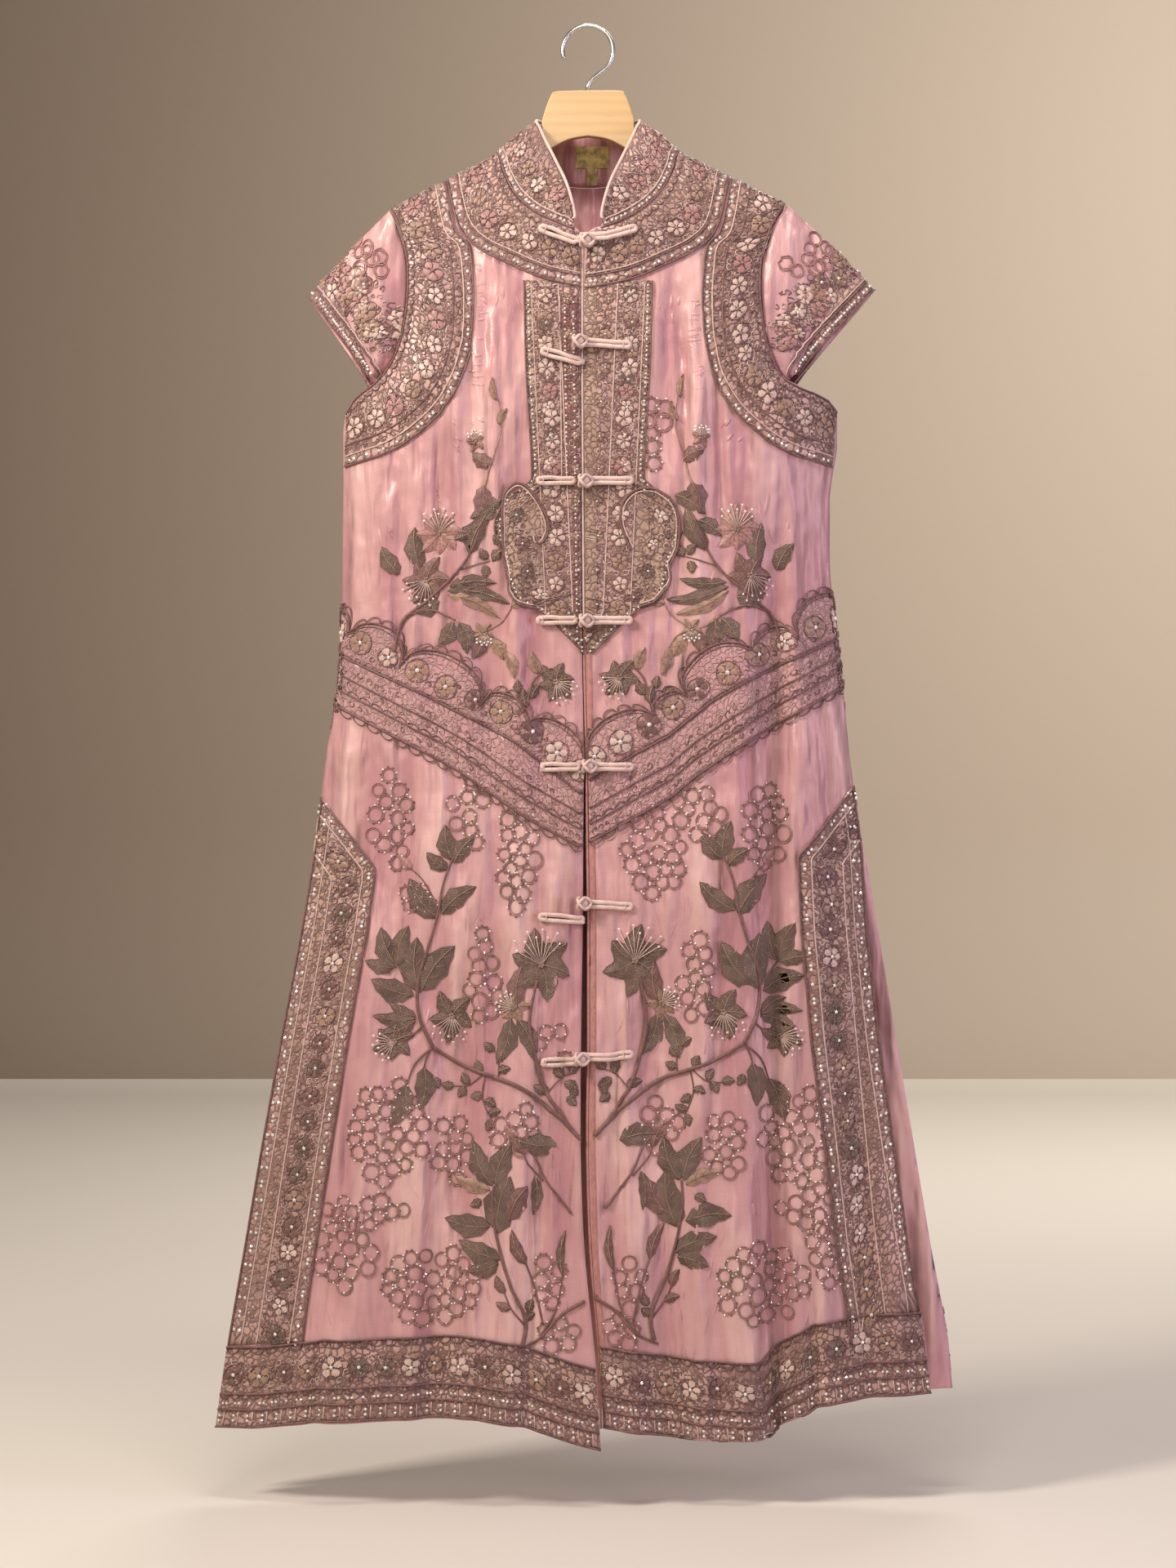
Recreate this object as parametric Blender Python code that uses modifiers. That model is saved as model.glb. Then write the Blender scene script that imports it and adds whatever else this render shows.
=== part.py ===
# A long silk robe in the cheongsam manner, hung on a wooden hanger.
# It opens down the middle of the front, where seven cord frogs close it. It has a stand collar,
# cap sleeves, side slits, and applied bands of lace on the front, the back and the sleeves.
# +Z is up and the front faces -Y. The origin is the inside top of the hook, where it hangs.
# +X is the wearer's left, which is the right-hand side as seen from the front.
# Every table is in millimetres. The cloth's own points are its inner face, and its wall,
# the lace and the cords are laid outward from them, so no piece can cross another.

from collections import namedtuple
from math import cos, pi, sin, sqrt

import bmesh
import bpy
from mathutils import Vector
from mathutils.bvhtree import BVHTree

MM = 0.001

# Walls and clearances
CLOTH_WALL = 1.5
COLLAR_WALL = 1.8
LACE_WALL = 0.8
SEAM_GAP = 0.3
HALF_SEAM = SEAM_GAP / 2
COLLAR_SEAM_GAP = 0.7
SLEEVE_SEAM_GAP = 1.2

# Grid of the panels
FRONT_COLUMNS = 12
BACK_COLUMNS = 18
SIDE_ROUNDING = 2.5

# Hem and trims
HEM_SHAPED_FROM = -1130
HEM_BAND_HEIGHT = 77
LACE_GAP = 1.0

# Cords
CORD_RADIUS = 1.75
CORD_SPREAD = 2.6
KNOB_RADIUS = 7.2
PIPING_RADIUS = 1.5
EDGE_BINDING_RADIUS = 1.3

# Wooden hanger with a wire hook
HANGER_THICKNESS = 10
HANGER_ROUNDING = 3.5
HANGER_TILT = 0.0134
HOOK_WIRE_RADIUS = 2.0
HOOK_BEND_RADIUS = 24

Finish = namedtuple("Finish", "red green blue roughness metallic")
SILK_PINK = Finish(0.60, 0.33, 0.31, 0.45, 0.0)
LACE_TAUPE = Finish(0.28, 0.17, 0.15, 0.70, 0.0)
CORD_PINK = Finish(0.62, 0.40, 0.35, 0.50, 0.0)
LABEL_OLIVE = Finish(0.38, 0.32, 0.12, 0.60, 0.0)
WOOD_PALE = Finish(0.62, 0.43, 0.22, 0.50, 0.0)
STEEL_BRIGHT = Finish(0.60, 0.60, 0.60, 0.25, 1.0)

# One row of a front, from its middle edge or neckline (in) to its armhole or side (out).
# y_mid is how far the cloth stands forward halfway along the row.
FrontRow = namedtuple("FrontRow", "x_in z_in x_out z_out y_in y_mid y_out")
RIGHT_FRONT = [
    FrontRow(-85.5, -121, -187, -174, 0.15, 0.15, 0.15),
    FrontRow(-85.3, -122, -187, -175, 6, 6, 6),
    FrontRow(-84.8, -125, -186, -178, 9.5, 10, 9.5),
    FrontRow(-83, -131, -183, -184, 13, 14, 13),
    FrontRow(-80, -143, -178, -198, 18, 19, 17),
    FrontRow(-69, -165, -172, -223, 28, 25, 20),
    FrontRow(-50, -183, -171, -250, 37, 30, 22),
    FrontRow(-28, -194, -173, -277, 42, 35, 22),
    FrontRow(-7, -203, -180, -308, 44, 38, 20),
    FrontRow(-7.2, -247, -196, -336, 43, 40, 14),
    FrontRow(-7.2, -289, -229, -368, 42, 41, 0.15),
    FrontRow(-7, -388, -232, -450, 40, 40, 0.15),
    FrontRow(-6.6, -490, -233, -525, 38, 38, 0.15),
    FrontRow(-5.6, -600, -236, -615, 36, 36, 0.15),
    FrontRow(-4, -690, -248, -690, 37, 37, 0.15),
    FrontRow(-4.5, -780, -259, -780, 39, 39, 0.15),
    FrontRow(-5, -860, -272, -860, 41, 41, 1.5),
    FrontRow(-6.5, -960, -291, -960, 44, 43, 4),
    FrontRow(-7, -1060, -309, -1060, 47, 45, 6),
    FrontRow(-3, -1160, -326, -1160, 50, 47, 7),
    FrontRow(7, -1260, -342, -1254, 54, 49, 8),
    FrontRow(12, -1344, -353, -1331, 57, 50, 8),
]
LEFT_FRONT = [
    FrontRow(85.5, -119, 187, -169, 0.15, 0.15, 0.15),
    FrontRow(85.3, -120, 187, -170, 6, 6, 6),
    FrontRow(84.8, -123, 186, -173, 9.5, 10, 9.5),
    FrontRow(83, -129, 182, -179, 13, 14, 13),
    FrontRow(80, -141, 174, -193, 18, 19, 17),
    FrontRow(69, -163, 165, -221, 28, 25, 20),
    FrontRow(50, -181, 163, -250, 37, 30, 22),
    FrontRow(28, -193, 165, -280, 42, 35, 22),
    FrontRow(0, -203, 172, -312, 44, 38, 20),
    FrontRow(-3.6, -247, 188, -340, 43, 40, 14),
    FrontRow(-3.8, -289, 236, -366, 42, 41, 0.15),
    FrontRow(-3.6, -388, 229, -450, 40, 40, 0.15),
    FrontRow(-3, -490, 230, -525, 38, 38, 0.15),
    FrontRow(-2, -600, 240, -613, 36, 36, 0.15),
    FrontRow(0, -690, 249, -700, 37, 37, 0.15),
    FrontRow(1, -780, 260, -780, 39, 38, 0.15),
    FrontRow(2, -860, 265, -860, 40, 40, 3),
    FrontRow(2, -960, 276, -960, 42, 40, 8),
    FrontRow(1, -1060, 290, -1060, 44, 42, 12),
    FrontRow(4, -1160, 304, -1160, 46, 44, 15),
    FrontRow(11, -1250, 318, -1240, 48, 46, 17),
    FrontRow(14, -1324, 324, -1297, 50, 47, 18),
]
ARMHOLE_ROWS = 10
PLAIN_ROWS = (12, 17)

# The hem's height along each front, from the middle to the side
HemPoint = namedtuple("HemPoint", "x z")
RIGHT_FRONT_HEM = [
    HemPoint(12, -1344),
    HemPoint(-12, -1338),
    HemPoint(-63, -1321),
    HemPoint(-114, -1314),
    HemPoint(-191, -1316),
    HemPoint(-252, -1318),
    HemPoint(-308, -1327),
    HemPoint(-353, -1331),
]
LEFT_FRONT_HEM = [
    HemPoint(14, -1324),
    HemPoint(58, -1331),
    HemPoint(107, -1337),
    HemPoint(166, -1340),
    HemPoint(184, -1325),
    HemPoint(218, -1304),
    HemPoint(267, -1297),
    HemPoint(324, -1297),
]

# One row of the back. raised is how much of the shoulder and neckline's shape it keeps,
# necked how much of the neckline's depth.
BackRow = namedtuple("BackRow", "x_right z_right x_left z_left y_mid y_edge raised necked")
BACK = [
    BackRow(-187, -174, 187, -169, 0.15, 0.15, 1, 1),
    BackRow(-187, -175, 187, -170, 6, 6, 1, 1),
    BackRow(-186, -178, 186, -173, 10, 9.5, 1, 1),
    BackRow(-183, -184, 182, -179, 14, 13, 1, 1),
    BackRow(-178, -198, 174, -193, 19, 17, 0.9, 0.95),
    BackRow(-172, -223, 165, -221, 25, 20, 0.75, 0.8),
    BackRow(-171, -250, 163, -250, 30, 22, 0.6, 0.6),
    BackRow(-173, -277, 165, -280, 34, 22, 0.4, 0.4),
    BackRow(-180, -308, 172, -312, 37, 20, 0.2, 0.2),
    BackRow(-196, -336, 188, -340, 39, 14, 0.1, 0),
    BackRow(-229, -368, 236, -366, 40, 0.15, 0, 0),
    BackRow(-232, -450, 229, -450, 39, 0.15, 0, 0),
    BackRow(-233, -525, 230, -525, 36, 0.15, 0, 0),
    BackRow(-236, -615, 240, -613, 34, 0.15, 0, 0),
    BackRow(-248, -690, 249, -700, 36, 0.15, 0, 0),
    BackRow(-259, -780, 262, -780, 40, 0.15, 0, 0),
    BackRow(-270, -860, 276, -860, 42, 2, 0, 0),
    BackRow(-288, -960, 293, -960, 44, 6, 0, 0),
    BackRow(-306, -1060, 310, -1060, 46, 8, 0, 0),
    BackRow(-323, -1160, 327, -1160, 48, 10, 0, 0),
    BackRow(-339, -1250, 342, -1240, 50, 11, 0, 0),
    BackRow(-350, -1326, 348, -1297, 52, 12, 0, 0),
]
BACK_NECK_HALF_WIDTH = 85.5
BACK_NECK_BOTTOM = -146
BACK_NECK_DEPTH = 42
BACK_HEM_SAG = 14

# Folds run down a panel. A positive rise stands out, a negative one sinks in.
Fold = namedtuple("Fold", "x_top x_bottom z_top z_bottom half_width rise to_hem")
RIGHT_FRONT_FOLDS = [
    Fold(-205, -200, -400, -640, 26, 4, False),
    Fold(-160, -130, -415, -760, 24, -5, False),
    Fold(-66, -66, -420, -770, 22, 6, False),
    Fold(-96, -92, -430, -760, 18, -4, False),
    Fold(-200, -240, -800, -1345, 50, 9, True),
    Fold(-120, -150, -860, -1345, 38, -9, True),
    Fold(-60, -78, -820, -1345, 34, 8, True),
]
LEFT_FRONT_FOLDS = [
    Fold(172, 178, -385, -1345, 24, -15, True),
    Fold(142, 146, -400, -1345, 30, 7, True),
    Fold(205, 222, -440, -1345, 26, 5, True),
    Fold(80, 84, -420, -790, 30, -4, False),
    Fold(60, 78, -830, -1345, 36, -8, True),
    Fold(255, 268, -900, -1345, 24, -6, True),
]
BACK_FOLDS = [
    Fold(-150, -165, -400, -1345, 40, -10, True),
    Fold(-70, -80, -520, -1345, 44, 7, True),
    Fold(30, 34, -460, -1345, 46, -9, True),
    Fold(110, 128, -560, -1345, 44, 8, True),
    Fold(170, 196, -420, -1345, 34, -8, True),
]

# Half of the collar, from the middle of the front to the middle of the back. The base
# follows the neckline and the top is the free edge, whose front corner is rounded.
CollarRow = namedtuple("CollarRow", "x y z x_top y_top z_top")
COLLAR = [
    CollarRow(9, -44, -202.5, 13, -44.5, -193),
    CollarRow(28, -42, -193.5, 17, -44, -172),
    CollarRow(50, -37, -182, 23, -38, -153),
    CollarRow(69, -28, -164, 32, -26, -133),
    CollarRow(80, -18, -142, 43.5, -14, -108),
    CollarRow(85.5, -1, -120, 50, -1, -91),
    CollarRow(76, 17.5, -125, 45, 15, -92),
    CollarRow(58, 29, -135, 34, 26, -92.5),
    CollarRow(30, 39, -143, 18, 36, -93),
    CollarRow(0, 42, -146, 0, 39, -93),
]
SHOULDER_ROW = 5
NECKLINE_ROWS = 8
COLLAR_END_X = 12

# Sleeve ends as seen from the front: the tip of the shoulder fold and the seam's lower end
SleeveEnd = namedtuple("SleeveEnd", "side x_tip z_tip x_low z_low")
SLEEVES = [
    SleeveEnd("right", -264, -259, -200, -334),
    SleeveEnd("left", 271, -252, 190, -330),
]
SLEEVE_COLUMNS = 6
SLEEVE_BAND_FROM = 0.84
SLEEVE_HEM_DEPTH = 20
SLEEVE_BACK_DROP = 6
SLEEVE_PUFF = 5

# Outlines of the lace seen from the front, as distances from the middle and heights
Corner = namedtuple("Corner", "x z")
YOKE_EDGE = [
    Corner(134, -151),
    Corner(123, -192),
    Corner(106, -214),
    Corner(73, -232),
    Corner(40, -246),
    Corner(2, -254),
]
ARMHOLE_EDGE = [
    Corner(190, -180),
    Corner(135.5, -152),
    Corner(125, -196),
    Corner(112, -212),
    Corner(108, -240),
    Corner(107, -270),
    Corner(110, -308),
    Corner(121, -344),
    Corner(139, -372),
    Corner(168, -397),
    Corner(194, -410),
    Corner(262, -426),
]
PLACKET_EDGE = [
    Corner(61, -239.5),
    Corner(59, -330),
    Corner(54, -437),
    Corner(70, -443),
    Corner(84, -461),
    Corner(88, -482),
    Corner(80, -506),
    Corner(73, -538),
    Corner(62, -552),
    Corner(46, -557),
    Corner(0, -602),
]
CHEVRON_RIGHT_TOP = [
    Corner(256, -553),
    Corner(234, -555),
    Corner(210, -586),
    Corner(177, -582),
    Corner(158, -616),
    Corner(132, -610),
    Corner(88, -655),
    Corner(63, -677),
    Corner(40, -662),
    Corner(0, -694),
]
CHEVRON_RIGHT_BOTTOM = [Corner(-6, -788), Corner(62, -745), Corner(125, -708), Corner(260, -640)]
CHEVRON_LEFT_TOP = [
    Corner(256, -534),
    Corner(229, -536),
    Corner(206, -550),
    Corner(194, -580),
    Corner(163, -598),
    Corner(136, -588),
    Corner(112, -602),
    Corner(101, -628),
    Corner(78, -674),
    Corner(52, -672),
    Corner(0, -692),
]
CHEVRON_LEFT_BOTTOM = [Corner(-6, -784), Corner(78, -738), Corner(140, -700), Corner(266, -622)]
HIP_TIP_DROP = 62
HIP_BAND_TOP_WIDTH = 62
HIP_BAND_LOW_WIDTH = 73
HIP_TOP_RIGHT = -733
HIP_TOP_LEFT = -722
FRONT_LACE_TOP = [Corner(60, -100), Corner(82, -133), Corner(90, -128)]
BACK_LACE_TOP = [
    Corner(90, -128),
    Corner(84, -135),
    Corner(68, -139),
    Corner(51, -145),
    Corner(34, -150),
    Corner(17, -152),
    Corner(0, -153),
]
BACK_YOKE_EDGE = [
    Corner(134, -151),
    Corner(120, -186),
    Corner(95, -208),
    Corner(60, -222),
    Corner(0, -230),
]
BACK_CHEVRON_TOP = [Corner(262, -560), Corner(150, -625), Corner(0, -695)]
BACK_CHEVRON_BOTTOM = [Corner(0, -778), Corner(150, -705), Corner(262, -640)]

# Seven frogs. The knob half is sewn to the left front, the loop half to the right front.
Frog = namedtuple(
    "Frog", "number knob_x knob_z bar_x bar_z loop_x loop_z loop_end_x loop_end_z on_lace"
)
FROGS = [
    Frog(1, -2, -211, 42, -199, -12.3, -210, -42, -199, True),
    Frog(2, -9, -305, 37, -308, -7, -323, -41, -314, True),
    Frog(3, -4.6, -435, 39, -435, -14.5, -435, -45, -435, True),
    Frog(4, -3, -566, 38, -566, -13, -566, -46, -566, True),
    Frog(5, 0, -704, 37, -704, -10, -704, -43, -704, True),
    Frog(6, 6.9, -833, 38.5, -835, 9, -849, -43, -845, False),
    Frog(7, 1.5, -979, 38.5, -974, -8.6, -980, -41, -981, False),
]

# Outline of half the wooden hanger, from the middle of its top round to the middle below
HANGER_HALF = [
    Corner(0, -60.5),
    Corner(30, -61),
    Corner(35, -64),
    Corner(40, -76),
    Corner(44, -90),
    Corner(44, -98),
    Corner(50, -107),
    Corner(62, -116.5),
    Corner(76, -126.5),
    Corner(84, -125.5),
    Corner(92, -127),
    Corner(104, -131),
    Corner(172, -164.8),
    Corner(176, -170),
    Corner(173, -181),
    Corner(164, -187),
    Corner(120, -167),
    Corner(84, -148),
    Corner(58, -130),
    Corner(36, -116),
    Corner(18, -107),
    Corner(0, -104),
]

LABEL_HALF_WIDTH = 16
LABEL_CENTRE_X = 4
LABEL_TOP = -106
LABEL_BOTTOM = -127
LABEL_WALL = 0.6
SIZE_TAB_HALF_WIDTH = 5
SIZE_TAB_BOTTOM = -143


def clear_scene():
    """Empties the scene that Blender starts with."""
    for item in list(bpy.data.objects):
        bpy.data.objects.remove(item, do_unlink=True)


def new_collection(name):
    collection = bpy.data.collections.new(name)
    bpy.context.scene.collection.children.link(collection)
    return collection


def coat(item, finish):
    """Gives an object its own plain material."""
    material = bpy.data.materials.new(item.name)
    material.use_nodes = True
    shader = material.node_tree.nodes["Principled BSDF"]
    shader.inputs["Base Color"].default_value = (finish.red, finish.green, finish.blue, 1)
    shader.inputs["Roughness"].default_value = finish.roughness
    shader.inputs["Metallic"].default_value = finish.metallic
    item.data.materials.clear()
    item.data.materials.append(material)


def add_part(name, data, finish):
    item = bpy.data.objects.new(name, data)
    parts.objects.link(item)
    coat(item, finish)
    return item


def add_cutter(name, data):
    item = bpy.data.objects.new(name, data)
    cutters.objects.link(item)
    item.hide_render = True
    item.display_type = "WIRE"
    return item


def eased(share):
    """Goes smoothly from 0 to 1."""
    share = min(1, max(0, share))
    return share * share * (3 - 2 * share)


def between(low, high, share):
    return low + (high - low) * share


def height_along(table, x):
    """The height at x on a line given by points, whichever way they run."""
    ordered = sorted(table, key=lambda point: point.x)
    if x <= ordered[0].x:
        return ordered[0].z
    for left, right in zip(ordered, ordered[1:]):
        if x <= right.x:
            return between(left.z, right.z, (x - left.x) / (right.x - left.x))
    return ordered[-1].z


def smooth_row(rows, place):
    """A row at a fractional place in a table, on a curve through its rows."""
    index = min(int(place), len(rows) - 2)
    t = place - index
    before = rows[max(index - 1, 0)]
    start, end = rows[index], rows[index + 1]
    after = rows[min(index + 2, len(rows) - 1)]
    values = []
    for a, b, c, d in zip(before, start, end, after):
        curved = 0.5 * (
            2 * b + (c - a) * t + (2 * a - 5 * b + 4 * c - d) * t**2 + (3 * b - a - 3 * c + d) * t**3
        )
        values.append(min(max(curved, min(b, c)), max(b, c)))
    return type(start)(*values)


def row_places():
    """Where the grid's rows lie in a table: half rows are added at the bust and in the skirt."""
    places = [float(index) for index in range(ARMHOLE_ROWS + 1)]
    place = float(ARMHOLE_ROWS)
    while place < len(BACK) - 1:
        place += 1 if PLAIN_ROWS[0] <= place < PLAIN_ROWS[1] else 0.5
        places.append(place)
    return places


def fold_rise(folds, x, z):
    total = 0
    for fold in folds:
        along = (z - fold.z_top) / (fold.z_bottom - fold.z_top)
        if not 0 <= along <= 1:
            continue
        away = abs(x - between(fold.x_top, fold.x_bottom, along)) / fold.half_width
        if away >= 1:
            continue
        strength = eased(along / 0.3)
        if not fold.to_hem:
            strength *= eased((1 - along) / 0.3)
        total += fold.rise * strength * 0.5 * (1 + cos(pi * away))
    return total


def front_points(rows, hem, folds):
    """The inner face of a front: one list of points for each row, from the middle outward."""
    grid = []
    last = rows[-1]
    for place in row_places():
        row = smooth_row(rows, place)
        points = []
        for column in range(FRONT_COLUMNS + 1):
            u = 1 - (1 - column / FRONT_COLUMNS) ** 1.15
            x = between(row.x_in, row.x_out, u)
            z = between(row.z_in, row.z_out, u)
            to_hem = max(0, (HEM_SHAPED_FROM - z) / (HEM_SHAPED_FROM - last.z_in))
            straight = between(last.z_in, last.z_out, u)
            z += (height_along(hem, between(last.x_in, last.x_out, u)) - straight) * min(1, to_hem) ** 2
            if u < 0.5:
                depth = between(row.y_in, row.y_mid, eased(2 * u))
            else:
                depth = between(row.y_mid, row.y_out, (2 * u - 1) ** SIDE_ROUNDING)
            held = min(1, (1 - u) * 5)
            depth += fold_rise(folds, x, z) * held
            points.append(Vector((x, -max(depth, HALF_SEAM), z)) * MM)
        grid.append(points)
    return grid


def back_neckline(x):
    """Height and depth of the back's top edge at x: the shoulders, and the neck between them."""
    top = BACK[0]
    side, front = ((top.x_right, top.z_right), RIGHT_FRONT) if x < 0 else ((top.x_left, top.z_left), LEFT_FRONT)
    neck_z = front[0].z_in
    across = abs(x) / BACK_NECK_HALF_WIDTH
    if across >= 1:
        share = (abs(x) - BACK_NECK_HALF_WIDTH) / (abs(side[0]) - BACK_NECK_HALF_WIDTH)
        return between(neck_z, side[1], share), HALF_SEAM
    dip = cos(across * pi / 2) ** 0.8
    return between(neck_z, BACK_NECK_BOTTOM, dip), max(BACK_NECK_DEPTH * dip, HALF_SEAM)


def back_points():
    """The inner face of the back, row by row from the right side to the left side."""
    grid = []
    top = BACK[0]
    for place in row_places():
        row = smooth_row(BACK, place)
        points = []
        for column in range(BACK_COLUMNS + 1):
            across = 2 * column / BACK_COLUMNS - 1
            side = (across + 1) / 2
            u = abs(across)
            x = between(row.x_right, row.x_left, side)
            neck_z, neck_y = back_neckline(between(top.x_right, top.x_left, side))
            edge_z = between(row.z_right, row.z_left, side)
            z = edge_z + row.raised * (neck_z - between(top.z_right, top.z_left, side))
            z -= BACK_HEM_SAG * max(0, (HEM_SHAPED_FROM - z) / 200) * (1 - u * u)
            depth = between(row.y_mid, row.y_edge, u**SIDE_ROUNDING)
            depth += row.necked * max(0, neck_y - depth)
            depth += fold_rise(BACK_FOLDS, x, z) * min(1, (1 - u) * 5)
            points.append(Vector((x, max(depth, HALF_SEAM), z)) * MM)
        grid.append(points)
    return grid


def half_of_back(grid, side):
    """The back's points on one side of its middle seam, which keeps half a seam's gap."""
    middle = BACK_COLUMNS // 2
    half = []
    for row in grid:
        points = row[: middle + 1] if side == "right" else row[middle:]
        seam = middle if side == "right" else 0
        moved = Vector((HALF_SEAM * (-1 if side == "right" else 1), 0, 0)) * MM
        half.append([point + moved if index == seam else point for index, point in enumerate(points)])
    return half


def sheet_mesh(name, grid, outward):
    """A triangulated sheet through a grid of points, whose normals face outward."""
    columns = len(grid[0])
    corners = [point for row in grid for point in row]
    faces = []
    for row in range(len(grid) - 1):
        for column in range(columns - 1):
            first = row * columns + column
            faces.append((first, first + 1, first + columns + 1, first + columns))
    mesh = bpy.data.meshes.new(name)
    mesh.from_pydata(corners, [], faces)
    shape = bmesh.new()
    shape.from_mesh(mesh)
    bmesh.ops.triangulate(shape, faces=shape.faces[:], quad_method="FIXED")
    shape.normal_update()
    facing = sum(
        face.normal.dot(outward(face.calc_center_median())) * face.calc_area() for face in shape.faces
    )
    if facing < 0:
        bmesh.ops.reverse_faces(shape, faces=shape.faces[:])
    shape.to_mesh(mesh)
    shape.free()
    return mesh


def moved_out(mesh, name, distance):
    """A copy of a sheet whose points are moved along its own normals."""
    copied = mesh.copy()
    copied.name = name
    normals = [vertex.normal.copy() for vertex in mesh.vertices]
    for vertex, normal in zip(copied.vertices, normals):
        vertex.co = vertex.co + normal * distance * MM
    return copied


def thicken(item, wall, outward=True):
    solidify = item.modifiers.new("wall", "SOLIDIFY")
    solidify.thickness = wall * MM
    solidify.offset = 1 if outward else -1
    solidify.use_even_offset = False


def prism_mesh(name, corners, y_from, y_to):
    """A solid with this outline, seen from the front, between two depths."""
    shape = bmesh.new()
    ring = [shape.verts.new(Vector((corner.x, y_from, corner.z)) * MM) for corner in corners]
    face = shape.faces.new(ring)
    pushed = bmesh.ops.extrude_face_region(shape, geom=[face])
    moved = [part for part in pushed["geom"] if isinstance(part, bmesh.types.BMVert)]
    bmesh.ops.translate(shape, verts=moved, vec=Vector((0, y_to - y_from, 0)) * MM)
    bmesh.ops.recalc_face_normals(shape, faces=shape.faces[:])
    mesh = bpy.data.meshes.new(name)
    shape.to_mesh(mesh)
    shape.free()
    return mesh


def cut_with(item, other, operation):
    modifier = item.modifiers.new(operation.lower(), "BOOLEAN")
    modifier.operation = operation
    modifier.object = other
    modifier.solver = "EXACT"


def mirrored(corners, side):
    """An outline drawn for the wearer's left side, turned over for the right side."""
    sign = 1 if side == "left" else -1
    return [Corner(corner.x * sign, corner.z) for corner in corners]


def add_lace(name, cloth, corners, facing):
    """A band of lace laid on a panel: its points moved out, within an outline."""
    mesh = moved_out(cloth, name, CLOTH_WALL + SEAM_GAP)
    item = add_part(name, mesh, LACE_TAUPE)
    thicken(item, LACE_WALL)
    cutter = add_cutter(name + "_outline", prism_mesh(name, corners, facing * 160, -facing * 1))
    cut_with(item, cutter, "INTERSECT")


def side_x(rows, z):
    """Where a panel's side edge is at a height."""
    edge = [HemPoint(row.z_out, row.x_out) for row in rows[ARMHOLE_ROWS:]]
    return height_along(edge, z)


def yoke_outline(edge, side, middle_x):
    outline = mirrored(edge, side)
    outline[-1] = Corner(middle_x, edge[-1].z)
    return outline + [Corner(middle_x, FRONT_LACE_TOP[0].z)] + mirrored(FRONT_LACE_TOP, side)


def armhole_outline(side):
    return mirrored(ARMHOLE_EDGE + [Corner(262, ARMHOLE_EDGE[0].z)], side)


def placket_outline(side, middle_x):
    top = Corner(0, YOKE_EDGE[-1].z - LACE_GAP)
    inner = Corner(40, YOKE_EDGE[-2].z - LACE_GAP - 0.5)
    outline = mirrored(PLACKET_EDGE + [top, inner], side)
    lowest = len(PLACKET_EDGE) - 1
    outline[lowest] = Corner(middle_x, outline[lowest].z)
    outline[lowest + 1] = Corner(middle_x, top.z)
    return outline


def hip_outline(rows, side, hem, top):
    """The panel of lace beside a slit, from a slanting tip down to the hem band."""
    sign = 1 if side == "left" else -1
    low = min(point.z for point in hem) + HEM_BAND_HEIGHT
    inner = []
    for share in (0, 0.25, 0.5, 0.75, 1):
        z = between(top - HIP_TIP_DROP, low, share)
        width = between(HIP_BAND_TOP_WIDTH, HIP_BAND_LOW_WIDTH, share)
        inner.append(Corner(side_x(rows, z) - sign * width, z))
    low_x = inner[-1].x
    steps = [between(low_x, sign * 380, share) for share in (0, 0.2, 0.4, 0.6, 0.8, 1)]
    foot = [Corner(x, height_along(hem, x) + HEM_BAND_HEIGHT + LACE_GAP) for x in steps]
    inner[-1] = Corner(low_x, foot[0].z)
    return [Corner(side_x(rows, top), top)] + inner + foot[1:] + [Corner(sign * 380, top)]


def hem_outline(hem, middle_x, far_x):
    top = []
    for step in range(15):
        x = between(middle_x, far_x, step / 14)
        top.append(Corner(x, height_along(hem, x) + HEM_BAND_HEIGHT))
    return top + [Corner(far_x, -1400), Corner(middle_x, -1400)]


def add_front_lace(side, rows, cloth, hem, chevron_top, chevron_bottom, hip_top):
    middle_x = 20 * (-1 if side == "left" else 1)
    chevron = mirrored(chevron_top + chevron_bottom, side)
    chevron = [Corner(middle_x if abs(c.x) < 10 else c.x, c.z) for c in chevron]
    outlines = [
        ("yoke", yoke_outline(YOKE_EDGE, side, middle_x)),
        ("armhole", armhole_outline(side)),
        ("placket", placket_outline(side, middle_x)),
        ("chevron", chevron),
        ("hip", hip_outline(rows, side, hem, hip_top)),
        ("hem", hem_outline(hem, middle_x, 380 * (1 if side == "left" else -1))),
    ]
    for name, outline in outlines:
        add_lace(f"lace_{name}_front_{side}", cloth, outline, -1)


def add_back_lace(cloth):
    lower = mirrored(BACK_YOKE_EDGE, "right") + BACK_YOKE_EDGE[-2::-1]
    upper = BACK_LACE_TOP + mirrored(BACK_LACE_TOP, "right")[-2::-1]
    add_lace("lace_yoke_back", cloth, lower + upper, 1)
    for side in ("right", "left"):
        add_lace(f"lace_armhole_back_{side}", cloth, armhole_outline(side), 1)
    upper = mirrored(BACK_CHEVRON_TOP, "right") + BACK_CHEVRON_TOP[-2::-1]
    lower = mirrored(BACK_CHEVRON_BOTTOM, "left")[::-1] + mirrored(BACK_CHEVRON_BOTTOM, "right")[1:]
    add_lace("lace_chevron_back", cloth, upper + lower, 1)
    hem = [HemPoint(-350, -1326), HemPoint(0, -1326), HemPoint(348, -1297)]
    add_lace("lace_hem_back", cloth, hem_outline(hem, -380, 380), 1)


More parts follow.
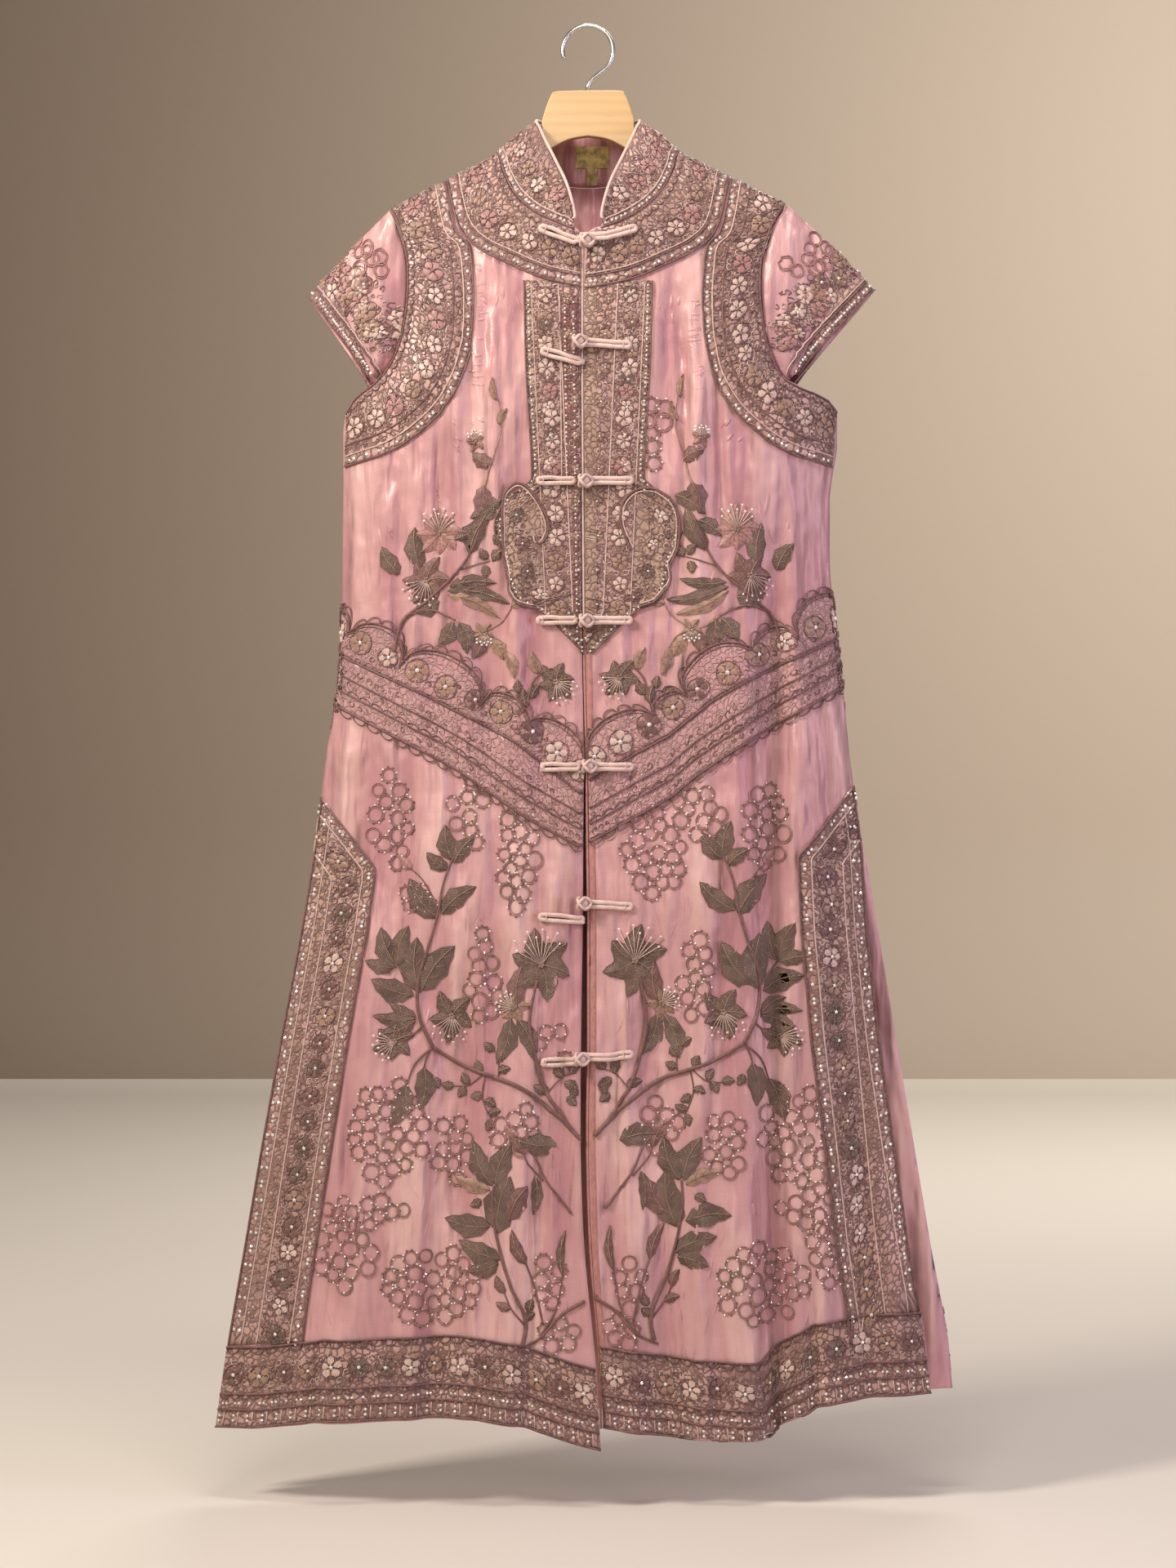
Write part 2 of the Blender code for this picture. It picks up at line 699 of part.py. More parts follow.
def add_sleeve(end, front, back):
    """A cap sleeve: one sheet from the front armhole over the shoulder to the back armhole."""
    edge = [row[-1] for row in front[ARMHOLE_ROWS - 1 : 0 : -1]]
    rows_of_back = back[: ARMHOLE_ROWS]
    edge += [row[0 if end.side == "right" else -1] for row in rows_of_back[1:]]
    count = len(edge) - 1
    sign = -1 if end.side == "right" else 1
    grid = []
    for index, seam in enumerate(edge):
        across = 2 * index / count - 1
        down = abs(across) ** 1.3
        facing = -1 if across < 0 else 1
        round_off = sqrt(1 - (1 - abs(across)) ** 2)
        hem_x = between(end.x_tip, end.x_low + sign * 7, down)
        hem_z = between(end.z_tip, end.z_low, down)
        hem_z -= SLEEVE_BACK_DROP * abs(across) * (facing > 0)
        hem = Vector((hem_x, facing * SLEEVE_HEM_DEPTH * round_off * (1 - 0.35 * down), hem_z)) * MM
        start = seam + (hem - seam).normalized() * SLEEVE_SEAM_GAP * (1 + 2.3 * down**3) * MM
        points = []
        for column in range(SLEEVE_COLUMNS + 1):
            t = column / SLEEVE_COLUMNS
            t = t / 5 * 5 * SLEEVE_BAND_FROM / (1 - 1 / SLEEVE_COLUMNS) if column < SLEEVE_COLUMNS else 1
            point = start.lerp(hem, t)
            puff = SLEEVE_PUFF * sin(pi * t) * MM
            point.y += facing * puff * round_off
            point.z += puff * (1 - down) * 0.6
            points.append(point)
        grid.append(points)

    def outward(place):
        return Vector((sign, 0, 1.5)) + Vector((0, 1 if place.y > 0 else -1, 0))

    name = f"sleeve_{end.side}"
    cloth = sheet_mesh(name, grid, outward)
    thicken(add_part(name, cloth, SILK_PINK), CLOTH_WALL)
    laid = moved_out(cloth, name + "_laid", CLOTH_WALL + SEAM_GAP)
    columns = SLEEVE_COLUMNS + 1
    last = [columns * (row + 1) - 1 for row in range(len(grid))]
    band = [[laid.vertices[corner - 1].co, laid.vertices[corner].co] for corner in last]
    trim = sheet_mesh(f"lace_sleeve_{end.side}", band, outward)
    thicken(add_part(trim.name, trim, LACE_TAUPE), LACE_WALL)


def collar_top(x, behind):
    """The collar's free edge above the neckline at x, on the front or behind the shoulder."""
    rows = COLLAR[SHOULDER_ROW:] if behind else COLLAR[SHOULDER_ROW::-1]
    away = abs(x) / MM
    for outer, inner in zip(rows, rows[1:]):
        if away >= inner.x or inner is rows[-1]:
            share = min(1, (outer.x - away) / (outer.x - inner.x))
            place = [between(a, b, share) for a, b in zip(outer[3:], inner[3:])]
            return Vector((place[0] * (1 if x > 0 else -1), place[1], place[2])) * MM
    return None


def collar_points(fronts, back):
    """The inner face of the collar, on the necklines' own points, from the front's right end
    round the back to its left end."""
    middle = BACK_COLUMNS // 2
    neck_columns = round(middle * BACK_NECK_HALF_WIDTH / abs(BACK[0].x_right))
    necklines = []
    for front, step in zip(fronts, (-1, 1)):
        edge = [row[0] for row in front[NECKLINE_ROWS::-1]]
        end_share = (abs(edge[1].x) - COLLAR_END_X * MM) / (abs(edge[1].x) - abs(edge[0].x))
        edge[0] = edge[1].lerp(edge[0], end_share)
        edge = [(point, False) for point in edge[:-3] + edge[-1:]]
        edge += [(back[0][middle + step * column], True) for column in range(neck_columns - 1, 0, -1)]
        necklines.append(edge)
    seam = necklines[0] + [(back[0][middle], True)] + necklines[1][::-1]
    grid = []
    for base, behind in seam:
        top = collar_top(base.x, behind)
        base = base + (top - base).normalized() * COLLAR_SEAM_GAP * MM
        grid.append([base.lerp(top, share) for share in (0, 0.5, 1)])
    return grid


def tube(name, points, radius, finish, closed=False):
    """A cord through these points."""
    curve = bpy.data.curves.new(name, "CURVE")
    curve.dimensions = "3D"
    curve.bevel_depth = radius * MM
    curve.bevel_resolution = 1
    curve.use_fill_caps = not closed
    spline = curve.splines.new("POLY")
    spline.points.add(len(points) - 1)
    for target, point in zip(spline.points, points):
        target.co = (*point, 1)
    spline.use_cyclic_u = closed
    return add_part(name, curve, finish)


def as_mesh(item, finish):
    """Turns a cord into a mesh object of the same name, so that it can be joined or cut."""
    bpy.context.view_layer.update()
    graph = bpy.context.evaluated_depsgraph_get()
    mesh = bpy.data.meshes.new_from_object(item.evaluated_get(graph))
    name = item.name
    shape = bmesh.new()
    shape.from_mesh(mesh)
    bmesh.ops.remove_doubles(shape, verts=shape.verts[:], dist=0.00001)
    shape.to_mesh(mesh)
    shape.free()
    bpy.data.objects.remove(item, do_unlink=True)
    return add_part(name, mesh, finish)


def height_finder(mesh):
    """A function that lays a point on the front of a sheet, a given distance out from it."""
    tree = BVHTree.FromPolygons(
        [vertex.co.copy() for vertex in mesh.vertices],
        [tuple(face.vertices) for face in mesh.polygons],
    )

    def lay(x, z, out):
        start = Vector((x, -400, z)) * MM
        hit, normal, _, _ = tree.ray_cast(start, Vector((0, 1, 0)))
        if hit is None:
            hit, normal, _, _ = tree.find_nearest(Vector((x, -45, z)) * MM)
        tilt = max(0.6, abs(normal.y))
        return Vector((x * MM, hit.y - out * MM / tilt, z * MM))

    return lay


def frog_half(name, lay, start, end, out, knob):
    """Two cords side by side, joined at both ends. The knob half also has its ball."""
    along = Vector((end.x - start.x, end.z - start.z))
    length = along.length
    along.normalize()
    across = Vector((-along.y, along.x))
    turn = [0, pi / 4, pi / 2, 3 * pi / 4, pi]
    local = [(length + CORD_SPREAD * sin(a), CORD_SPREAD * cos(a)) for a in turn]
    local += [(length * share, -CORD_SPREAD) for share in (0.66, 0.33)]
    local += [(-CORD_SPREAD * sin(a), -CORD_SPREAD * cos(a)) for a in turn]
    local += [(length * share, CORD_SPREAD) for share in (0.33, 0.66)]
    points = []
    for forward, sideways in local:
        x = start.x + along.x * forward + across.x * sideways
        z = start.z + along.y * forward + across.y * sideways
        points.append(lay(x, z, out))
    cord = as_mesh(tube(name, points, CORD_RADIUS, CORD_PINK, closed=True), CORD_PINK)
    if knob:
        shape = bmesh.new()
        bmesh.ops.create_uvsphere(shape, u_segments=8, v_segments=6, radius=KNOB_RADIUS * MM)
        at = lay(knob.x, knob.z, out + KNOB_RADIUS - CORD_RADIUS)
        bmesh.ops.translate(shape, verts=shape.verts[:], vec=at)
        mesh = bpy.data.meshes.new(name + "_ball")
        shape.to_mesh(mesh)
        shape.free()
        cut_with(cord, add_cutter(name + "_ball", mesh), "UNION")


def add_frogs(lay_right, lay_left):
    def lay(x, z, out):
        """Lays a point on whichever front reaches further forward there."""
        right, left = lay_right(x, z, out), lay_left(x, z, out)
        if x < -12:
            return right
        if x > 16:
            return left
        return right if right.y < left.y else left

    for frog in FROGS:
        out = CLOTH_WALL + SEAM_GAP + CORD_RADIUS + 0.2
        if frog.on_lace:
            out += LACE_WALL + SEAM_GAP
        knob = Corner(frog.knob_x, frog.knob_z)
        bar = Corner(frog.bar_x, frog.bar_z)
        toward = Vector((bar.x - knob.x, bar.z - knob.z)).normalized()
        start = Corner(knob.x + toward.x * 6.5, knob.z + toward.y * 6.5)
        frog_half(f"frog_{frog.number}_knob", lay, start, bar, out, knob)
        loop = Corner(frog.loop_x - CORD_SPREAD, frog.loop_z)
        end = Corner(frog.loop_end_x, frog.loop_end_z)
        frog_half(f"frog_{frog.number}_loop", lay, loop, end, out, None)


def add_edge_binding(grid):
    """The narrow bound edge of the left front, from the neck to the hem."""
    points = []
    for row in grid[8:]:
        edge = row[0] + Vector((-(EDGE_BINDING_RADIUS + SEAM_GAP), -CLOTH_WALL / 2, 0)) * MM
        points.append(edge)
    points[0].z -= 1.5 * MM
    tube("front_edge_binding", points, EDGE_BINDING_RADIUS, CORD_PINK)


def add_hanger():
    outline = HANGER_HALF + mirrored(HANGER_HALF[-2:0:-1], "right")
    outline = [Corner(corner.x, corner.z + corner.x * HANGER_TILT) for corner in outline]
    half = HANGER_THICKNESS / 2
    body = add_part("hanger_body", prism_mesh("hanger_body", outline, -half, half), WOOD_PALE)
    bevel = body.modifiers.new("rounding", "BEVEL")
    bevel.width = HANGER_ROUNDING * MM
    bevel.segments = 2
    bevel.limit_method = "ANGLE"
    bevel.angle_limit = pi / 3
    centre = Vector((0, 0, HOOK_WIRE_RADIUS - HOOK_BEND_RADIUS))
    points = [Vector((0, 0, -60.1)), Vector((0, 0, -56)), Vector((1.5, 0, -52)), Vector((6, 0, -47.5))]
    for step in range(17):
        angle = between(-60, 200, step / 16) * pi / 180
        points.append(centre + Vector((cos(angle), 0, sin(angle))) * HOOK_BEND_RADIUS)
    tube("hanger_hook", [point * MM for point in points], HOOK_WIRE_RADIUS, STEEL_BRIGHT)


def add_collar_piping(grid):
    """The piping on the collar's free edge, from one front corner round to the other."""
    points = []
    for index, row in enumerate(grid):
        before = grid[max(index - 1, 0)][-1]
        after = grid[min(index + 1, len(grid) - 1)][-1]
        along = (after - before).normalized()
        up = row[-1] - row[-2]
        up = (up - along * up.dot(along)).normalized()
        outward = up.cross(along)
        outward *= 1 if outward.dot(Vector((row[-1].x, row[-1].y, 0))) > 0 else -1
        lift = (PIPING_RADIUS + SEAM_GAP + 1.4) * MM
        points.append(row[-1] + up * lift + outward * COLLAR_WALL / 2 * MM)
    tube("collar_piping", points, PIPING_RADIUS, CORD_PINK)


def add_neck_label(collar):
    """The label inside the back of the collar, with its narrow size tab below."""
    tab_left = LABEL_CENTRE_X - SIZE_TAB_HALF_WIDTH
    tab_right = LABEL_CENTRE_X + SIZE_TAB_HALF_WIDTH
    left = LABEL_CENTRE_X - LABEL_HALF_WIDTH
    right = LABEL_CENTRE_X + LABEL_HALF_WIDTH
    outline = [
        Corner(left, LABEL_TOP),
        Corner(left, LABEL_BOTTOM),
        Corner(tab_left, LABEL_BOTTOM),
        Corner(tab_left, SIZE_TAB_BOTTOM),
        Corner(tab_right, SIZE_TAB_BOTTOM),
        Corner(tab_right, LABEL_BOTTOM),
        Corner(right, LABEL_BOTTOM),
        Corner(right, LABEL_TOP),
    ]
    label = add_part("neck_label", moved_out(collar, "neck_label", -SEAM_GAP), LABEL_OLIVE)
    thicken(label, LABEL_WALL, outward=False)
    cut_with(label, add_cutter("neck_label_outline", prism_mesh("neck_label", outline, 0, 120)), "INTERSECT")


clear_scene()
parts = new_collection("cheongsam_robe_on_hanger")
cutters = new_collection("cutters")

right_grid = front_points(RIGHT_FRONT, RIGHT_FRONT_HEM, RIGHT_FRONT_FOLDS)
left_grid = front_points(LEFT_FRONT, LEFT_FRONT_HEM, LEFT_FRONT_FOLDS)
back_grid = back_points()
right_cloth = sheet_mesh("front_right", right_grid, lambda place: Vector((0, -1, 0)))
left_cloth = sheet_mesh("front_left", left_grid, lambda place: Vector((0, -1, 0)))
back_cloth = sheet_mesh("back", back_grid, lambda place: Vector((0, 1, 0)))
right_back = sheet_mesh("back_right", half_of_back(back_grid, "right"), lambda place: Vector((0, 1, 0)))
left_back = sheet_mesh("back_left", half_of_back(back_grid, "left"), lambda place: Vector((0, 1, 0)))
for cloth in (right_cloth, left_cloth, right_back, left_back):
    thicken(add_part(cloth.name, cloth, SILK_PINK), CLOTH_WALL)

collar_grid = collar_points((right_grid, left_grid), back_grid)
collar_cloth = sheet_mesh("collar", collar_grid, lambda place: Vector((place.x, place.y, 0.02)))
thicken(add_part("collar", collar_cloth, LACE_TAUPE), COLLAR_WALL)
add_collar_piping(collar_grid)
add_neck_label(collar_cloth)

for sleeve_end, front_grid in zip(SLEEVES, (right_grid, left_grid)):
    add_sleeve(sleeve_end, front_grid, back_grid)

add_front_lace(
    "right", RIGHT_FRONT, right_cloth, RIGHT_FRONT_HEM, CHEVRON_RIGHT_TOP, CHEVRON_RIGHT_BOTTOM, HIP_TOP_RIGHT
)
add_front_lace(
    "left", LEFT_FRONT, left_cloth, LEFT_FRONT_HEM, CHEVRON_LEFT_TOP, CHEVRON_LEFT_BOTTOM, HIP_TOP_LEFT
)
add_back_lace(back_cloth)
add_frogs(height_finder(right_cloth), height_finder(left_cloth))
add_edge_binding(left_grid)
add_hanger()
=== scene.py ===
# A long silk robe in the cheongsam manner on a wooden hanger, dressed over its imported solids:
# fine cloth with creases, applied lace, corded and beaded needlework, frogs, and the stage.

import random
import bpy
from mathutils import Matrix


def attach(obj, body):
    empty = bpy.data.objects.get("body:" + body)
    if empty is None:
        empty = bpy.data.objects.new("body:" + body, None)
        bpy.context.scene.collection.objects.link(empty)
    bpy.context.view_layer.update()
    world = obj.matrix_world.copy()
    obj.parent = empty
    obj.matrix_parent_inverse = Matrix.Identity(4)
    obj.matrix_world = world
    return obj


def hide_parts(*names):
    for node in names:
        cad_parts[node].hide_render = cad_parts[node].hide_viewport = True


bl_info = {
    "name": "Cheongsam robe on a hanger",
    "version": (1, 0, 0),
    "blender": (4, 5, 0),
    "location": "3D View > Sidebar > Robe",
    "description": "Dresses the packed robe with silk, lace, needlework and cord frogs",
    "category": "Object",
}

from collections import namedtuple
from math import ceil, cos, hypot, pi, radians, sin, sqrt

import bmesh
import bpy
from mathutils import Vector
from mathutils.bvhtree import BVHTree

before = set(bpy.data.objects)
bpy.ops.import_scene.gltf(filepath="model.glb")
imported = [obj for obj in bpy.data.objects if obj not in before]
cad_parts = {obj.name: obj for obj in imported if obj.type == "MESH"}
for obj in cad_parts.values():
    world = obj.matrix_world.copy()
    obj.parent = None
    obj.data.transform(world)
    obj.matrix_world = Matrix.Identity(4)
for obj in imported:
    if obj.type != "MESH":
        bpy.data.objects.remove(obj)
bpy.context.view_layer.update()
ROOT = "root"
MM = 0.001

# Walls and clearances, as in the solids
CLOTH_WALL = 1.5
COLLAR_WALL = 1.8
LACE_WALL = 0.8
SEAM_GAP = 0.3
HALF_SEAM = SEAM_GAP / 2
COLLAR_SEAM_GAP = 0.7
SLEEVE_SEAM_GAP = 1.2
SIDE_ROUNDING = 2.5
HEM_SHAPED_FROM = -1130
HEM_BAND_HEIGHT = 77
PIPING_RADIUS = 1.5
EDGE_BINDING_RADIUS = 1.3
HANGER_TILT = 0.0134
HANGER_THICKNESS = 10
HOOK_WIRE_RADIUS = 2.0
HOOK_BEND_RADIUS = 24
HIP_BAND_TOP_WIDTH = 62
HIP_BAND_LOW_WIDTH = 73
HIP_TOP_RIGHT = -733
HIP_TOP_LEFT = -722

# One row of a front, from its middle edge or neckline (in) to its armhole or side (out).
# y_mid is how far the cloth stands forward halfway along the row.
FrontRow = namedtuple("FrontRow", "x_in z_in x_out z_out y_in y_mid y_out")
RIGHT_FRONT = [
    FrontRow(-85.5, -121, -187, -174, 0.15, 0.15, 0.15),
    FrontRow(-85.3, -122, -187, -175, 6, 6, 6),
    FrontRow(-84.8, -125, -186, -178, 9.5, 10, 9.5),
    FrontRow(-83, -131, -183, -184, 13, 14, 13),
    FrontRow(-80, -143, -178, -198, 18, 19, 17),
    FrontRow(-69, -165, -172, -223, 28, 25, 20),
    FrontRow(-50, -183, -171, -250, 37, 30, 22),
    FrontRow(-28, -194, -173, -277, 42, 35, 22),
    FrontRow(-7, -203, -180, -308, 44, 38, 20),
    FrontRow(-7.2, -247, -196, -336, 43, 40, 14),
    FrontRow(-7.2, -289, -229, -368, 42, 41, 0.15),
    FrontRow(-7, -388, -232, -450, 40, 40, 0.15),
    FrontRow(-6.6, -490, -233, -525, 38, 38, 0.15),
    FrontRow(-5.6, -600, -236, -615, 36, 36, 0.15),
    FrontRow(-4, -690, -248, -690, 37, 37, 0.15),
    FrontRow(-4.5, -780, -259, -780, 39, 39, 0.15),
    FrontRow(-5, -860, -272, -860, 41, 41, 1.5),
    FrontRow(-6.5, -960, -291, -960, 44, 43, 4),
    FrontRow(-7, -1060, -309, -1060, 47, 45, 6),
    FrontRow(-3, -1160, -326, -1160, 50, 47, 7),
    FrontRow(7, -1260, -342, -1254, 54, 49, 8),
    FrontRow(12, -1344, -353, -1331, 57, 50, 8),
]
LEFT_FRONT = [
    FrontRow(85.5, -119, 187, -169, 0.15, 0.15, 0.15),
    FrontRow(85.3, -120, 187, -170, 6, 6, 6),
    FrontRow(84.8, -123, 186, -173, 9.5, 10, 9.5),
    FrontRow(83, -129, 182, -179, 13, 14, 13),
    FrontRow(80, -141, 174, -193, 18, 19, 17),
    FrontRow(69, -163, 165, -221, 28, 25, 20),
    FrontRow(50, -181, 163, -250, 37, 30, 22),
    FrontRow(28, -193, 165, -280, 42, 35, 22),
    FrontRow(0, -203, 172, -312, 44, 38, 20),
    FrontRow(-3.6, -247, 188, -340, 43, 40, 14),
    FrontRow(-3.8, -289, 236, -366, 42, 41, 0.15),
    FrontRow(-3.6, -388, 229, -450, 40, 40, 0.15),
    FrontRow(-3, -490, 230, -525, 38, 38, 0.15),
    FrontRow(-2, -600, 240, -613, 36, 36, 0.15),
    FrontRow(0, -690, 249, -700, 37, 37, 0.15),
    FrontRow(1, -780, 260, -780, 39, 38, 0.15),
    FrontRow(2, -860, 265, -860, 40, 40, 3),
    FrontRow(2, -960, 276, -960, 42, 40, 8),
    FrontRow(1, -1060, 290, -1060, 44, 42, 12),
    FrontRow(4, -1160, 304, -1160, 46, 44, 15),
    FrontRow(11, -1250, 318, -1240, 48, 46, 17),
    FrontRow(14, -1324, 324, -1297, 50, 47, 18),
]
ARMHOLE_ROWS = 10
# The hem's height along each front, from the middle to the side
HemPoint = namedtuple("HemPoint", "x z")
RIGHT_FRONT_HEM = [
    HemPoint(12, -1344),
    HemPoint(-12, -1338),
    HemPoint(-63, -1321),
    HemPoint(-114, -1314),
    HemPoint(-191, -1316),
    HemPoint(-252, -1318),
    HemPoint(-308, -1327),
    HemPoint(-353, -1331),
]
LEFT_FRONT_HEM = [
    HemPoint(14, -1324),
    HemPoint(58, -1331),
    HemPoint(107, -1337),
    HemPoint(166, -1340),
    HemPoint(184, -1325),
    HemPoint(218, -1304),
    HemPoint(267, -1297),
    HemPoint(324, -1297),
]

# One row of the back. raised is how much of the shoulder and neckline's shape it keeps,
# necked how much of the neckline's depth.
BackRow = namedtuple("BackRow", "x_right z_right x_left z_left y_mid y_edge raised necked")
BACK = [
    BackRow(-187, -174, 187, -169, 0.15, 0.15, 1, 1),
    BackRow(-187, -175, 187, -170, 6, 6, 1, 1),
    BackRow(-186, -178, 186, -173, 10, 9.5, 1, 1),
    BackRow(-183, -184, 182, -179, 14, 13, 1, 1),
    BackRow(-178, -198, 174, -193, 19, 17, 0.9, 0.95),
    BackRow(-172, -223, 165, -221, 25, 20, 0.75, 0.8),
    BackRow(-171, -250, 163, -250, 30, 22, 0.6, 0.6),
    BackRow(-173, -277, 165, -280, 34, 22, 0.4, 0.4),
    BackRow(-180, -308, 172, -312, 37, 20, 0.2, 0.2),
    BackRow(-196, -336, 188, -340, 39, 14, 0.1, 0),
    BackRow(-229, -368, 236, -366, 40, 0.15, 0, 0),
    BackRow(-232, -450, 229, -450, 39, 0.15, 0, 0),
    BackRow(-233, -525, 230, -525, 36, 0.15, 0, 0),
    BackRow(-236, -615, 240, -613, 34, 0.15, 0, 0),
    BackRow(-248, -690, 249, -700, 36, 0.15, 0, 0),
    BackRow(-259, -780, 262, -780, 40, 0.15, 0, 0),
    BackRow(-270, -860, 276, -860, 42, 2, 0, 0),
    BackRow(-288, -960, 293, -960, 44, 6, 0, 0),
    BackRow(-306, -1060, 310, -1060, 46, 8, 0, 0),
    BackRow(-323, -1160, 327, -1160, 48, 10, 0, 0),
    BackRow(-339, -1250, 342, -1240, 50, 11, 0, 0),
    BackRow(-350, -1326, 348, -1297, 52, 12, 0, 0),
]
BACK_NECK_HALF_WIDTH = 85.5
BACK_NECK_BOTTOM = -146
BACK_NECK_DEPTH = 42
BACK_HEM_SAG = 14

# Folds run down a panel. A positive rise stands out, a negative one sinks in.
Fold = namedtuple("Fold", "x_top x_bottom z_top z_bottom half_width rise to_hem")
RIGHT_FRONT_FOLDS = [
    Fold(-205, -200, -400, -640, 26, 4, False),
    Fold(-160, -130, -415, -760, 24, -5, False),
    Fold(-66, -66, -420, -770, 22, 6, False),
    Fold(-96, -92, -430, -760, 18, -4, False),
    Fold(-200, -240, -800, -1345, 50, 9, True),
    Fold(-120, -150, -860, -1345, 38, -9, True),
    Fold(-60, -78, -820, -1345, 34, 8, True),
]
LEFT_FRONT_FOLDS = [
    Fold(172, 178, -385, -1345, 24, -15, True),
    Fold(142, 146, -400, -1345, 30, 7, True),
    Fold(205, 222, -440, -1345, 26, 5, True),
    Fold(80, 84, -420, -790, 30, -4, False),
    Fold(60, 78, -830, -1345, 36, -8, True),
    Fold(255, 268, -900, -1345, 24, -6, True),
]
BACK_FOLDS = [
    Fold(-150, -165, -400, -1345, 40, -10, True),
    Fold(-70, -80, -520, -1345, 44, 7, True),
    Fold(30, 34, -460, -1345, 46, -9, True),
    Fold(110, 128, -560, -1345, 44, 8, True),
    Fold(170, 196, -420, -1345, 34, -8, True),
]
# Half of the collar, from the middle of the front to the middle of the back. The base
# follows the neckline and the top is the free edge, whose front corner is rounded.
CollarRow = namedtuple("CollarRow", "x y z x_top y_top z_top")
COLLAR = [
    CollarRow(9, -44, -202.5, 13, -44.5, -193),
    CollarRow(28, -42, -193.5, 17, -44, -172),
    CollarRow(50, -37, -182, 23, -38, -153),
    CollarRow(69, -28, -164, 32, -26, -133),
    CollarRow(80, -18, -142, 43.5, -14, -108),
    CollarRow(85.5, -1, -120, 50, -1, -91),
    CollarRow(76, 17.5, -125, 45, 15, -92),
    CollarRow(58, 29, -135, 34, 26, -92.5),
    CollarRow(30, 39, -143, 18, 36, -93),
    CollarRow(0, 42, -146, 0, 39, -93),
]
SHOULDER_ROW = 5
NECKLINE_ROWS = 8
COLLAR_END_X = 12
# Sleeve ends as seen from the front: the tip of the shoulder fold and the seam's lower end
SleeveEnd = namedtuple("SleeveEnd", "side x_tip z_tip x_low z_low")
SLEEVES = [
    SleeveEnd("right", -264, -259, -200, -334),
    SleeveEnd("left", 271, -252, 190, -330),
]
SLEEVE_HEM_DEPTH = 20
SLEEVE_BACK_DROP = 6
SLEEVE_PUFF = 5
# Outlines of the lace seen from the front, as distances from the middle and heights
Corner = namedtuple("Corner", "x z")
YOKE_EDGE = [
    Corner(134, -151),
    Corner(123, -192),
    Corner(106, -214),
    Corner(73, -232),
    Corner(40, -246),
    Corner(2, -254),
]
ARMHOLE_EDGE = [
    Corner(190, -180),
    Corner(135.5, -152),
    Corner(125, -196),
    Corner(112, -212),
    Corner(108, -240),
    Corner(107, -270),
    Corner(110, -308),
    Corner(121, -344),
    Corner(139, -372),
    Corner(168, -397),
    Corner(194, -410),
    Corner(262, -426),
]
PLACKET_EDGE = [
    Corner(61, -239.5),
    Corner(59, -330),
    Corner(54, -437),
    Corner(70, -443),
    Corner(84, -461),
    Corner(88, -482),
    Corner(80, -506),
    Corner(73, -538),
    Corner(62, -552),
    Corner(46, -557),
    Corner(0, -602),
]
BACK_YOKE_EDGE = [
    Corner(134, -151),
    Corner(120, -186),
    Corner(95, -208),
    Corner(60, -222),
    Corner(0, -230),
]
BACK_LACE_TOP = [
    Corner(84, -135),
    Corner(68, -139),
    Corner(51, -145),
    Corner(34, -150),
    Corner(17, -152),
    Corner(0, -153),
]
BACK_CHEVRON_TOP = [Corner(262, -560), Corner(150, -625), Corner(0, -695)]
BACK_CHEVRON_BOTTOM = [Corner(0, -778), Corner(150, -705), Corner(262, -640)]

# Seven frogs. The knob half is sewn to the left front, the loop half to the right front.
Frog = namedtuple(
    "Frog", "number knob_x knob_z bar_x bar_z loop_x loop_z loop_end_x loop_end_z on_lace"
)
FROGS = [
    Frog(1, -2, -211, 42, -199, -12.3, -210, -42, -199, True),
    Frog(2, -9, -305, 37, -308, -7, -323, -41, -314, True),
    Frog(3, -4.6, -435, 39, -435, -14.5, -435, -45, -435, True),
    Frog(4, -3, -566, 38, -566, -13, -566, -46, -566, True),
    Frog(5, 0, -704, 37, -704, -10, -704, -43, -704, True),
    Frog(6, 6.9, -833, 38.5, -835, 9, -849, -43, -845, False),
    Frog(7, 1.5, -979, 38.5, -974, -8.6, -980, -41, -981, False),
]
UNDONE_FROGS = (2, 6)

# Outline of half the wooden hanger, from the middle of its top round to the middle below
HANGER_HALF = [
    Corner(0, -60.5),
    Corner(30, -61),
    Corner(35, -64),
    Corner(40, -76),
    Corner(44, -90),
    Corner(44, -98),
    Corner(50, -107),
    Corner(62, -116.5),
    Corner(76, -126.5),
    Corner(84, -125.5),
    Corner(92, -127),
    Corner(104, -131),
    Corner(172, -164.8),
    Corner(176, -170),
    Corner(173, -181),
    Corner(164, -187),
    Corner(120, -167),
    Corner(84, -148),
    Corner(58, -130),
    Corner(36, -116),
    Corner(18, -107),
    Corner(0, -104),
]


# Smaller creases laid over the main folds, in the cloth that the photograph shows and,
# in the same manner, on the sides that it hides.
RIGHT_FRONT_CREASES = [
    Fold(-216, -213, -418, -560, 9, -4.2, False),
    Fold(-186, -190, -405, -650, 10, 4.6, False),
    Fold(-144, -138, -372, -520, 8, -4.9, False),
    Fold(-128, -118, -300, -640, 9, 4.2, False),
    Fold(-112, -106, -262, -470, 8, -4.6, False),
    Fold(-90, -86, -250, -560, 7, 3.8, False),
    Fold(-76, -80, -450, -700, 8, -3.4, False),
    Fold(-40, -44, -610, -760, 9, -3.0, False),
    Fold(-232, -250, -660, -900, 11, 4.6, False),
    Fold(-176, -188, -690, -1010, 12, -4.9, False),
    Fold(-104, -96, -760, -1120, 12, 4.6, False),
    Fold(-30, -34, -800, -1180, 10, 4.6, False),
    Fold(-150, -168, -980, -1345, 16, 5.7, True),
    Fold(-46, -60, -1040, -1345, 14, -5.7, True),
    Fold(-214, -262, -990, -1345, 15, -5.3, True),
    Fold(-100, -118, -1130, -1345, 14, 4.9, True),
    Fold(-290, -322, -1060, -1345, 15, 4.9, True),
]
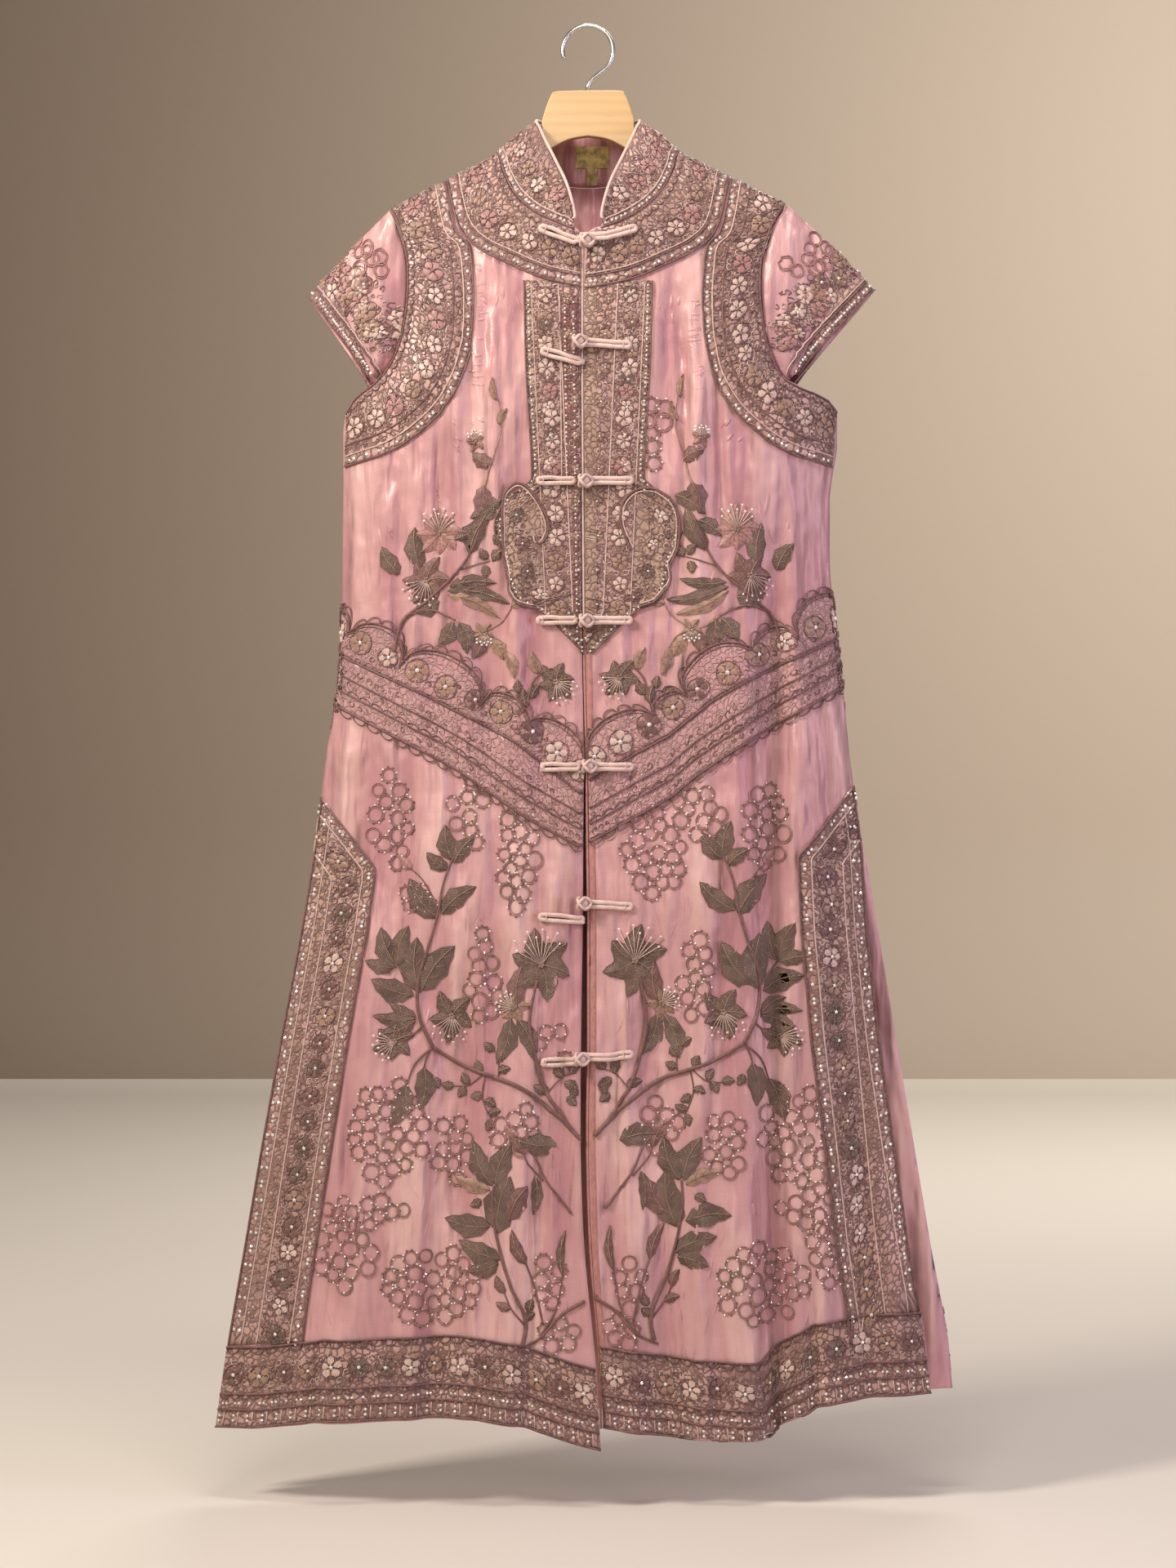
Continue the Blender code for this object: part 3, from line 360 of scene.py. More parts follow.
LEFT_FRONT_CREASES = [
    Fold(120, 128, -290, -520, 9, -4.6, False),
    Fold(104, 100, -262, -560, 9, 4.6, False),
    Fold(86, 92, -252, -460, 7, -4.2, False),
    Fold(74, 70, -420, -640, 8, 3.4, False),
    Fold(190, 196, -404, -640, 9, 4.6, False),
    Fold(216, 220, -430, -700, 9, -4.2, False),
    Fold(44, 40, -612, -760, 9, -3.4, False),
    Fold(112, 104, -760, -1100, 12, 4.6, False),
    Fold(30, 26, -790, -1200, 10, -4.6, False),
    Fold(236, 252, -700, -1040, 12, 4.9, False),
    Fold(200, 214, -900, -1345, 12, -5.7, True),
    Fold(100, 108, -1080, -1345, 15, 5.7, True),
    Fold(38, 44, -1100, -1345, 13, 4.9, True),
    Fold(282, 306, -1100, -1345, 13, 4.9, True),
]
BACK_CREASES = [
    Fold(-196, -214, -410, -760, 12, 4.6, False),
    Fold(-112, -104, -430, -800, 12, -4.9, False),
    Fold(-26, -22, -380, -640, 11, 4.2, False),
    Fold(66, 72, -400, -760, 12, -4.6, False),
    Fold(142, 150, -420, -700, 12, 4.9, False),
    Fold(204, 222, -440, -900, 12, -4.2, False),
    Fold(-240, -282, -820, -1345, 16, 5.7, True),
    Fold(-110, -124, -900, -1345, 15, -5.7, True),
    Fold(-14, -20, -860, -1345, 16, 5.3, True),
    Fold(76, 84, -920, -1345, 15, -5.3, True),
    Fold(160, 178, -980, -1345, 15, 5.7, True),
    Fold(244, 288, -860, -1345, 16, -5.3, True),
]

# Lines of the pointed band below the waist, from the middle of the front to the side
RIGHT_WAIST_UPPER = [
    Corner(-8, -728), Corner(-73, -677), Corner(-154, -636), Corner(-236, -597),
    Corner(-262, -585),
]
RIGHT_WAIST_LOWER = [
    Corner(-8, -779), Corner(-59, -752), Corner(-125, -706), Corner(-197, -668),
    Corner(-262, -634),
]
LEFT_WAIST_UPPER = [
    Corner(3, -716), Corner(38, -695), Corner(78, -673), Corner(115, -643), Corner(160, -617),
    Corner(264, -570),
]
LEFT_WAIST_LOWER = [
    Corner(3, -774), Corner(78, -733), Corner(104, -711), Corner(162, -673), Corner(235, -632),
    Corner(266, -617),
]


def eased(share):
    """Goes smoothly from 0 to 1."""
    share = min(1, max(0, share))
    return share * share * (3 - 2 * share)


def between(low, high, share):
    return low + (high - low) * share


def height_along(table, x):
    """The height at x on a line given by points, whichever way they run."""
    ordered = sorted(table, key=lambda point: point[0])
    if x <= ordered[0][0]:
        return ordered[0][1]
    for left, right in zip(ordered, ordered[1:]):
        if x <= right[0]:
            return between(left[1], right[1], (x - left[0]) / (right[0] - left[0]))
    return ordered[-1][1]


def through(a, b, c, d, t):
    """A value between b and c on a smooth curve through all four."""
    return 0.5 * (
        2 * b + (c - a) * t + (2 * a - 5 * b + 4 * c - d) * t**2 + (3 * b - a - 3 * c + d) * t**3
    )


def smooth_row(rows, place):
    """A row at a fractional place in a table, on a curve through its rows."""
    index = min(int(place), len(rows) - 2)
    t = place - index
    before = rows[max(index - 1, 0)]
    start, end = rows[index], rows[index + 1]
    after = rows[min(index + 2, len(rows) - 1)]
    values = []
    for a, b, c, d in zip(before, start, end, after):
        values.append(min(max(through(a, b, c, d, t), min(b, c)), max(b, c)))
    return type(start)(*values)


def fold_rise(folds, x, z):
    total = 0
    for fold in folds:
        along = (z - fold.z_top) / (fold.z_bottom - fold.z_top)
        if not 0 <= along <= 1:
            continue
        away = abs(x - between(fold.x_top, fold.x_bottom, along)) / fold.half_width
        if away >= 1:
            continue
        strength = eased(along / 0.3)
        if not fold.to_hem:
            strength *= eased((1 - along) / 0.3)
        total += fold.rise * strength * 0.5 * (1 + cos(pi * away))
    return total


def front_point(side, place, u):
    """A point of a front's inner face: its row's place in the table, and u from its middle edge
    to its side."""
    rows, hem, folds = FRONT_CUTS[side]
    row = smooth_row(rows, place)
    last = rows[-1]
    x = between(row.x_in, row.x_out, u)
    z = between(row.z_in, row.z_out, u)
    to_hem = max(0, (HEM_SHAPED_FROM - z) / (HEM_SHAPED_FROM - last.z_in))
    straight = between(last.z_in, last.z_out, u)
    z += (height_along(hem, between(last.x_in, last.x_out, u)) - straight) * min(1, to_hem) ** 2
    if u < 0.5:
        depth = between(row.y_in, row.y_mid, eased(2 * u))
    else:
        depth = between(row.y_mid, row.y_out, (2 * u - 1) ** SIDE_ROUNDING)
    depth += fold_rise(folds, x, z) * min(1, (1 - u) * 5)
    return Vector((x, -max(depth, HALF_SEAM), z)) * MM


def back_neckline(x):
    """Height and depth of the back's top edge at x: the shoulders, and the neck between them."""
    top = BACK[0]
    if x < 0:
        side, front = (top.x_right, top.z_right), RIGHT_FRONT
    else:
        side, front = (top.x_left, top.z_left), LEFT_FRONT
    neck_z = front[0].z_in
    across = abs(x) / BACK_NECK_HALF_WIDTH
    if across >= 1:
        share = (abs(x) - BACK_NECK_HALF_WIDTH) / (abs(side[0]) - BACK_NECK_HALF_WIDTH)
        return between(neck_z, side[1], share), HALF_SEAM
    dip = cos(across * pi / 2) ** 0.8
    return between(neck_z, BACK_NECK_BOTTOM, dip), max(BACK_NECK_DEPTH * dip, HALF_SEAM)


def back_point(place, across):
    """A point of the back's inner face, across from -1 at the right side to 1 at the left."""
    row, top = smooth_row(BACK, place), BACK[0]
    side = (across + 1) / 2
    u = abs(across)
    x = between(row.x_right, row.x_left, side)
    neck_z, neck_y = back_neckline(between(top.x_right, top.x_left, side))
    edge_z = between(row.z_right, row.z_left, side)
    z = edge_z + row.raised * (neck_z - between(top.z_right, top.z_left, side))
    z -= BACK_HEM_SAG * max(0, (HEM_SHAPED_FROM - z) / 200) * (1 - u * u)
    depth = between(row.y_mid, row.y_edge, u**SIDE_ROUNDING)
    depth += row.necked * max(0, neck_y - depth)
    depth += fold_rise(BACK_FOLDS + BACK_CREASES, x, z) * min(1, (1 - u) * 5)
    return Vector((x, max(depth, HALF_SEAM), z)) * MM


FRONT_CUTS = {
    "right": (RIGHT_FRONT, RIGHT_FRONT_HEM, RIGHT_FRONT_FOLDS + RIGHT_FRONT_CREASES),
    "left": (LEFT_FRONT, LEFT_FRONT_HEM, LEFT_FRONT_FOLDS + LEFT_FRONT_CREASES),
}


def fine_places(rows, step):
    """Places down a table of rows, about a step apart on the cloth."""
    places = []
    for index, (row, after) in enumerate(zip(rows, rows[1:])):
        drop = max(abs(row[1] - after[1]), abs(row[3] - after[3]))
        count = max(1, round(drop / step))
        places += [index + share / count for share in range(count)]
    return places + [len(rows) - 1.0]


def link(name, mesh):
    item = bpy.data.objects.new(name, mesh)
    bpy.context.scene.collection.objects.link(item)
    return item


def grid_mesh(name, grid, outward):
    """A sheet of four-sided faces through rows of points, facing outward, with its weave's
    coordinates measured along the cloth in metres."""
    columns = len(grid[0])
    corners = [point for row in grid for point in row]
    faces = []
    for row in range(len(grid) - 1):
        for column in range(columns - 1):
            first = row * columns + column
            faces.append((first, first + 1, first + columns + 1, first + columns))
    across = [[0.0] for _ in grid]
    for row, line in zip(grid, across):
        for before, point in zip(row, row[1:]):
            line.append(line[-1] + (point - before).length)
        middle = line[len(line) // 2]
        line[:] = [value - middle for value in line]
    down = [0.0]
    centre = columns // 2
    for before, row in zip(grid, grid[1:]):
        down.append(down[-1] + (row[centre] - before[centre]).length)
    place = [(value, -fall) for line, fall in zip(across, down) for value in line]
    mesh = bpy.data.meshes.new(name)
    mesh.from_pydata(corners, [], faces)
    layer = mesh.uv_layers.new(name="weave")
    for loop in mesh.loops:
        layer.data[loop.index].uv = place[loop.vertex_index]
    shape = bmesh.new()
    shape.from_mesh(mesh)
    shape.normal_update()
    facing = sum(
        face.normal.dot(outward(face.calc_center_median())) * face.calc_area() for face in shape.faces
    )
    if facing < 0:
        bmesh.ops.reverse_faces(shape, faces=shape.faces[:])
    for face in shape.faces:
        face.smooth = True
    shape.to_mesh(mesh)
    shape.free()
    return mesh


def only(item):
    """Makes this the one selected object, since operators act on all that is selected."""
    if bpy.context.mode != "OBJECT":
        bpy.ops.object.mode_set(mode="OBJECT")
    bpy.ops.object.select_all(action="DESELECT")
    item.select_set(True)
    bpy.context.view_layer.objects.active = item


def apply_modifiers(item):
    only(item)
    for modifier in list(item.modifiers):
        bpy.ops.object.modifier_apply(modifier=modifier.name)


def give_wall(item, wall):
    """Grows the sheet outward by its wall, and rounds nothing off."""
    solidify = item.modifiers.new("wall", "SOLIDIFY")
    solidify.thickness = wall * MM
    solidify.offset = 1
    solidify.use_even_offset = False
    apply_modifiers(item)


class Cloth:
    """A panel's sheet and its outer face, on which trims and needlework are laid."""

    def __init__(self, name, grid, outward, wall=CLOTH_WALL, facing=0):
        self.facing = facing
        self.mesh = grid_mesh(name, grid, outward)
        normals = [vertex.normal.copy() for vertex in self.mesh.vertices]
        self.outer = [v.co + n * wall * MM for v, n in zip(self.mesh.vertices, normals)]
        self.normals = normals
        self.columns = len(grid[0])
        self.rows = len(grid)
        self.tree = BVHTree.FromPolygons(self.outer, [tuple(f.vertices) for f in self.mesh.polygons])

    def lay(self, x, z, out=0.0):
        """A point on the outer face at x and z, moved out, and the way that face looks."""
        start = Vector((x, self.facing * 400, z)) * MM
        hit, normal, _, _ = self.tree.ray_cast(start, Vector((0, -self.facing, 0)))
        if hit is None:
            hit, normal, _, _ = self.tree.find_nearest(Vector((x, self.facing * 12, z)) * MM)
        if normal.y * self.facing < 0:
            normal = -normal
        if abs(normal.y) < 0.45:
            normal = Vector((normal.x, self.facing * 0.45, normal.z)).normalized()
        return hit + normal * out * MM, normal

    def on_grid(self, row, column, out=0.0):
        """The same by the sheet's own fractional row and column."""
        row = min(max(row, 0), self.rows - 1.001)
        column = min(max(column, 0), self.columns - 1.001)
        r, c = int(row), int(column)
        s, t = row - r, column - c
        first = r * self.columns + c
        corners = (first, first + 1, first + self.columns, first + self.columns + 1)
        shares = ((1 - s) * (1 - t), (1 - s) * t, s * (1 - t), s * t)
        place = sum((self.outer[k] * w for k, w in zip(corners, shares)), Vector())
        normal = sum((self.normals[k] * w for k, w in zip(corners, shares)), Vector()).normalized()
        return place + normal * out * MM, normal


CLOTHS = {}


def cloth(name):
    if name not in CLOTHS:
        raise RuntimeError(f"{name} isn't laid yet: its panel comes before its trims")
    return CLOTHS[name]


class Needlework:
    """Gathers cords, petals, leaves, rings and beads into one mesh, each with its own thread."""

    def __init__(self, threads):
        self.threads = threads
        self.corners, self.faces, self.kinds, self.places = [], [], [], []

    def add(self, corners, faces, thread, places=None, looks=None):
        if looks is not None:
            faces = [self.faced(corners, face, looks) for face in faces]
        first = len(self.corners)
        self.corners += corners
        self.places += places or [(point.x, point.z) for point in corners]
        self.faces += [tuple(first + corner for corner in face) for face in faces]
        self.kinds += [self.threads.index(thread)] * len(faces)

    @staticmethod
    def faced(corners, face, looks):
        """The face, turned so that it looks the way the cloth under it looks."""
        first, second, third = (corners[k] for k in face[:3])
        return face if (second - first).cross(third - first).dot(looks) >= 0 else face[::-1]

    def cord(self, laid, radius, thread, sides=4, closed=False, ends=True):
        """A round cord through points that come with the way the cloth looks under them."""
        count = len(laid)
        if count < 2:
            return
        corners, places, run = [], [], 0.0
        for index, (point, normal) in enumerate(laid):
            before = laid[index - 1][0] if index or closed else point
            after = laid[(index + 1) % count][0] if index < count - 1 or closed else point
            along = after - before
            run += (point - laid[index - 1][0]).length if index else 0
            if along.length < 1e-9:
                along = Vector((1, 0, 0))
            side = along.normalized().cross(normal).normalized()
            up = side.cross(along.normalized()).normalized()
            size = radius(index / (count - 1)) if callable(radius) else radius
            for step in range(sides):
                turn = 2 * pi * (step + 0.5) / sides
                corners.append(point + (side * cos(turn) + up * sin(turn)) * size * MM)
                places.append((run, step / sides * 2 * pi * size * MM))
        faces = []
        for index in range(count if closed else count - 1):
            for step in range(sides):
                a, b = index * sides + step, index * sides + (step + 1) % sides
                c, d = (b + sides) % (count * sides), (a + sides) % (count * sides)
                faces.append((a, d, c, b))
        if not closed and ends:
            faces.append(tuple(range(sides)))
            faces.append(tuple(range(count * sides - 1, (count - 1) * sides - 1, -1)))
        self.add(corners, faces, thread, places)

    def bead(self, point, normal, radius, thread="bead", turn=0.0):
        """A small cut bead of ten sides."""
        side = normal.cross(Vector((0.3, 0.2, 1))).normalized()
        up = side.cross(normal)
        corners = [point + normal * radius * MM, point - normal * radius * 0.6 * MM]
        for step in range(5):
            angle = turn + 2 * pi * step / 5
            corners.append(point + (side * cos(angle) + up * sin(angle)) * radius * MM)
        faces = [(0, 2 + (k + 1) % 5, 2 + k) for k in range(5)]
        faces += [(1, 2 + k, 2 + (k + 1) % 5) for k in range(5)]
        self.add(corners, faces, thread)

    def build(self, name):
        mesh = bpy.data.meshes.new(name)
        mesh.from_pydata(self.corners, [], self.faces)
        for thread in self.threads:
            mesh.materials.append(bpy.data.materials[THREADS[thread]])
        layer = mesh.uv_layers.new(name="weave")
        for loop in mesh.loops:
            layer.data[loop.index].uv = self.places[loop.vertex_index]
        bead_index = self.threads.index("bead") if "bead" in self.threads else -1
        for face, kind in zip(mesh.polygons, self.kinds):
            face.material_index = kind
            face.use_smooth = kind != bead_index
        mesh.validate()
        item = link(name, mesh)
        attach(item, ROOT)
        return item


def curved(points, step):
    """A smooth line through points (x, z) in millimetres, sampled about a step apart."""
    line = []
    for index in range(len(points) - 1):
        a = points[max(index - 1, 0)]
        b, c = points[index], points[index + 1]
        d = points[min(index + 2, len(points) - 1)]
        count = max(1, ceil(hypot(c[0] - b[0], c[1] - b[1]) / step))
        for share in range(count):
            t = share / count
            line.append(tuple(through(*four, t) for four in zip(a, b, c, d)))
    return line + [tuple(points[-1])]


def resampled(points, count):
    """The same line as evenly spaced points."""
    runs = [0.0]
    for a, b in zip(points, points[1:]):
        runs.append(runs[-1] + hypot(b[0] - a[0], b[1] - a[1]))
    line, index = [], 0
    for step in range(count):
        want = runs[-1] * step / (count - 1)
        while index < len(points) - 2 and runs[index + 1] < want:
            index += 1
        length = runs[index + 1] - runs[index]
        t = (want - runs[index]) / length if length else 0
        line.append(tuple(between(a, b, t) for a, b in zip(points[index], points[index + 1])))
    return line


class Band:
    """A strip of lace between an inner and an outer line, measured along it and across it."""

    def __init__(self, inner, outer, count=160):
        self.inner, self.outer = resampled(inner, count), resampled(outer, count)
        self.count = count
        self.runs = [0.0]
        for index in range(1, count):
            a, b = self.middle(index - 1), self.middle(index)
            self.runs.append(self.runs[-1] + hypot(b[0] - a[0], b[1] - a[1]))
        self.length = self.runs[-1]

    def middle(self, index):
        return tuple((a + b) / 2 for a, b in zip(self.inner[index], self.outer[index]))

    def ends_at(self, run):
        """The inner and the outer point at a distance along the band."""
        run = min(max(run, 0), self.length)
        low, high = 0, self.count - 1
        while high - low > 1:
            mid = (low + high) // 2
            low, high = (mid, high) if self.runs[mid] <= run else (low, mid)
        span = self.runs[high] - self.runs[low]
        t = (run - self.runs[low]) / span if span else 0
        inner = tuple(between(a, b, t) for a, b in zip(self.inner[low], self.inner[high]))
        outer = tuple(between(a, b, t) for a, b in zip(self.outer[low], self.outer[high]))
        return inner, outer

    def width_at(self, run):
        inner, outer = self.ends_at(run)
        return hypot(inner[0] - outer[0], inner[1] - outer[1])


def band_grid(panel, band, out, step, steps_across):
    """Rows of laid points over a band, from its outer to its inner line."""
    count = max(2, ceil(band.length / step))
    grid = []
    for index in range(count + 1):
        inner, outer = band.ends_at(band.length * index / count)
        grid.append([
            panel.lay(*(between(o, i, k / steps_across) for i, o in zip(inner, outer)), out)[0]
            for k in range(steps_across + 1)
        ])
    return grid


# What lies along a band of lace. Kinds: cord, scallop and scallop_in (which bulges the other way),
# beads, bead_pairs, bars, flowers, curls. inset is in from the outer line, or out from the inner
# one if negative; size and pitch are in millimetres.
Trim = namedtuple("Trim", "kind inset pitch size thread")
YOKE_TRIMS = [
    Trim("cord", 0.6, 0, 1.1, "dark"),
    Trim("beads", 5.5, 13, 1.7, "bead"),
    Trim("cord", 10.5, 0, 0.8, "dark"),
    Trim("cord", 13, 0, 0.7, "pale"),
    Trim("flowers", 29, 21, 8.5, "pale"),
    Trim("curls", 28, 6.4, 15, "mixed"),
    Trim("scallop", -3, 10, 3.4, "dark"),
]
ARMHOLE_TRIMS = [
    Trim("cord", 0.6, 0, 1.1, "dark"),
    Trim("beads", 5, 12, 1.7, "bead"),
    Trim("cord", 10, 0, 0.8, "pale"),
    Trim("cord", 20, 0, 0.8, "dark"),
    Trim("curls", 15, 8, 3.5, "dark"),
    Trim("flowers", 36, 23, 9.5, "pale"),
    Trim("curls", 37, 6.4, 16, "mixed"),
    Trim("scallop", -4, 11, 3.6, "dark"),
    Trim("cord", -1.2, 0, 1.0, "dark"),
]
PLACKET_TRIMS = [
    Trim("cord", 0.8, 0, 0.9, "dark"),
    Trim("curls", 16, 6.2, 15, "mixed"),
    Trim("flowers", 20, 26, 6.5, "leafy"),
    Trim("beads", 4.5, 8, 1.2, "bead"),
]
WAIST_TRIMS = [
    Trim("cord", 0.4, 0, 1.25, "dark"),
    Trim("scallop", 0.4, 14.6, 6.2, "dark"),
    Trim("curls", 9, 8, 3.5, "mixed"),
    Trim("cord", 17, 0, 1.1, "dark"),
    Trim("scallop_in", 17, 13, 4.6, "dark"),
    Trim("curls", 26, 9, 2.5, "mixed"),
    Trim("cord", 32, 0, 1.1, "dark"),
    Trim("curls", 39, 8, 4, "mixed"),
    Trim("cord", -0.4, 0, 1.2, "dark"),
]
HIP_TRIMS = [
    Trim("cord", 0.6, 0, 1.3, "dark"),
    Trim("beads", 6.5, 15, 1.8, "bead"),
    Trim("cord", 12.5, 0, 0.8, "pale"),
    Trim("flowers", 28, 25, 9.5, "leafy"),
    Trim("curls", 28, 6.6, 14, "mixed"),
    Trim("cord", 43.5, 0, 0.8, "pale"),
    Trim("curls", 50, 9, 4.5, "gold"),
    Trim("bead_pairs", -7, 16, 1.8, "bead"),
    Trim("cord", -13, 0, 0.8, "pale"),
    Trim("cord", -1.4, 0, 1.1, "dark"),
]
HEM_TRIMS = [
    Trim("cord", 0.4, 0, 1.3, "dark"),
    Trim("scallop_in", 1, 13, 6, "dark"),
    Trim("flowers", 27, 24, 9.5, "leafy"),
    Trim("curls", 27, 6.6, 14, "mixed"),
    Trim("cord", 45, 0, 1.2, "dark"),
    Trim("scallop_in", 45.6, 10, 4.2, "dark"),
    Trim("beads", 54, 12, 1.5, "bead"),
    Trim("cord", 60, 0, 1.2, "dark"),
    Trim("bars", 68, 14, 6, "pale"),
    Trim("cord", -1.2, 0, 1.2, "dark"),
]
COLLAR_TRIMS = [
    Trim("cord", 8, 0, 0.8, "pale"),
    Trim("beads", 4.2, 9, 1.5, "bead"),
    Trim("flowers", 24, 22, 8.5, "pale"),
    Trim("curls", 24, 6.4, 15, "mixed"),
    Trim("cord", 0.9, 0, 1.1, "dark"),
]


def threaded(laid_at, needles, trim, length, rng):
    """Works one line of trim along a band. laid_at(run, inset, out) gives a laid point."""
    step = 4.0
    count = max(2, ceil(length / step))
    if trim.kind == "cord":
        line = [laid_at(length * k / count, trim.inset, trim.size * 0.5) for k in range(count + 1)]
        needles.cord(line, trim.size, trim.thread)
    elif trim.kind in ("scallop", "scallop_in"):
        swags = max(1, round(length / trim.pitch))
        hang = trim.size * (1 if trim.kind == "scallop_in" else -1)
        for swag in range(swags):
            line = []
            for k in range(9):
                run = length * (swag + k / 8) / swags
                drop = hang * sqrt(max(0, 1 - (k / 4 - 1) ** 2))
                line.append(laid_at(run, trim.inset, 0.4, drop))
            needles.cord(line, 0.7, trim.thread, sides=3, ends=False)
    elif trim.kind in ("beads", "bead_pairs", "bars"):
        places = max(1, round(length / trim.pitch))
        for place in range(places):
            run = length * (place + 0.5) / places
            if trim.kind == "bars":
                line = [laid_at(run, trim.inset + shift, 0.4) for shift in (-trim.size, 0, trim.size)]
                needles.cord(line, 0.8, trim.thread, sides=3)
                shifts = ((4.6, -2.4), (4.6, 2.4))
            elif trim.kind == "bead_pairs":
                shifts = ((-2.2, 0), (2.2, 0)) if place % 2 else ((0, -2.6), (0, 2.6))
            else:
                shifts = ((-1.9, 0), (1.9, 0)) if place % 3 else ((0, 0),)
            for along, across in shifts:
                point, normal = laid_at(run + along, trim.inset + across, 0.5)
                size = trim.size if trim.kind != "bars" else 1.5
                needles.bead(point, normal, size, "bead", rng.uniform(0, 1))
    elif trim.kind == "flowers":
        places = max(1, round(length / trim.pitch))
        for place in range(places):
            run = length * (place + 0.5) / places + rng.uniform(-1.5, 1.5)
            inset = trim.inset + rng.uniform(-2, 2)
            blossom(laid_at, needles, run, inset, trim.size * rng.uniform(0.85, 1.1), rng, trim.thread)
    elif trim.kind == "curls":
        rows = max(1, round(2 * trim.size / trim.pitch))
        for row in range(rows):
            inset = trim.inset + (row + 0.5 - rows / 2) * trim.pitch
            places = max(1, round(length / trim.pitch))
            for place in range(places):
                run = length * (place + rng.uniform(0.2, 0.8)) / places
                across = inset + rng.uniform(-1.6, 1.6)
                curl(laid_at, needles, run, across, rng.uniform(2.4, 3.8), rng, trim.thread)


def curl(laid_at, needles, run, inset, size, rng, thread):
    """A small scroll of thread that winds inward."""
    if thread == "mixed":
        thread = rng.choice(("dark", "dark", "pale", "pale", "gold"))
    turn, hand = rng.uniform(0, 2 * pi), rng.choice((-1, 1))
    line = []
    for k in range(8):
        angle = turn + hand * k * 0.72
        reach = size * (1 - k / 11)
        line.append(laid_at(run + reach * cos(angle), inset + reach * sin(angle), 0.3))
    needles.cord(line, 0.55, thread, sides=3, ends=False)


def blossom(laid_at, needles, run, inset, size, rng, thread):
    """A raised lace flower: petals round a knotted middle, edged in dark thread."""
    petals = rng.choice((5, 6)) if thread == "pale" else 5
    turn = rng.uniform(0, pi)
    choices = {"pale": ("pale", "pale", "gold", "blush"), "leafy": ("leaf", "dark", "pale", "gold")}
    petal_thread = rng.choice(choices.get(thread, (thread,)))
    whole = size
    for petal in range(petals):
        angle = turn + 2 * pi * petal / petals + rng.uniform(-0.12, 0.12)
        size = whole * rng.uniform(0.82, 1.08)
        spread = pi / petals * 0.92
        outline = [
            (0.18, 0), (0.62, -spread * 0.9), (0.92, -spread * 0.55),
            (1.0, 0), (0.92, spread * 0.55), (0.62, spread * 0.9),
        ]
        corners = []
        for reach, swing in outline:
            a = angle + swing
            out = 1.5 if reach < 0.5 else 0.7
            corners.append(laid_at(run + size * reach * cos(a), inset + size * reach * sin(a), out)[0])
        mid, looks = laid_at(run + size * 0.62 * cos(angle), inset + size * 0.62 * sin(angle), 1.7)
        corners.append(mid)
        rim = len(outline)
        needles.add(corners, [(k, (k + 1) % rim, rim) for k in range(rim)], petal_thread, looks=looks)
    size = whole
    ring = [
        laid_at(run + size * cos(a) * (1 + 0.06 * sin(3 * a)), inset + size * sin(a), 0.5)
        for a in (turn + 2 * pi * k / 14 for k in range(14))
    ]
    needles.cord(ring, 0.55, "dark", sides=3, closed=True)
    point, normal = laid_at(run, inset, 1.4)
    needles.bead(point, normal, size * 0.2, "gold" if thread == "pale" else "bead")


def laid_on_panel(panel, band, lift):
    def laid_at(run, inset, out, shift=0.0):
        inner, outer = band.ends_at(min(max(run, 0), band.length))
        width = max(1e-6, hypot(inner[0] - outer[0], inner[1] - outer[1]))
        share = ((width + inset if inset < 0 else inset) + shift) / width
        if not shift:
            share = min(1, max(0, share))
        x, z = (between(o, i, share) for i, o in zip(inner, outer))
        return panel.lay(x, z, out + lift)
    return laid_at


THREAD_ORDER = ["dark", "pale", "gold", "bead", "leaf", "branch", "blush"]
LIFT = SEAM_GAP + LACE_WALL


def lay_band(
    panel, name, node, band, trims, seed, step=5.0, across=None,
    finish="Lace over silk", out=SEAM_GAP, wall=LACE_WALL,
):
    """Lays one strip of lace and its trims, in place of the solid strip."""
    width = max(band.width_at(band.length * share) for share in (0.1, 0.5, 0.9))
    grid = band_grid(panel, band, out, step, across or max(3, ceil(width / step)))
    mesh = grid_mesh(name, grid, lambda place: Vector((0, panel.facing, 0)))
    item = link(name, mesh)
    mesh.materials.append(bpy.data.materials[finish])
    give_wall(item, wall)
    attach(item, ROOT)
    if node:
        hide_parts(node)
    made = [item]
    if trims:
        rng = random.Random(seed)
        needles = Needlework(THREAD_ORDER)
        laid_at = laid_on_panel(panel, band, LIFT)
        for trim in trims:
            threaded(laid_at, needles, trim, band.length, rng)
        worked = needles.build(name + "_threads")
        made.append(worked)
    return made


def side_x(rows, z):
    """Where a panel's side edge is at a height."""
    edge = [Corner(row.z_out, row.x_out) for row in rows[ARMHOLE_ROWS:]]
    return height_along(edge, z)


def seam_line(point_at, low, high, count=40):
    """x and z in millimetres along a seam, by a function of its place."""
    return [
        ((p := point_at(between(low, high, k / count))).x / MM, p.z / MM) for k in range(count + 1)
    ]


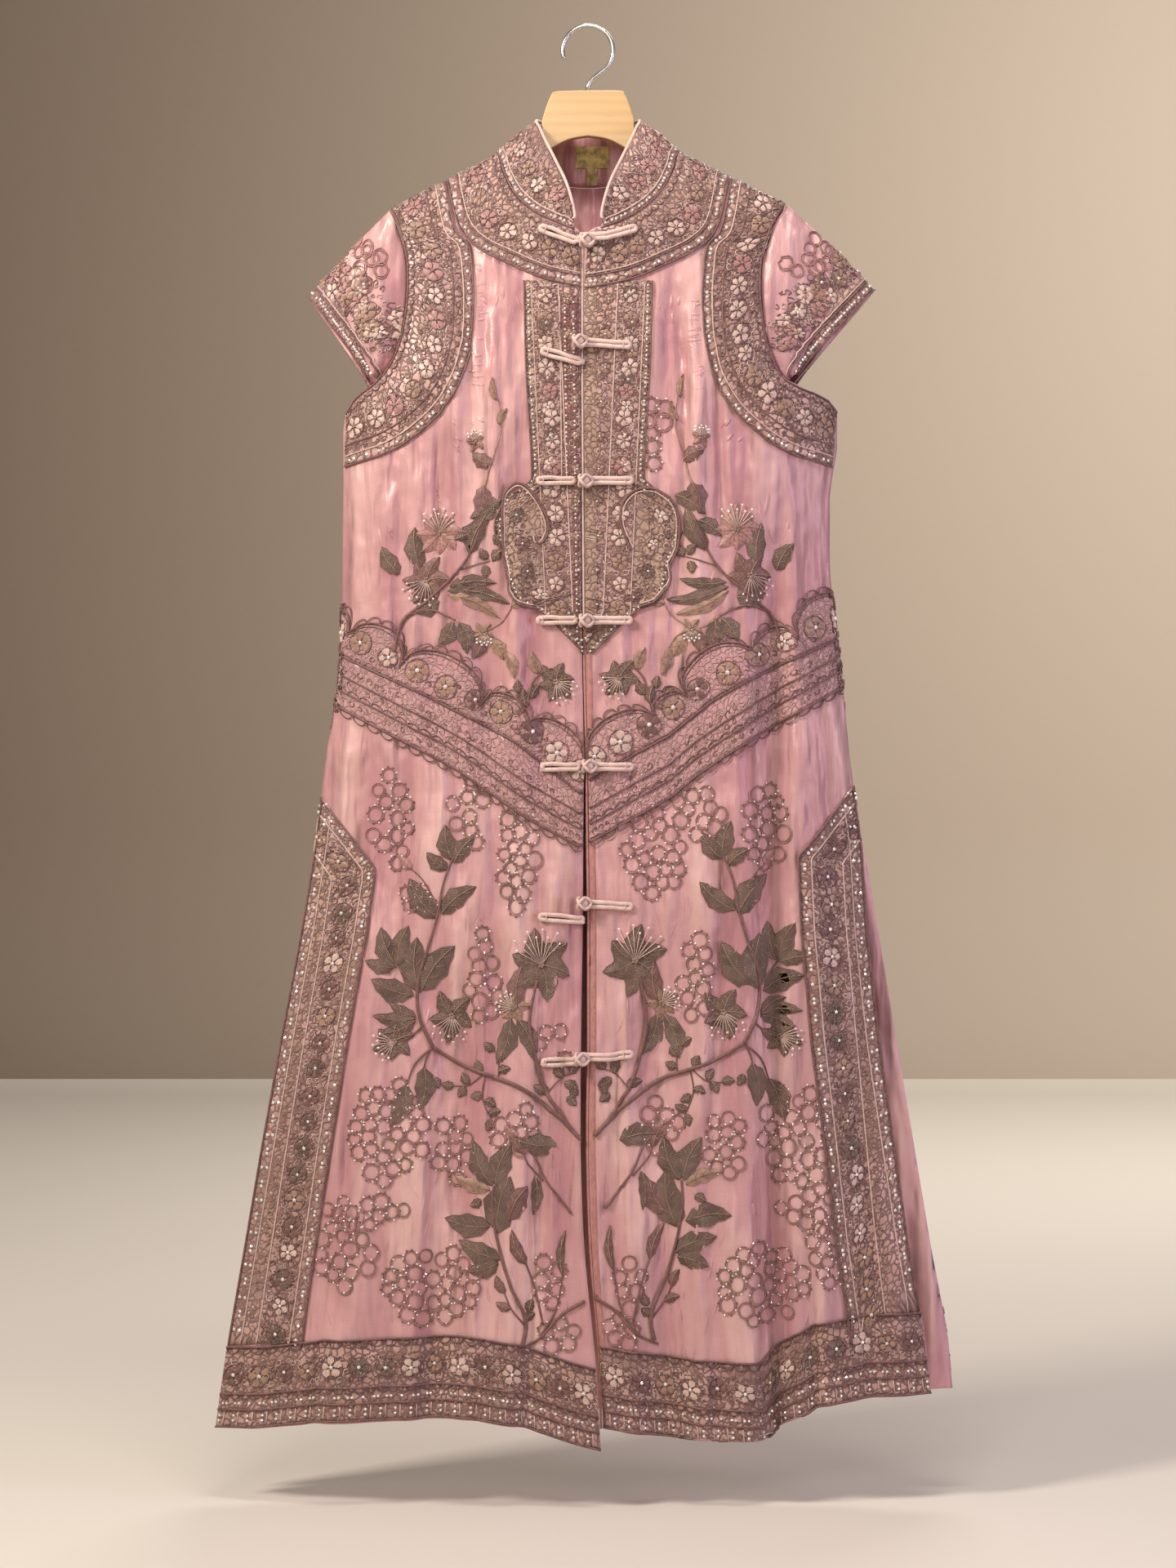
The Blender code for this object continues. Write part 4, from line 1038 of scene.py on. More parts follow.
def front_bands(side):
    """The lace of one front: name, its band, its trims."""
    sign = 1 if side == "left" else -1
    rows, hem, _ = FRONT_CUTS[side]

    def flip(corners):
        return [(corner[0] * sign, corner[1]) for corner in corners]

    neck = seam_line(lambda p: front_point(side, p, 0), 0.1, NECKLINE_ROWS)
    neck = [(x, z - 1.2) for x, z in neck]
    middle = [(r.x_in, r.z_in) for r in rows]

    def at_middle(z):
        return height_along([(m[1], m[0]) for m in middle[NECKLINE_ROWS:]], z)

    top = rows[0]
    def shoulder(x):
        share = (x - abs(top.x_in)) / (abs(top.x_out) - abs(top.x_in))
        return between(top.z_in, top.z_out, share) - 0.4
    yoke_edge = flip(curved([Corner(134, shoulder(134))] + YOKE_EDGE[1:], 4))
    yoke_edge[-1] = (at_middle(-254), -254)
    yield "yoke", Band(neck, yoke_edge), YOKE_TRIMS
    armhole = seam_line(lambda p: front_point(side, p, 1), 0.1, ARMHOLE_ROWS)
    outer = flip(curved([Corner(135.5, shoulder(135.5))] + ARMHOLE_EDGE[2:-1], 4))
    outer += [(side_x(rows, -419), -419)]
    yield "armhole", Band(armhole, outer), ARMHOLE_TRIMS
    depths = [between(-247, -597, k / 80) for k in range(81)]
    edge = sorted(curved([(c.z, c.x) for c in PLACKET_EDGE[::-1]], 3))
    outer = [(sign * max(2.5, height_along(edge, z)), z) for z in depths]
    yield "placket", Band([(at_middle(z), z) for z in depths], outer), PLACKET_TRIMS
    if side == "left":
        upper, lower = LEFT_WAIST_UPPER, LEFT_WAIST_LOWER
    else:
        upper, lower = RIGHT_WAIST_UPPER, RIGHT_WAIST_LOWER
    spans = [between(0, 1, k / 60) for k in range(61)]
    far = sign * 262
    near_up, near_low = at_middle(-722), at_middle(-776)
    across = [between(near_up, far, s) for s in spans]
    upper_line = [(x, height_along(upper, x)) for x in across]
    lower_line = [(x, height_along(lower, x)) for x in (between(near_low, far, s) for s in spans)]
    yield "chevron", Band(upper_line, lower_line), WAIST_TRIMS
    top = HIP_TOP_LEFT if side == "left" else HIP_TOP_RIGHT
    low = min(c.z for c in hem) + HEM_BAND_HEIGHT + 8
    outer, inner = [], []
    foot_out = height_along(hem, sign * 345) + HEM_BAND_HEIGHT + 1
    for k in range(81):
        s = k / 80
        z_out = between(top, foot_out, s)
        z_in = between(top, low, s)
        width = min(between(HIP_BAND_TOP_WIDTH, HIP_BAND_LOW_WIDTH, s), (top - z_in) * 0.95)
        x_in = side_x(rows, z_in) - sign * width
        if k == 80:
            z_in = height_along(hem, x_in) + HEM_BAND_HEIGHT + 1
        inner.append((x_in, z_in))
        outer.append((side_x(rows, z_out), z_out))
    yield "hip", Band(outer, inner), HIP_TRIMS
    hem_x = [between(rows[-1].x_in, rows[-1].x_out, k / 60) for k in range(61)]
    lower_line = [(x, height_along(hem, x)) for x in hem_x]
    top_in, top_out = at_middle(-1260), side_x(rows, rows[-1].z_out + HEM_BAND_HEIGHT)
    top_x = [between(top_in, top_out, k / 60) for k in range(61)]
    upper_line = []
    for k, x in enumerate(top_x):
        low_x = between(rows[-1].x_in, rows[-1].x_out, k / 60)
        upper_line.append((x, height_along(hem, low_x) + HEM_BAND_HEIGHT))
    yield "hem", Band(lower_line, upper_line), HEM_TRIMS


# Upright columns of denser lace on the placket, as distances from the middle, and their trims
Column = namedtuple("Column", "x_near x_far x_far_low z_top z_low finish trims")
PLACKET_COLUMNS = [
    Column(8.5, 54, 40, -250, -566, "Lace over silk", [
        Trim("cord", 0.6, 0, 0.7, "pale"), Trim("flowers", 13, 23, 8.5, "pale"),
        Trim("curls", 14, 6, 12, "mixed"),
        Trim("cord", 26, 0, 0.8, "pale"), Trim("curls", 36, 6.4, 8, "mixed"),
        Trim("flowers", 36, 31, 5.5, "gold"),
    ]),
    Column(8.5, 27, 25, -262, -432, "Rust brocade strip", [
        Trim("cord", 0.4, 0, 0.8, "pale"), Trim("beads", 5, 9, 1.2, "bead"),
        Trim("beads", 13, 11, 1.2, "bead"),
        Trim("cord", 9, 0, 0.5, "dark"),
    ]),
    Column(8.5, 15, 13, -446, -588, "Rust brocade strip", [Trim("beads", 3, 9, 1.2, "bead")]),
]
# Corded scrolls round the placket's lobes
LOBE_SCROLLS = {
    "right": [
        [
            (-48.9, -486.6), (-47.7, -493.4), (-41, -490.8), (-37, -477.4), (-43.7, -458.9), (-57, -441.7),
            (-66.2, -437),
            (-74.2, -441.7), (-79.5, -451), (-81, -477.4), (-79.5, -501.3), (-73.5, -522.6), (-72.8, -538.5),
            (-68, -549), (-60, -553), (-48, -555),
        ],
    ],
    "left": [
        [
            (40, -500), (36.2, -490.5), (30.5, -474), (33.1, -455), (46.6, -443), (66, -444), (82, -459),
            (86, -477.4),
            (84, -499), (76, -513.6), (76, -530.5), (64, -547), (48, -553),
        ],
    ],
}


def z_room(z):
    """Minus the placket's half width at a height, where its point narrows to the middle."""
    edge = sorted((c.z, c.x) for c in PLACKET_EDGE)
    return -(height_along(edge, z) - 1.5)


# The waist band's big scallops: how far along from the side, how wide, and how high over the line
Swag = namedtuple("Swag", "start end rise")
RIGHT_SWAGS = [Swag(0, 28, 20), Swag(30, 86, 22), Swag(88, 168, 24), Swag(170, 214, 16), Swag(214, 280, 21)]
LEFT_SWAGS = [Swag(0, 62, 26), Swag(64, 108, 16), Swag(108, 176, 25), Swag(178, 218, 14), Swag(218, 290, 22)]
SWAG_BASE = 21


def swag_bands(side, upper_line):
    """The scalloped lace over the waist band, as one strip from its line up to its arches."""
    line = resampled(upper_line[::-1], 240)
    swags = LEFT_SWAGS if side == "left" else RIGHT_SWAGS
    run, top = 0.0, []
    for index, point in enumerate(line):
        before, after = line[max(index - 1, 0)], line[min(index + 1, len(line) - 1)]
        if index:
            run += hypot(point[0] - line[index - 1][0], point[1] - line[index - 1][1])
        dx, dz = after[0] - before[0], after[1] - before[1]
        length = hypot(dx, dz)
        up = (-dz / length, dx / length)
        if up[1] < 0:
            up = (-up[0], -up[1])
        height = SWAG_BASE * 0.75
        for swag in swags:
            if swag.start <= run <= swag.end:
                share = 2 * (run - swag.start) / (swag.end - swag.start) - 1
                height = SWAG_BASE + swag.rise * sqrt(max(0, 1 - share * share))
        top.append((point[0] + up[0] * height, point[1] + up[1] * height))
    return line, top


# Needlework of the wearer's right front, turned over for the left. Headings are in degrees,
# 0 across to the middle and 90 up.
Stem = namedtuple("Stem", "points thick thin thread", defaults=["branch"])
STEMS = [
    Stem([(-6, -1054), (-32, -1028), (-64, -1004), (-96, -992), (-122, -982), (-146, -967)], 2.5, 1.8),
    Stem(
        [(-146, -967), (-158, -940), (-160, -908), (-151, -876), (-142, -846), (-136, -814), (-126, -788)],
        2.1, 1.0,
    ),
    Stem([(-16, -1044), (-38, -1010), (-50, -974), (-55, -942), (-48, -904)], 2.2, 1.3),
    Stem([(-142, -834), (-154, -812), (-166, -800)], 0.9, 0.6),
    Stem([(-96, -992), (-99, -1014), (-90, -1036)], 0.9, 0.6),
    Stem([(-98, -992), (-112, -1003), (-128, -1004)], 0.9, 0.6),
    Stem([(-84, -996), (-84, -976), (-92, -966)], 0.8, 0.6),
    Stem([(-146, -967), (-162, -982), (-170, -1002)], 1.3, 0.8),
    Stem([(-146, -967), (-152, -978), (-154, -986)], 1.1, 0.8),
    Stem([(-160, -915), (-172, -900), (-180, -890)], 1.1, 0.8),
    Stem([(-156, -948), (-168, -958), (-180, -962)], 1.2, 0.8),
    Stem([(-40, -1012), (-26, -996), (-16, -992)], 0.9, 0.6),
    Stem([(-62, -1246), (-59, -1222), (-72, -1190), (-82, -1158), (-89, -1122), (-88, -1096)], 2.2, 1.0),
    Stem([(-3, -1204), (-26, -1218), (-46, -1240), (-66, -1250)], 1.9, 1.2),
    Stem([(-44, -1236), (-30, -1212), (-24, -1180)], 1.3, 0.7),
    Stem([(-42, -1226), (-49, -1196), (-58, -1170)], 1.2, 0.8),
    Stem([(-60, -1226), (-72, -1210), (-78, -1196)], 1.0, 0.7),
    Stem([(-16, -1122), (-40, -1090), (-52, -1064), (-64, -1050)], 1.5, 0.9),
    Stem([(-42, -1092), (-56, -1076), (-60, -1066)], 1.0, 0.7),
    Stem([(-184, -596), (-174, -566), (-150, -546), (-126, -524), (-110, -500), (-100, -474)], 1.9, 1.0),
    Stem([(-172, -562), (-148, -556), (-124, -566)], 1.3, 0.9),
    Stem([(-124, -566), (-104, -577), (-82, -568), (-70, -552)], 1.0, 0.7, "gold"),
    Stem([(-104, -577), (-84, -584), (-76, -596)], 0.9, 0.6, "gold"),
    Stem([(-124, -520), (-106, -514), (-92, -510)], 0.8, 0.6),
    Stem([(-98, -442), (-90, -416), (-82, -386), (-84, -358)], 1.1, 0.6, "gold"),
    Stem([(-58, -648), (-52, -624), (-38, -612), (-26, -614)], 1.2, 0.8),
]
LEFT_STEM_SHIFT = 4

# Leaves: where each is sewn on, which way it points, its length, width and thread
Leaf = namedtuple("Leaf", "x z heading length width thread", defaults=["leaf"])
LEAVES = [
    Leaf(-127, -792, 102, 34, 17),
    Leaf(-126, -794, 52, 31, 15),
    Leaf(-132, -800, 142, 25, 13),
    Leaf(-141, -846, 126, 46, 21),
    Leaf(-138, -842, 38, 42, 17),
    Leaf(-180, -892, 112, 40, 18),
    Leaf(-178, -890, 76, 38, 17),
    Leaf(-182, -892, 168, 28, 13),
    Leaf(-158, -916, 93, 52, 25),
    Leaf(-156, -914, 54, 52, 24),
    Leaf(-164, -918, 160, 42, 20),
    Leaf(-162, -940, 176, 40, 13),
    Leaf(-162, -942, 200, 36, 13),
    Leaf(-162, -938, 152, 28, 10),
    Leaf(-170, -1002, 248, 42, 18),
    Leaf(-154, -986, 264, 40, 17),
    Leaf(-166, -800, 128, 18, 9, "blush"),
    Leaf(-72, -940, 252, 44, 16),
    Leaf(-66, -940, 292, 42, 15),
    Leaf(-66, -930, 84, 40, 16, "branch"),
    Leaf(-36, -1008, 160, 16, 9),
    Leaf(-16, -992, 60, 18, 10),
    Leaf(-24, -996, 110, 16, 9),
    Leaf(-22, -1000, 330, 15, 9),
    Leaf(-90, -1096, 112, 44, 19),
    Leaf(-86, -1096, 70, 43, 19),
    Leaf(-92, -1100, 160, 36, 12, "gold"),
    Leaf(-84, -1140, 78, 54, 27),
    Leaf(-74, -1128, 62, 36, 20, "branch"),
    Leaf(-92, -1134, 172, 43, 20),
    Leaf(-82, -1164, 158, 42, 18),
    Leaf(-84, -1168, 196, 30, 16),
    Leaf(-58, -1170, 112, 36, 10, "branch"),
    Leaf(-24, -1180, 86, 42, 7),
    Leaf(-78, -1196, 116, 18, 8, "branch"),
    Leaf(-72, -1210, 160, 15, 8, "branch"),
    Leaf(-60, -1066, 118, 28, 9, "branch"),
    Leaf(-50, -1088, 268, 36, 10),
    Leaf(-30, -1058, 172, 36, 19),
    Leaf(-66, -1050, 140, 16, 10, "blush"),
    Leaf(-158, -516, 98, 38, 17),
    Leaf(-178, -522, 122, 30, 15),
    Leaf(-112, -504, 64, 46, 16),
    Leaf(-104, -476, 214, 26, 13),
    Leaf(-82, -452, 212, 34, 16),
    Leaf(-98, -440, 258, 30, 16, "branch"),
    Leaf(-90, -420, 150, 22, 13, "branch"),
    Leaf(-84, -382, 62, 17, 7, "gold"),
    Leaf(-86, -360, 100, 22, 6, "gold"),
    Leaf(-132, -538, 348, 60, 12),
    Leaf(-132, -542, 336, 54, 11, "gold"),
    Leaf(-130, -534, 4, 44, 11),
    Leaf(-140, -548, 200, 26, 15),
    Leaf(-126, -568, 236, 26, 14),
    Leaf(-120, -568, 282, 30, 15),
    Leaf(-72, -554, 24, 20, 9, "gold"),
    Leaf(-76, -596, 286, 26, 10, "gold"),
    Leaf(-100, -580, 250, 24, 13, "branch"),
    Leaf(-90, -584, 300, 22, 12, "gold"),
    Leaf(-58, -648, 100, 18, 10),
    Leaf(-54, -640, 60, 16, 9),
    Leaf(-60, -650, 200, 16, 10, "branch"),
    Leaf(-46, -616, 110, 22, 10, "gold"),
]
SMALL_LEAVES = [
    (-99, -1010, 200), (-97, -1016, 330), (-91, -1034, 250), (-93, -1030, 20), (-112, -1002, 120),
    (-116, -1004, 240), (-126, -1004, 170), (-84, -980, 60), (-88, -970, 140), (-84, -990, 20),
    (-100, -990, 110), (-94, -508, 130), (-90, -508, 40), (-96, -514, 262), (-80, -494, 140),
    (-78, -494, 60), (-84, -500, 240), (-60, -1222, 30), (-56, -1214, 70), (-100, -1110, 210),
    (-12, -1004, 250), (-20, -1014, 320), (-146, -996, 300), (-70, -640, 150), (-64, -634, 100),
]

# Open flowers, each with pointed petals and a spray of threads
Bloom = namedtuple("Bloom", "x z size petals heading thread")
BLOOMS = [
    Bloom(-44, -890, 35, 6, 100, "leaf"),
    Bloom(-70, -930, 17, 5, 150, "gold"),
    Bloom(-128, -938, 26, 5, 260, "leaf"),
    Bloom(-182, -962, 21, 6, 200, "leaf"),
    Bloom(-152, -528, 25, 6, 240, "branch"),
    Bloom(-140, -484, 24, 8, 90, "blush"),
    Bloom(-30, -624, 21, 6, 310, "leaf"),
    Bloom(-98, -578, 12, 5, 270, "gold"),
    Bloom(-106, -398, 11, 5, 100, "blush"),
]

# Clusters of corded rings, some of them sewn round with beads
Cluster = namedtuple("Cluster", "x z wide high count")
RIGHT_CLUSTERS = [
    Cluster(-186, -752, 18, 46, 10),
    Cluster(-112, -748, 18, 30, 6),
    Cluster(-66, -788, 16, 48, 13),
    Cluster(-98, -902, 14, 42, 9),
    Cluster(-186, -1046, 34, 46, 25),
    Cluster(-66, -1044, 20, 22, 6),
    Cluster(-128, -1062, 16, 30, 7),
    Cluster(-210, -1122, 38, 12, 8),
    Cluster(-228, -1160, 26, 30, 11),
    Cluster(-144, -1190, 46, 32, 20),
    Cluster(-34, -968, 14, 20, 3),
    Cluster(-36, -1186, 14, 20, 4),
    Cluster(-30, -1234, 18, 14, 5),
    Cluster(-158, -828, 16, 12, 3),
]
LEFT_CLUSTERS = [
    Cluster(168, -764, 20, 40, 12),
    Cluster(62, -786, 26, 40, 16),
    Cluster(104, -746, 22, 22, 7),
    Cluster(102, -900, 14, 40, 9),
    Cluster(196, -1052, 34, 44, 22),
    Cluster(66, -1040, 20, 24, 6),
    Cluster(128, -1056, 18, 30, 8),
    Cluster(216, -1120, 34, 22, 12),
    Cluster(228, -1164, 22, 26, 8),
    Cluster(164, -1190, 40, 34, 20),
    Cluster(38, -1190, 14, 22, 5),
    Cluster(32, -1232, 16, 12, 4),
    Cluster(66, -388, 10, 34, 5),
]
BACK_CLUSTERS = [
    Cluster(-150, -900, 30, 60, 14),
    Cluster(150, -900, 30, 60, 14),
    Cluster(0, -1140, 60, 40, 16),
]


def sewn_leaf(lay, needles, x, z, heading, length, width, thread):
    """A padded leaf: a raised rib, blades that fall to a toothed edge, and a dark outline."""
    ahead = Vector((cos(radians(heading)), sin(radians(heading))))
    aside = Vector((-ahead.y, ahead.x))
    stations = 7
    corners, places = [], []
    rim_left, rim_right = [], []
    for k in range(stations):
        t = k / (stations - 1)
        half = width / 2 * max(0.02, sin(pi * t**0.8)) ** 0.85
        bend = 0.08 * length * sin(pi * t)
        for side in (-1, -0.5, 0, 0.5, 1):
            tooth = 1 + (0.2 if k % 2 and abs(side) == 1 else 0)
            px = x + ahead.x * length * t + aside.x * (half * side * tooth + bend)
            pz = z + ahead.y * length * t + aside.y * (half * side * tooth + bend)
            out = {0: 1.5, 0.5: 1.35, 1: 0.35}[abs(side)]
            point, normal = lay(px, pz, out)
            corners.append(point)
            places.append((length * t * MM, half * side * MM))
            if side == -1:
                rim_left.append((point, normal))
            if side == 1:
                rim_right.append((point, normal))
    faces = []
    for k in range(stations - 1):
        for c in range(4):
            first = k * 5 + c
            faces.append((first, first + 1, first + 6, first + 5))
    needles.add(corners, faces, thread, places, lay(x, z, 0)[1])
    edge = "dark" if thread in ("leaf", "branch") else "gold"
    needles.cord(rim_left + rim_right[::-1][1:], 0.55, edge, sides=3)

    def inside(t, side, out):
        half = width / 2 * max(0.02, sin(pi * t**0.8)) ** 0.85
        over = half * side + 0.08 * length * sin(pi * t)
        return lay(x + ahead.x * length * t + aside.x * over, z + ahead.y * length * t + aside.y * over, out)

    needles.cord([inside(t, 0, 1.7) for t in (0, 0.25, 0.5, 0.75, 0.95)], 0.5, "gold", sides=3)
    for t in (0.24, 0.46, 0.66):
        for side in (-0.72, 0.72):
            needles.cord([inside(t, 0, 1.5), inside(t + 0.15, side, 1.2)], 0.38, "gold", sides=3)


def sewn_bloom(lay, needles, bloom, sign):
    heading = bloom.heading if sign < 0 else 180 - bloom.heading
    x = bloom.x * -sign
    for petal in range(bloom.petals):
        turn = heading + 360 * petal / bloom.petals
        long = bloom.size * (1.0, 0.82, 0.92)[petal % 3]
        sewn_leaf(lay, needles, x, bloom.z, turn, long, bloom.size * 0.5, bloom.thread)
    for thread in range(9):
        turn = radians(heading - 50 + 100 * thread / 8)
        reach = bloom.size * (0.95 if thread % 2 else 0.75)
        line = [lay(x + cos(turn) * reach * t, bloom.z + sin(turn) * reach * t, 1.9) for t in (0, 0.5, 1)]
        needles.cord(line, 0.55, "pale", sides=3)
        needles.bead(*line[-1], 1.3, "bead")
    for k in range(5):
        turn = 2 * pi * k / 5
        needles.bead(*lay(x + 2 * cos(turn), bloom.z + 2 * sin(turn), 2.2), 1.5, "gold")


def ring_cluster(lay, needles, cluster, rng):
    made = []
    tries = 0
    while len(made) < cluster.count * 1.3 and tries < 900:
        tries += 1
        size = rng.uniform(6.4, 8.2)
        a, r = rng.uniform(0, 2 * pi), sqrt(rng.uniform(0, 1))
        x, z = cluster.x + cluster.wide * r * cos(a), cluster.z + cluster.high * r * sin(a)
        if any(hypot(x - u, z - v) < (size + s) * 0.80 for u, v, s in made):
            continue
        made.append((x, z, size))
        tall = rng.uniform(0.95, 1.15)
        thread = rng.choice(("blush", "blush", "blush", "gold"))
        for reach, thick in ((1.0, 0.7), (0.8, 0.5)):
            line = []
            for k in range(16):
                t = 2 * pi * k / 16
                line.append(lay(x + size * reach * cos(t), z + size * reach * tall * sin(t), 0.6))
            needles.cord(line, thick, thread, sides=3, closed=True)
        if rng.random() < 0.62:
            for k in range(9):
                t = 2 * pi * k / 9 + a
                bead = "bead" if k % 2 else "branch"
                place = lay(x + size * 1.08 * cos(t), z + size * 1.08 * tall * sin(t), 0.8)
                needles.bead(*place, 1.2, bead, t)
        elif rng.random() < 0.5:
            for k in range(4):
                t = 2 * pi * k / 4 + a
                place = lay(x + size * 0.8 * cos(t), z + size * 0.8 * tall * sin(t), 0.8)
                needles.bead(*place, 1.1, "bead", t)


def embroider_front(side):
    panel = cloth("front_" + side)
    sign = 1 if side == "left" else -1
    drop = LEFT_STEM_SHIFT if side == "left" else 0
    needles = Needlework(THREAD_ORDER)

    def lay(x, z, out):
        return panel.lay(x, z + drop, out)

    for stem in STEMS:
        line = curved([(x * -sign, z) for x, z in stem.points], 4)
        needles.cord(
            [lay(x, z, stem.thick * 0.5) for x, z in line],
            lambda share, s=stem: between(s.thick, s.thin, share), stem.thread, sides=6,
        )
    for leaf in LEAVES:
        heading = leaf.heading if sign < 0 else 180 - leaf.heading
        sewn_leaf(lay, needles, leaf.x * -sign, leaf.z, heading, leaf.length, leaf.width, leaf.thread)
    for x, z, heading in SMALL_LEAVES:
        turned = heading if sign < 0 else 180 - heading
        sewn_leaf(lay, needles, x * -sign, z, turned, 12, 8, "leaf")
    for bloom in BLOOMS:
        sewn_bloom(lay, needles, bloom, sign)
    flowers = needles.build("needlework_branches_" + side)
    rings = Needlework(THREAD_ORDER)
    rng = random.Random(41 if side == "left" else 17)
    for cluster in LEFT_CLUSTERS if side == "left" else RIGHT_CLUSTERS:
        ring_cluster(panel.lay, rings, cluster, rng)
    ringed = rings.build("needlework_rings_" + side)
    return [flowers, ringed]


def embroider_back():
    """The back isn't in the photograph, so it has the same branches, sparser."""
    panel = cloth("back")
    needles = Needlework(THREAD_ORDER)
    for sign in (-1, 1):
        for stem in STEMS[:11] + STEMS[12:13]:
            line = curved([(x * -sign, z) for x, z in stem.points], 5)
            needles.cord(
                [panel.lay(x, z, stem.thick * 0.5) for x, z in line],
                lambda share, s=stem: between(s.thick, s.thin, share), stem.thread, sides=5,
            )
        for leaf in LEAVES[:32]:
            heading = leaf.heading if sign < 0 else 180 - leaf.heading
            sewn_leaf(
                panel.lay, needles, leaf.x * -sign, leaf.z, heading, leaf.length, leaf.width, leaf.thread,
            )
        for bloom in BLOOMS[:4]:
            sewn_bloom(panel.lay, needles, bloom, sign)
    branches = needles.build("needlework_branches_back")
    rings = Needlework(THREAD_ORDER)
    rng = random.Random(5)
    for cluster in BACK_CLUSTERS:
        ring_cluster(panel.lay, rings, cluster, rng)
    return [branches, rings.build("needlework_rings_back")]


def laid_on_sheet(panel, from_far_edge, lift=0.4):
    """laid_at for a sheet that is worked by its own rows, such as the collar or a sleeve."""
    centre = panel.columns // 2
    runs = [0.0]
    for row in range(1, panel.rows):
        a = panel.outer[(row - 1) * panel.columns + centre]
        b = panel.outer[row * panel.columns + centre]
        runs.append(runs[-1] + (b - a).length / MM)
    widths = []
    for row in range(panel.rows):
        line = panel.outer[row * panel.columns:(row + 1) * panel.columns]
        widths.append(sum((b - a).length for a, b in zip(line, line[1:])) / MM)

    def laid_at(run, inset, out, shift=0.0):
        run = min(max(run, 0), runs[-1])
        low, high = 0, panel.rows - 1
        while high - low > 1:
            mid = (low + high) // 2
            low, high = (mid, high) if runs[mid] <= run else (low, mid)
        span = runs[high] - runs[low]
        row = low + ((run - runs[low]) / span if span else 0)
        width = max(widths[low], 1.0)
        share = ((width + inset if inset < 0 else inset) + shift) / width
        share = min(1, max(0, share))
        if from_far_edge:
            share = 1 - share
        return panel.on_grid(row, share * (panel.columns - 1), out + lift)

    return laid_at, runs[-1]


def sleeve_grid(end):
    """The cap sleeve as one sheet from the front armhole over the shoulder to the back one."""
    sign = -1 if end.side == "right" else 1
    grid = []
    count, fine = 17, 4
    for step in range(count * fine + 1):
        index = step / fine
        if index <= 8:
            seam = front_point(end.side, 9 - index, 1)
        elif index < 9:
            seam = front_point(end.side, 1, 1).lerp(back_point(1, sign), index - 8)
        else:
            seam = back_point(index - 8, sign)
        across = 2 * index / count - 1
        down = abs(across) ** 1.3
        facing = -1 if across < 0 else 1
        round_off = sqrt(1 - (1 - abs(across)) ** 2)
        hem_x = between(end.x_tip, end.x_low + sign * 7, down)
        hem_z = between(end.z_tip, end.z_low, down) - SLEEVE_BACK_DROP * abs(across) * (facing > 0)
        hem = Vector((hem_x, facing * SLEEVE_HEM_DEPTH * round_off * (1 - 0.35 * down), hem_z)) * MM
        start = seam + (hem - seam).normalized() * SLEEVE_SEAM_GAP * (1 + 2.3 * down**3) * MM
        points = []
        for column in range(25):
            t = column / 24
            point = start.lerp(hem, t)
            puff = SLEEVE_PUFF * sin(pi * t) * MM
            wave = 0.9 * sin(across * 17 + t * 3) * sin(pi * min(1, t * 1.2)) * MM * (1 - down)
            point.y += facing * (puff + wave) * round_off
            point.z += puff * (1 - down) * 0.6
            points.append(point)
        grid.append(points)
    return grid, sign


def collar_top(x, behind):
    rows = COLLAR[SHOULDER_ROW:] if behind else COLLAR[SHOULDER_ROW::-1]
    away = abs(x) / MM
    for outer, inner in zip(rows, rows[1:]):
        if away >= inner.x or inner is rows[-1]:
            share = min(1, (outer.x - away) / (outer.x - inner.x))
            place = [between(a, b, share) for a, b in zip(outer[3:], inner[3:])]
            return Vector((place[0] * (1 if x > 0 else -1), place[1], place[2])) * MM
    return None


def collar_grid():
    """The collar's sheet on the necklines, from the front's right end round to its left end."""
    necklines = []
    for side, sign in (("right", -1), ("left", 1)):
        edge = [front_point(side, place, 0) for place in range(NECKLINE_ROWS, -1, -1)]
        end_share = (abs(edge[1].x) - COLLAR_END_X * MM) / (abs(edge[1].x) - abs(edge[0].x))
        edge[0] = edge[1].lerp(edge[0], end_share)
        edge = [(point, False) for point in edge[:-3] + edge[-1:]]
        edge += [(back_point(0, sign * column / 9), True) for column in range(3, 0, -1)]
        necklines.append(edge)
    seam = necklines[0] + [(back_point(0, 0), True)] + necklines[1][::-1]
    rows = []
    for base, behind in seam:
        top = collar_top(base.x, behind)
        base = base + (top - base).normalized() * COLLAR_SEAM_GAP * MM
        rows.append((base, top))
    grid = []
    for index in range(len(rows) - 1):
        a, b = rows[max(index - 1, 0)], rows[index]
        c, d = rows[index + 1], rows[min(index + 2, len(rows) - 1)]
        for step in range(6):
            t = step / 6
            base, top = (through(*four, t) for four in zip(a, b, c, d))
            grid.append([base.lerp(top, share / 10) for share in range(11)])
    grid.append([rows[-1][0].lerp(rows[-1][1], share / 10) for share in range(11)])
    return grid


# Finishes

THREADS = {
    "dark": "Dark lace thread",
    "pale": "Pale lace thread",
    "gold": "Gold-tan thread",
    "bead": "Cut beads",
    "leaf": "Olive leaf thread",
    "branch": "Brown branch thread",
    "blush": "Blush thread",
}


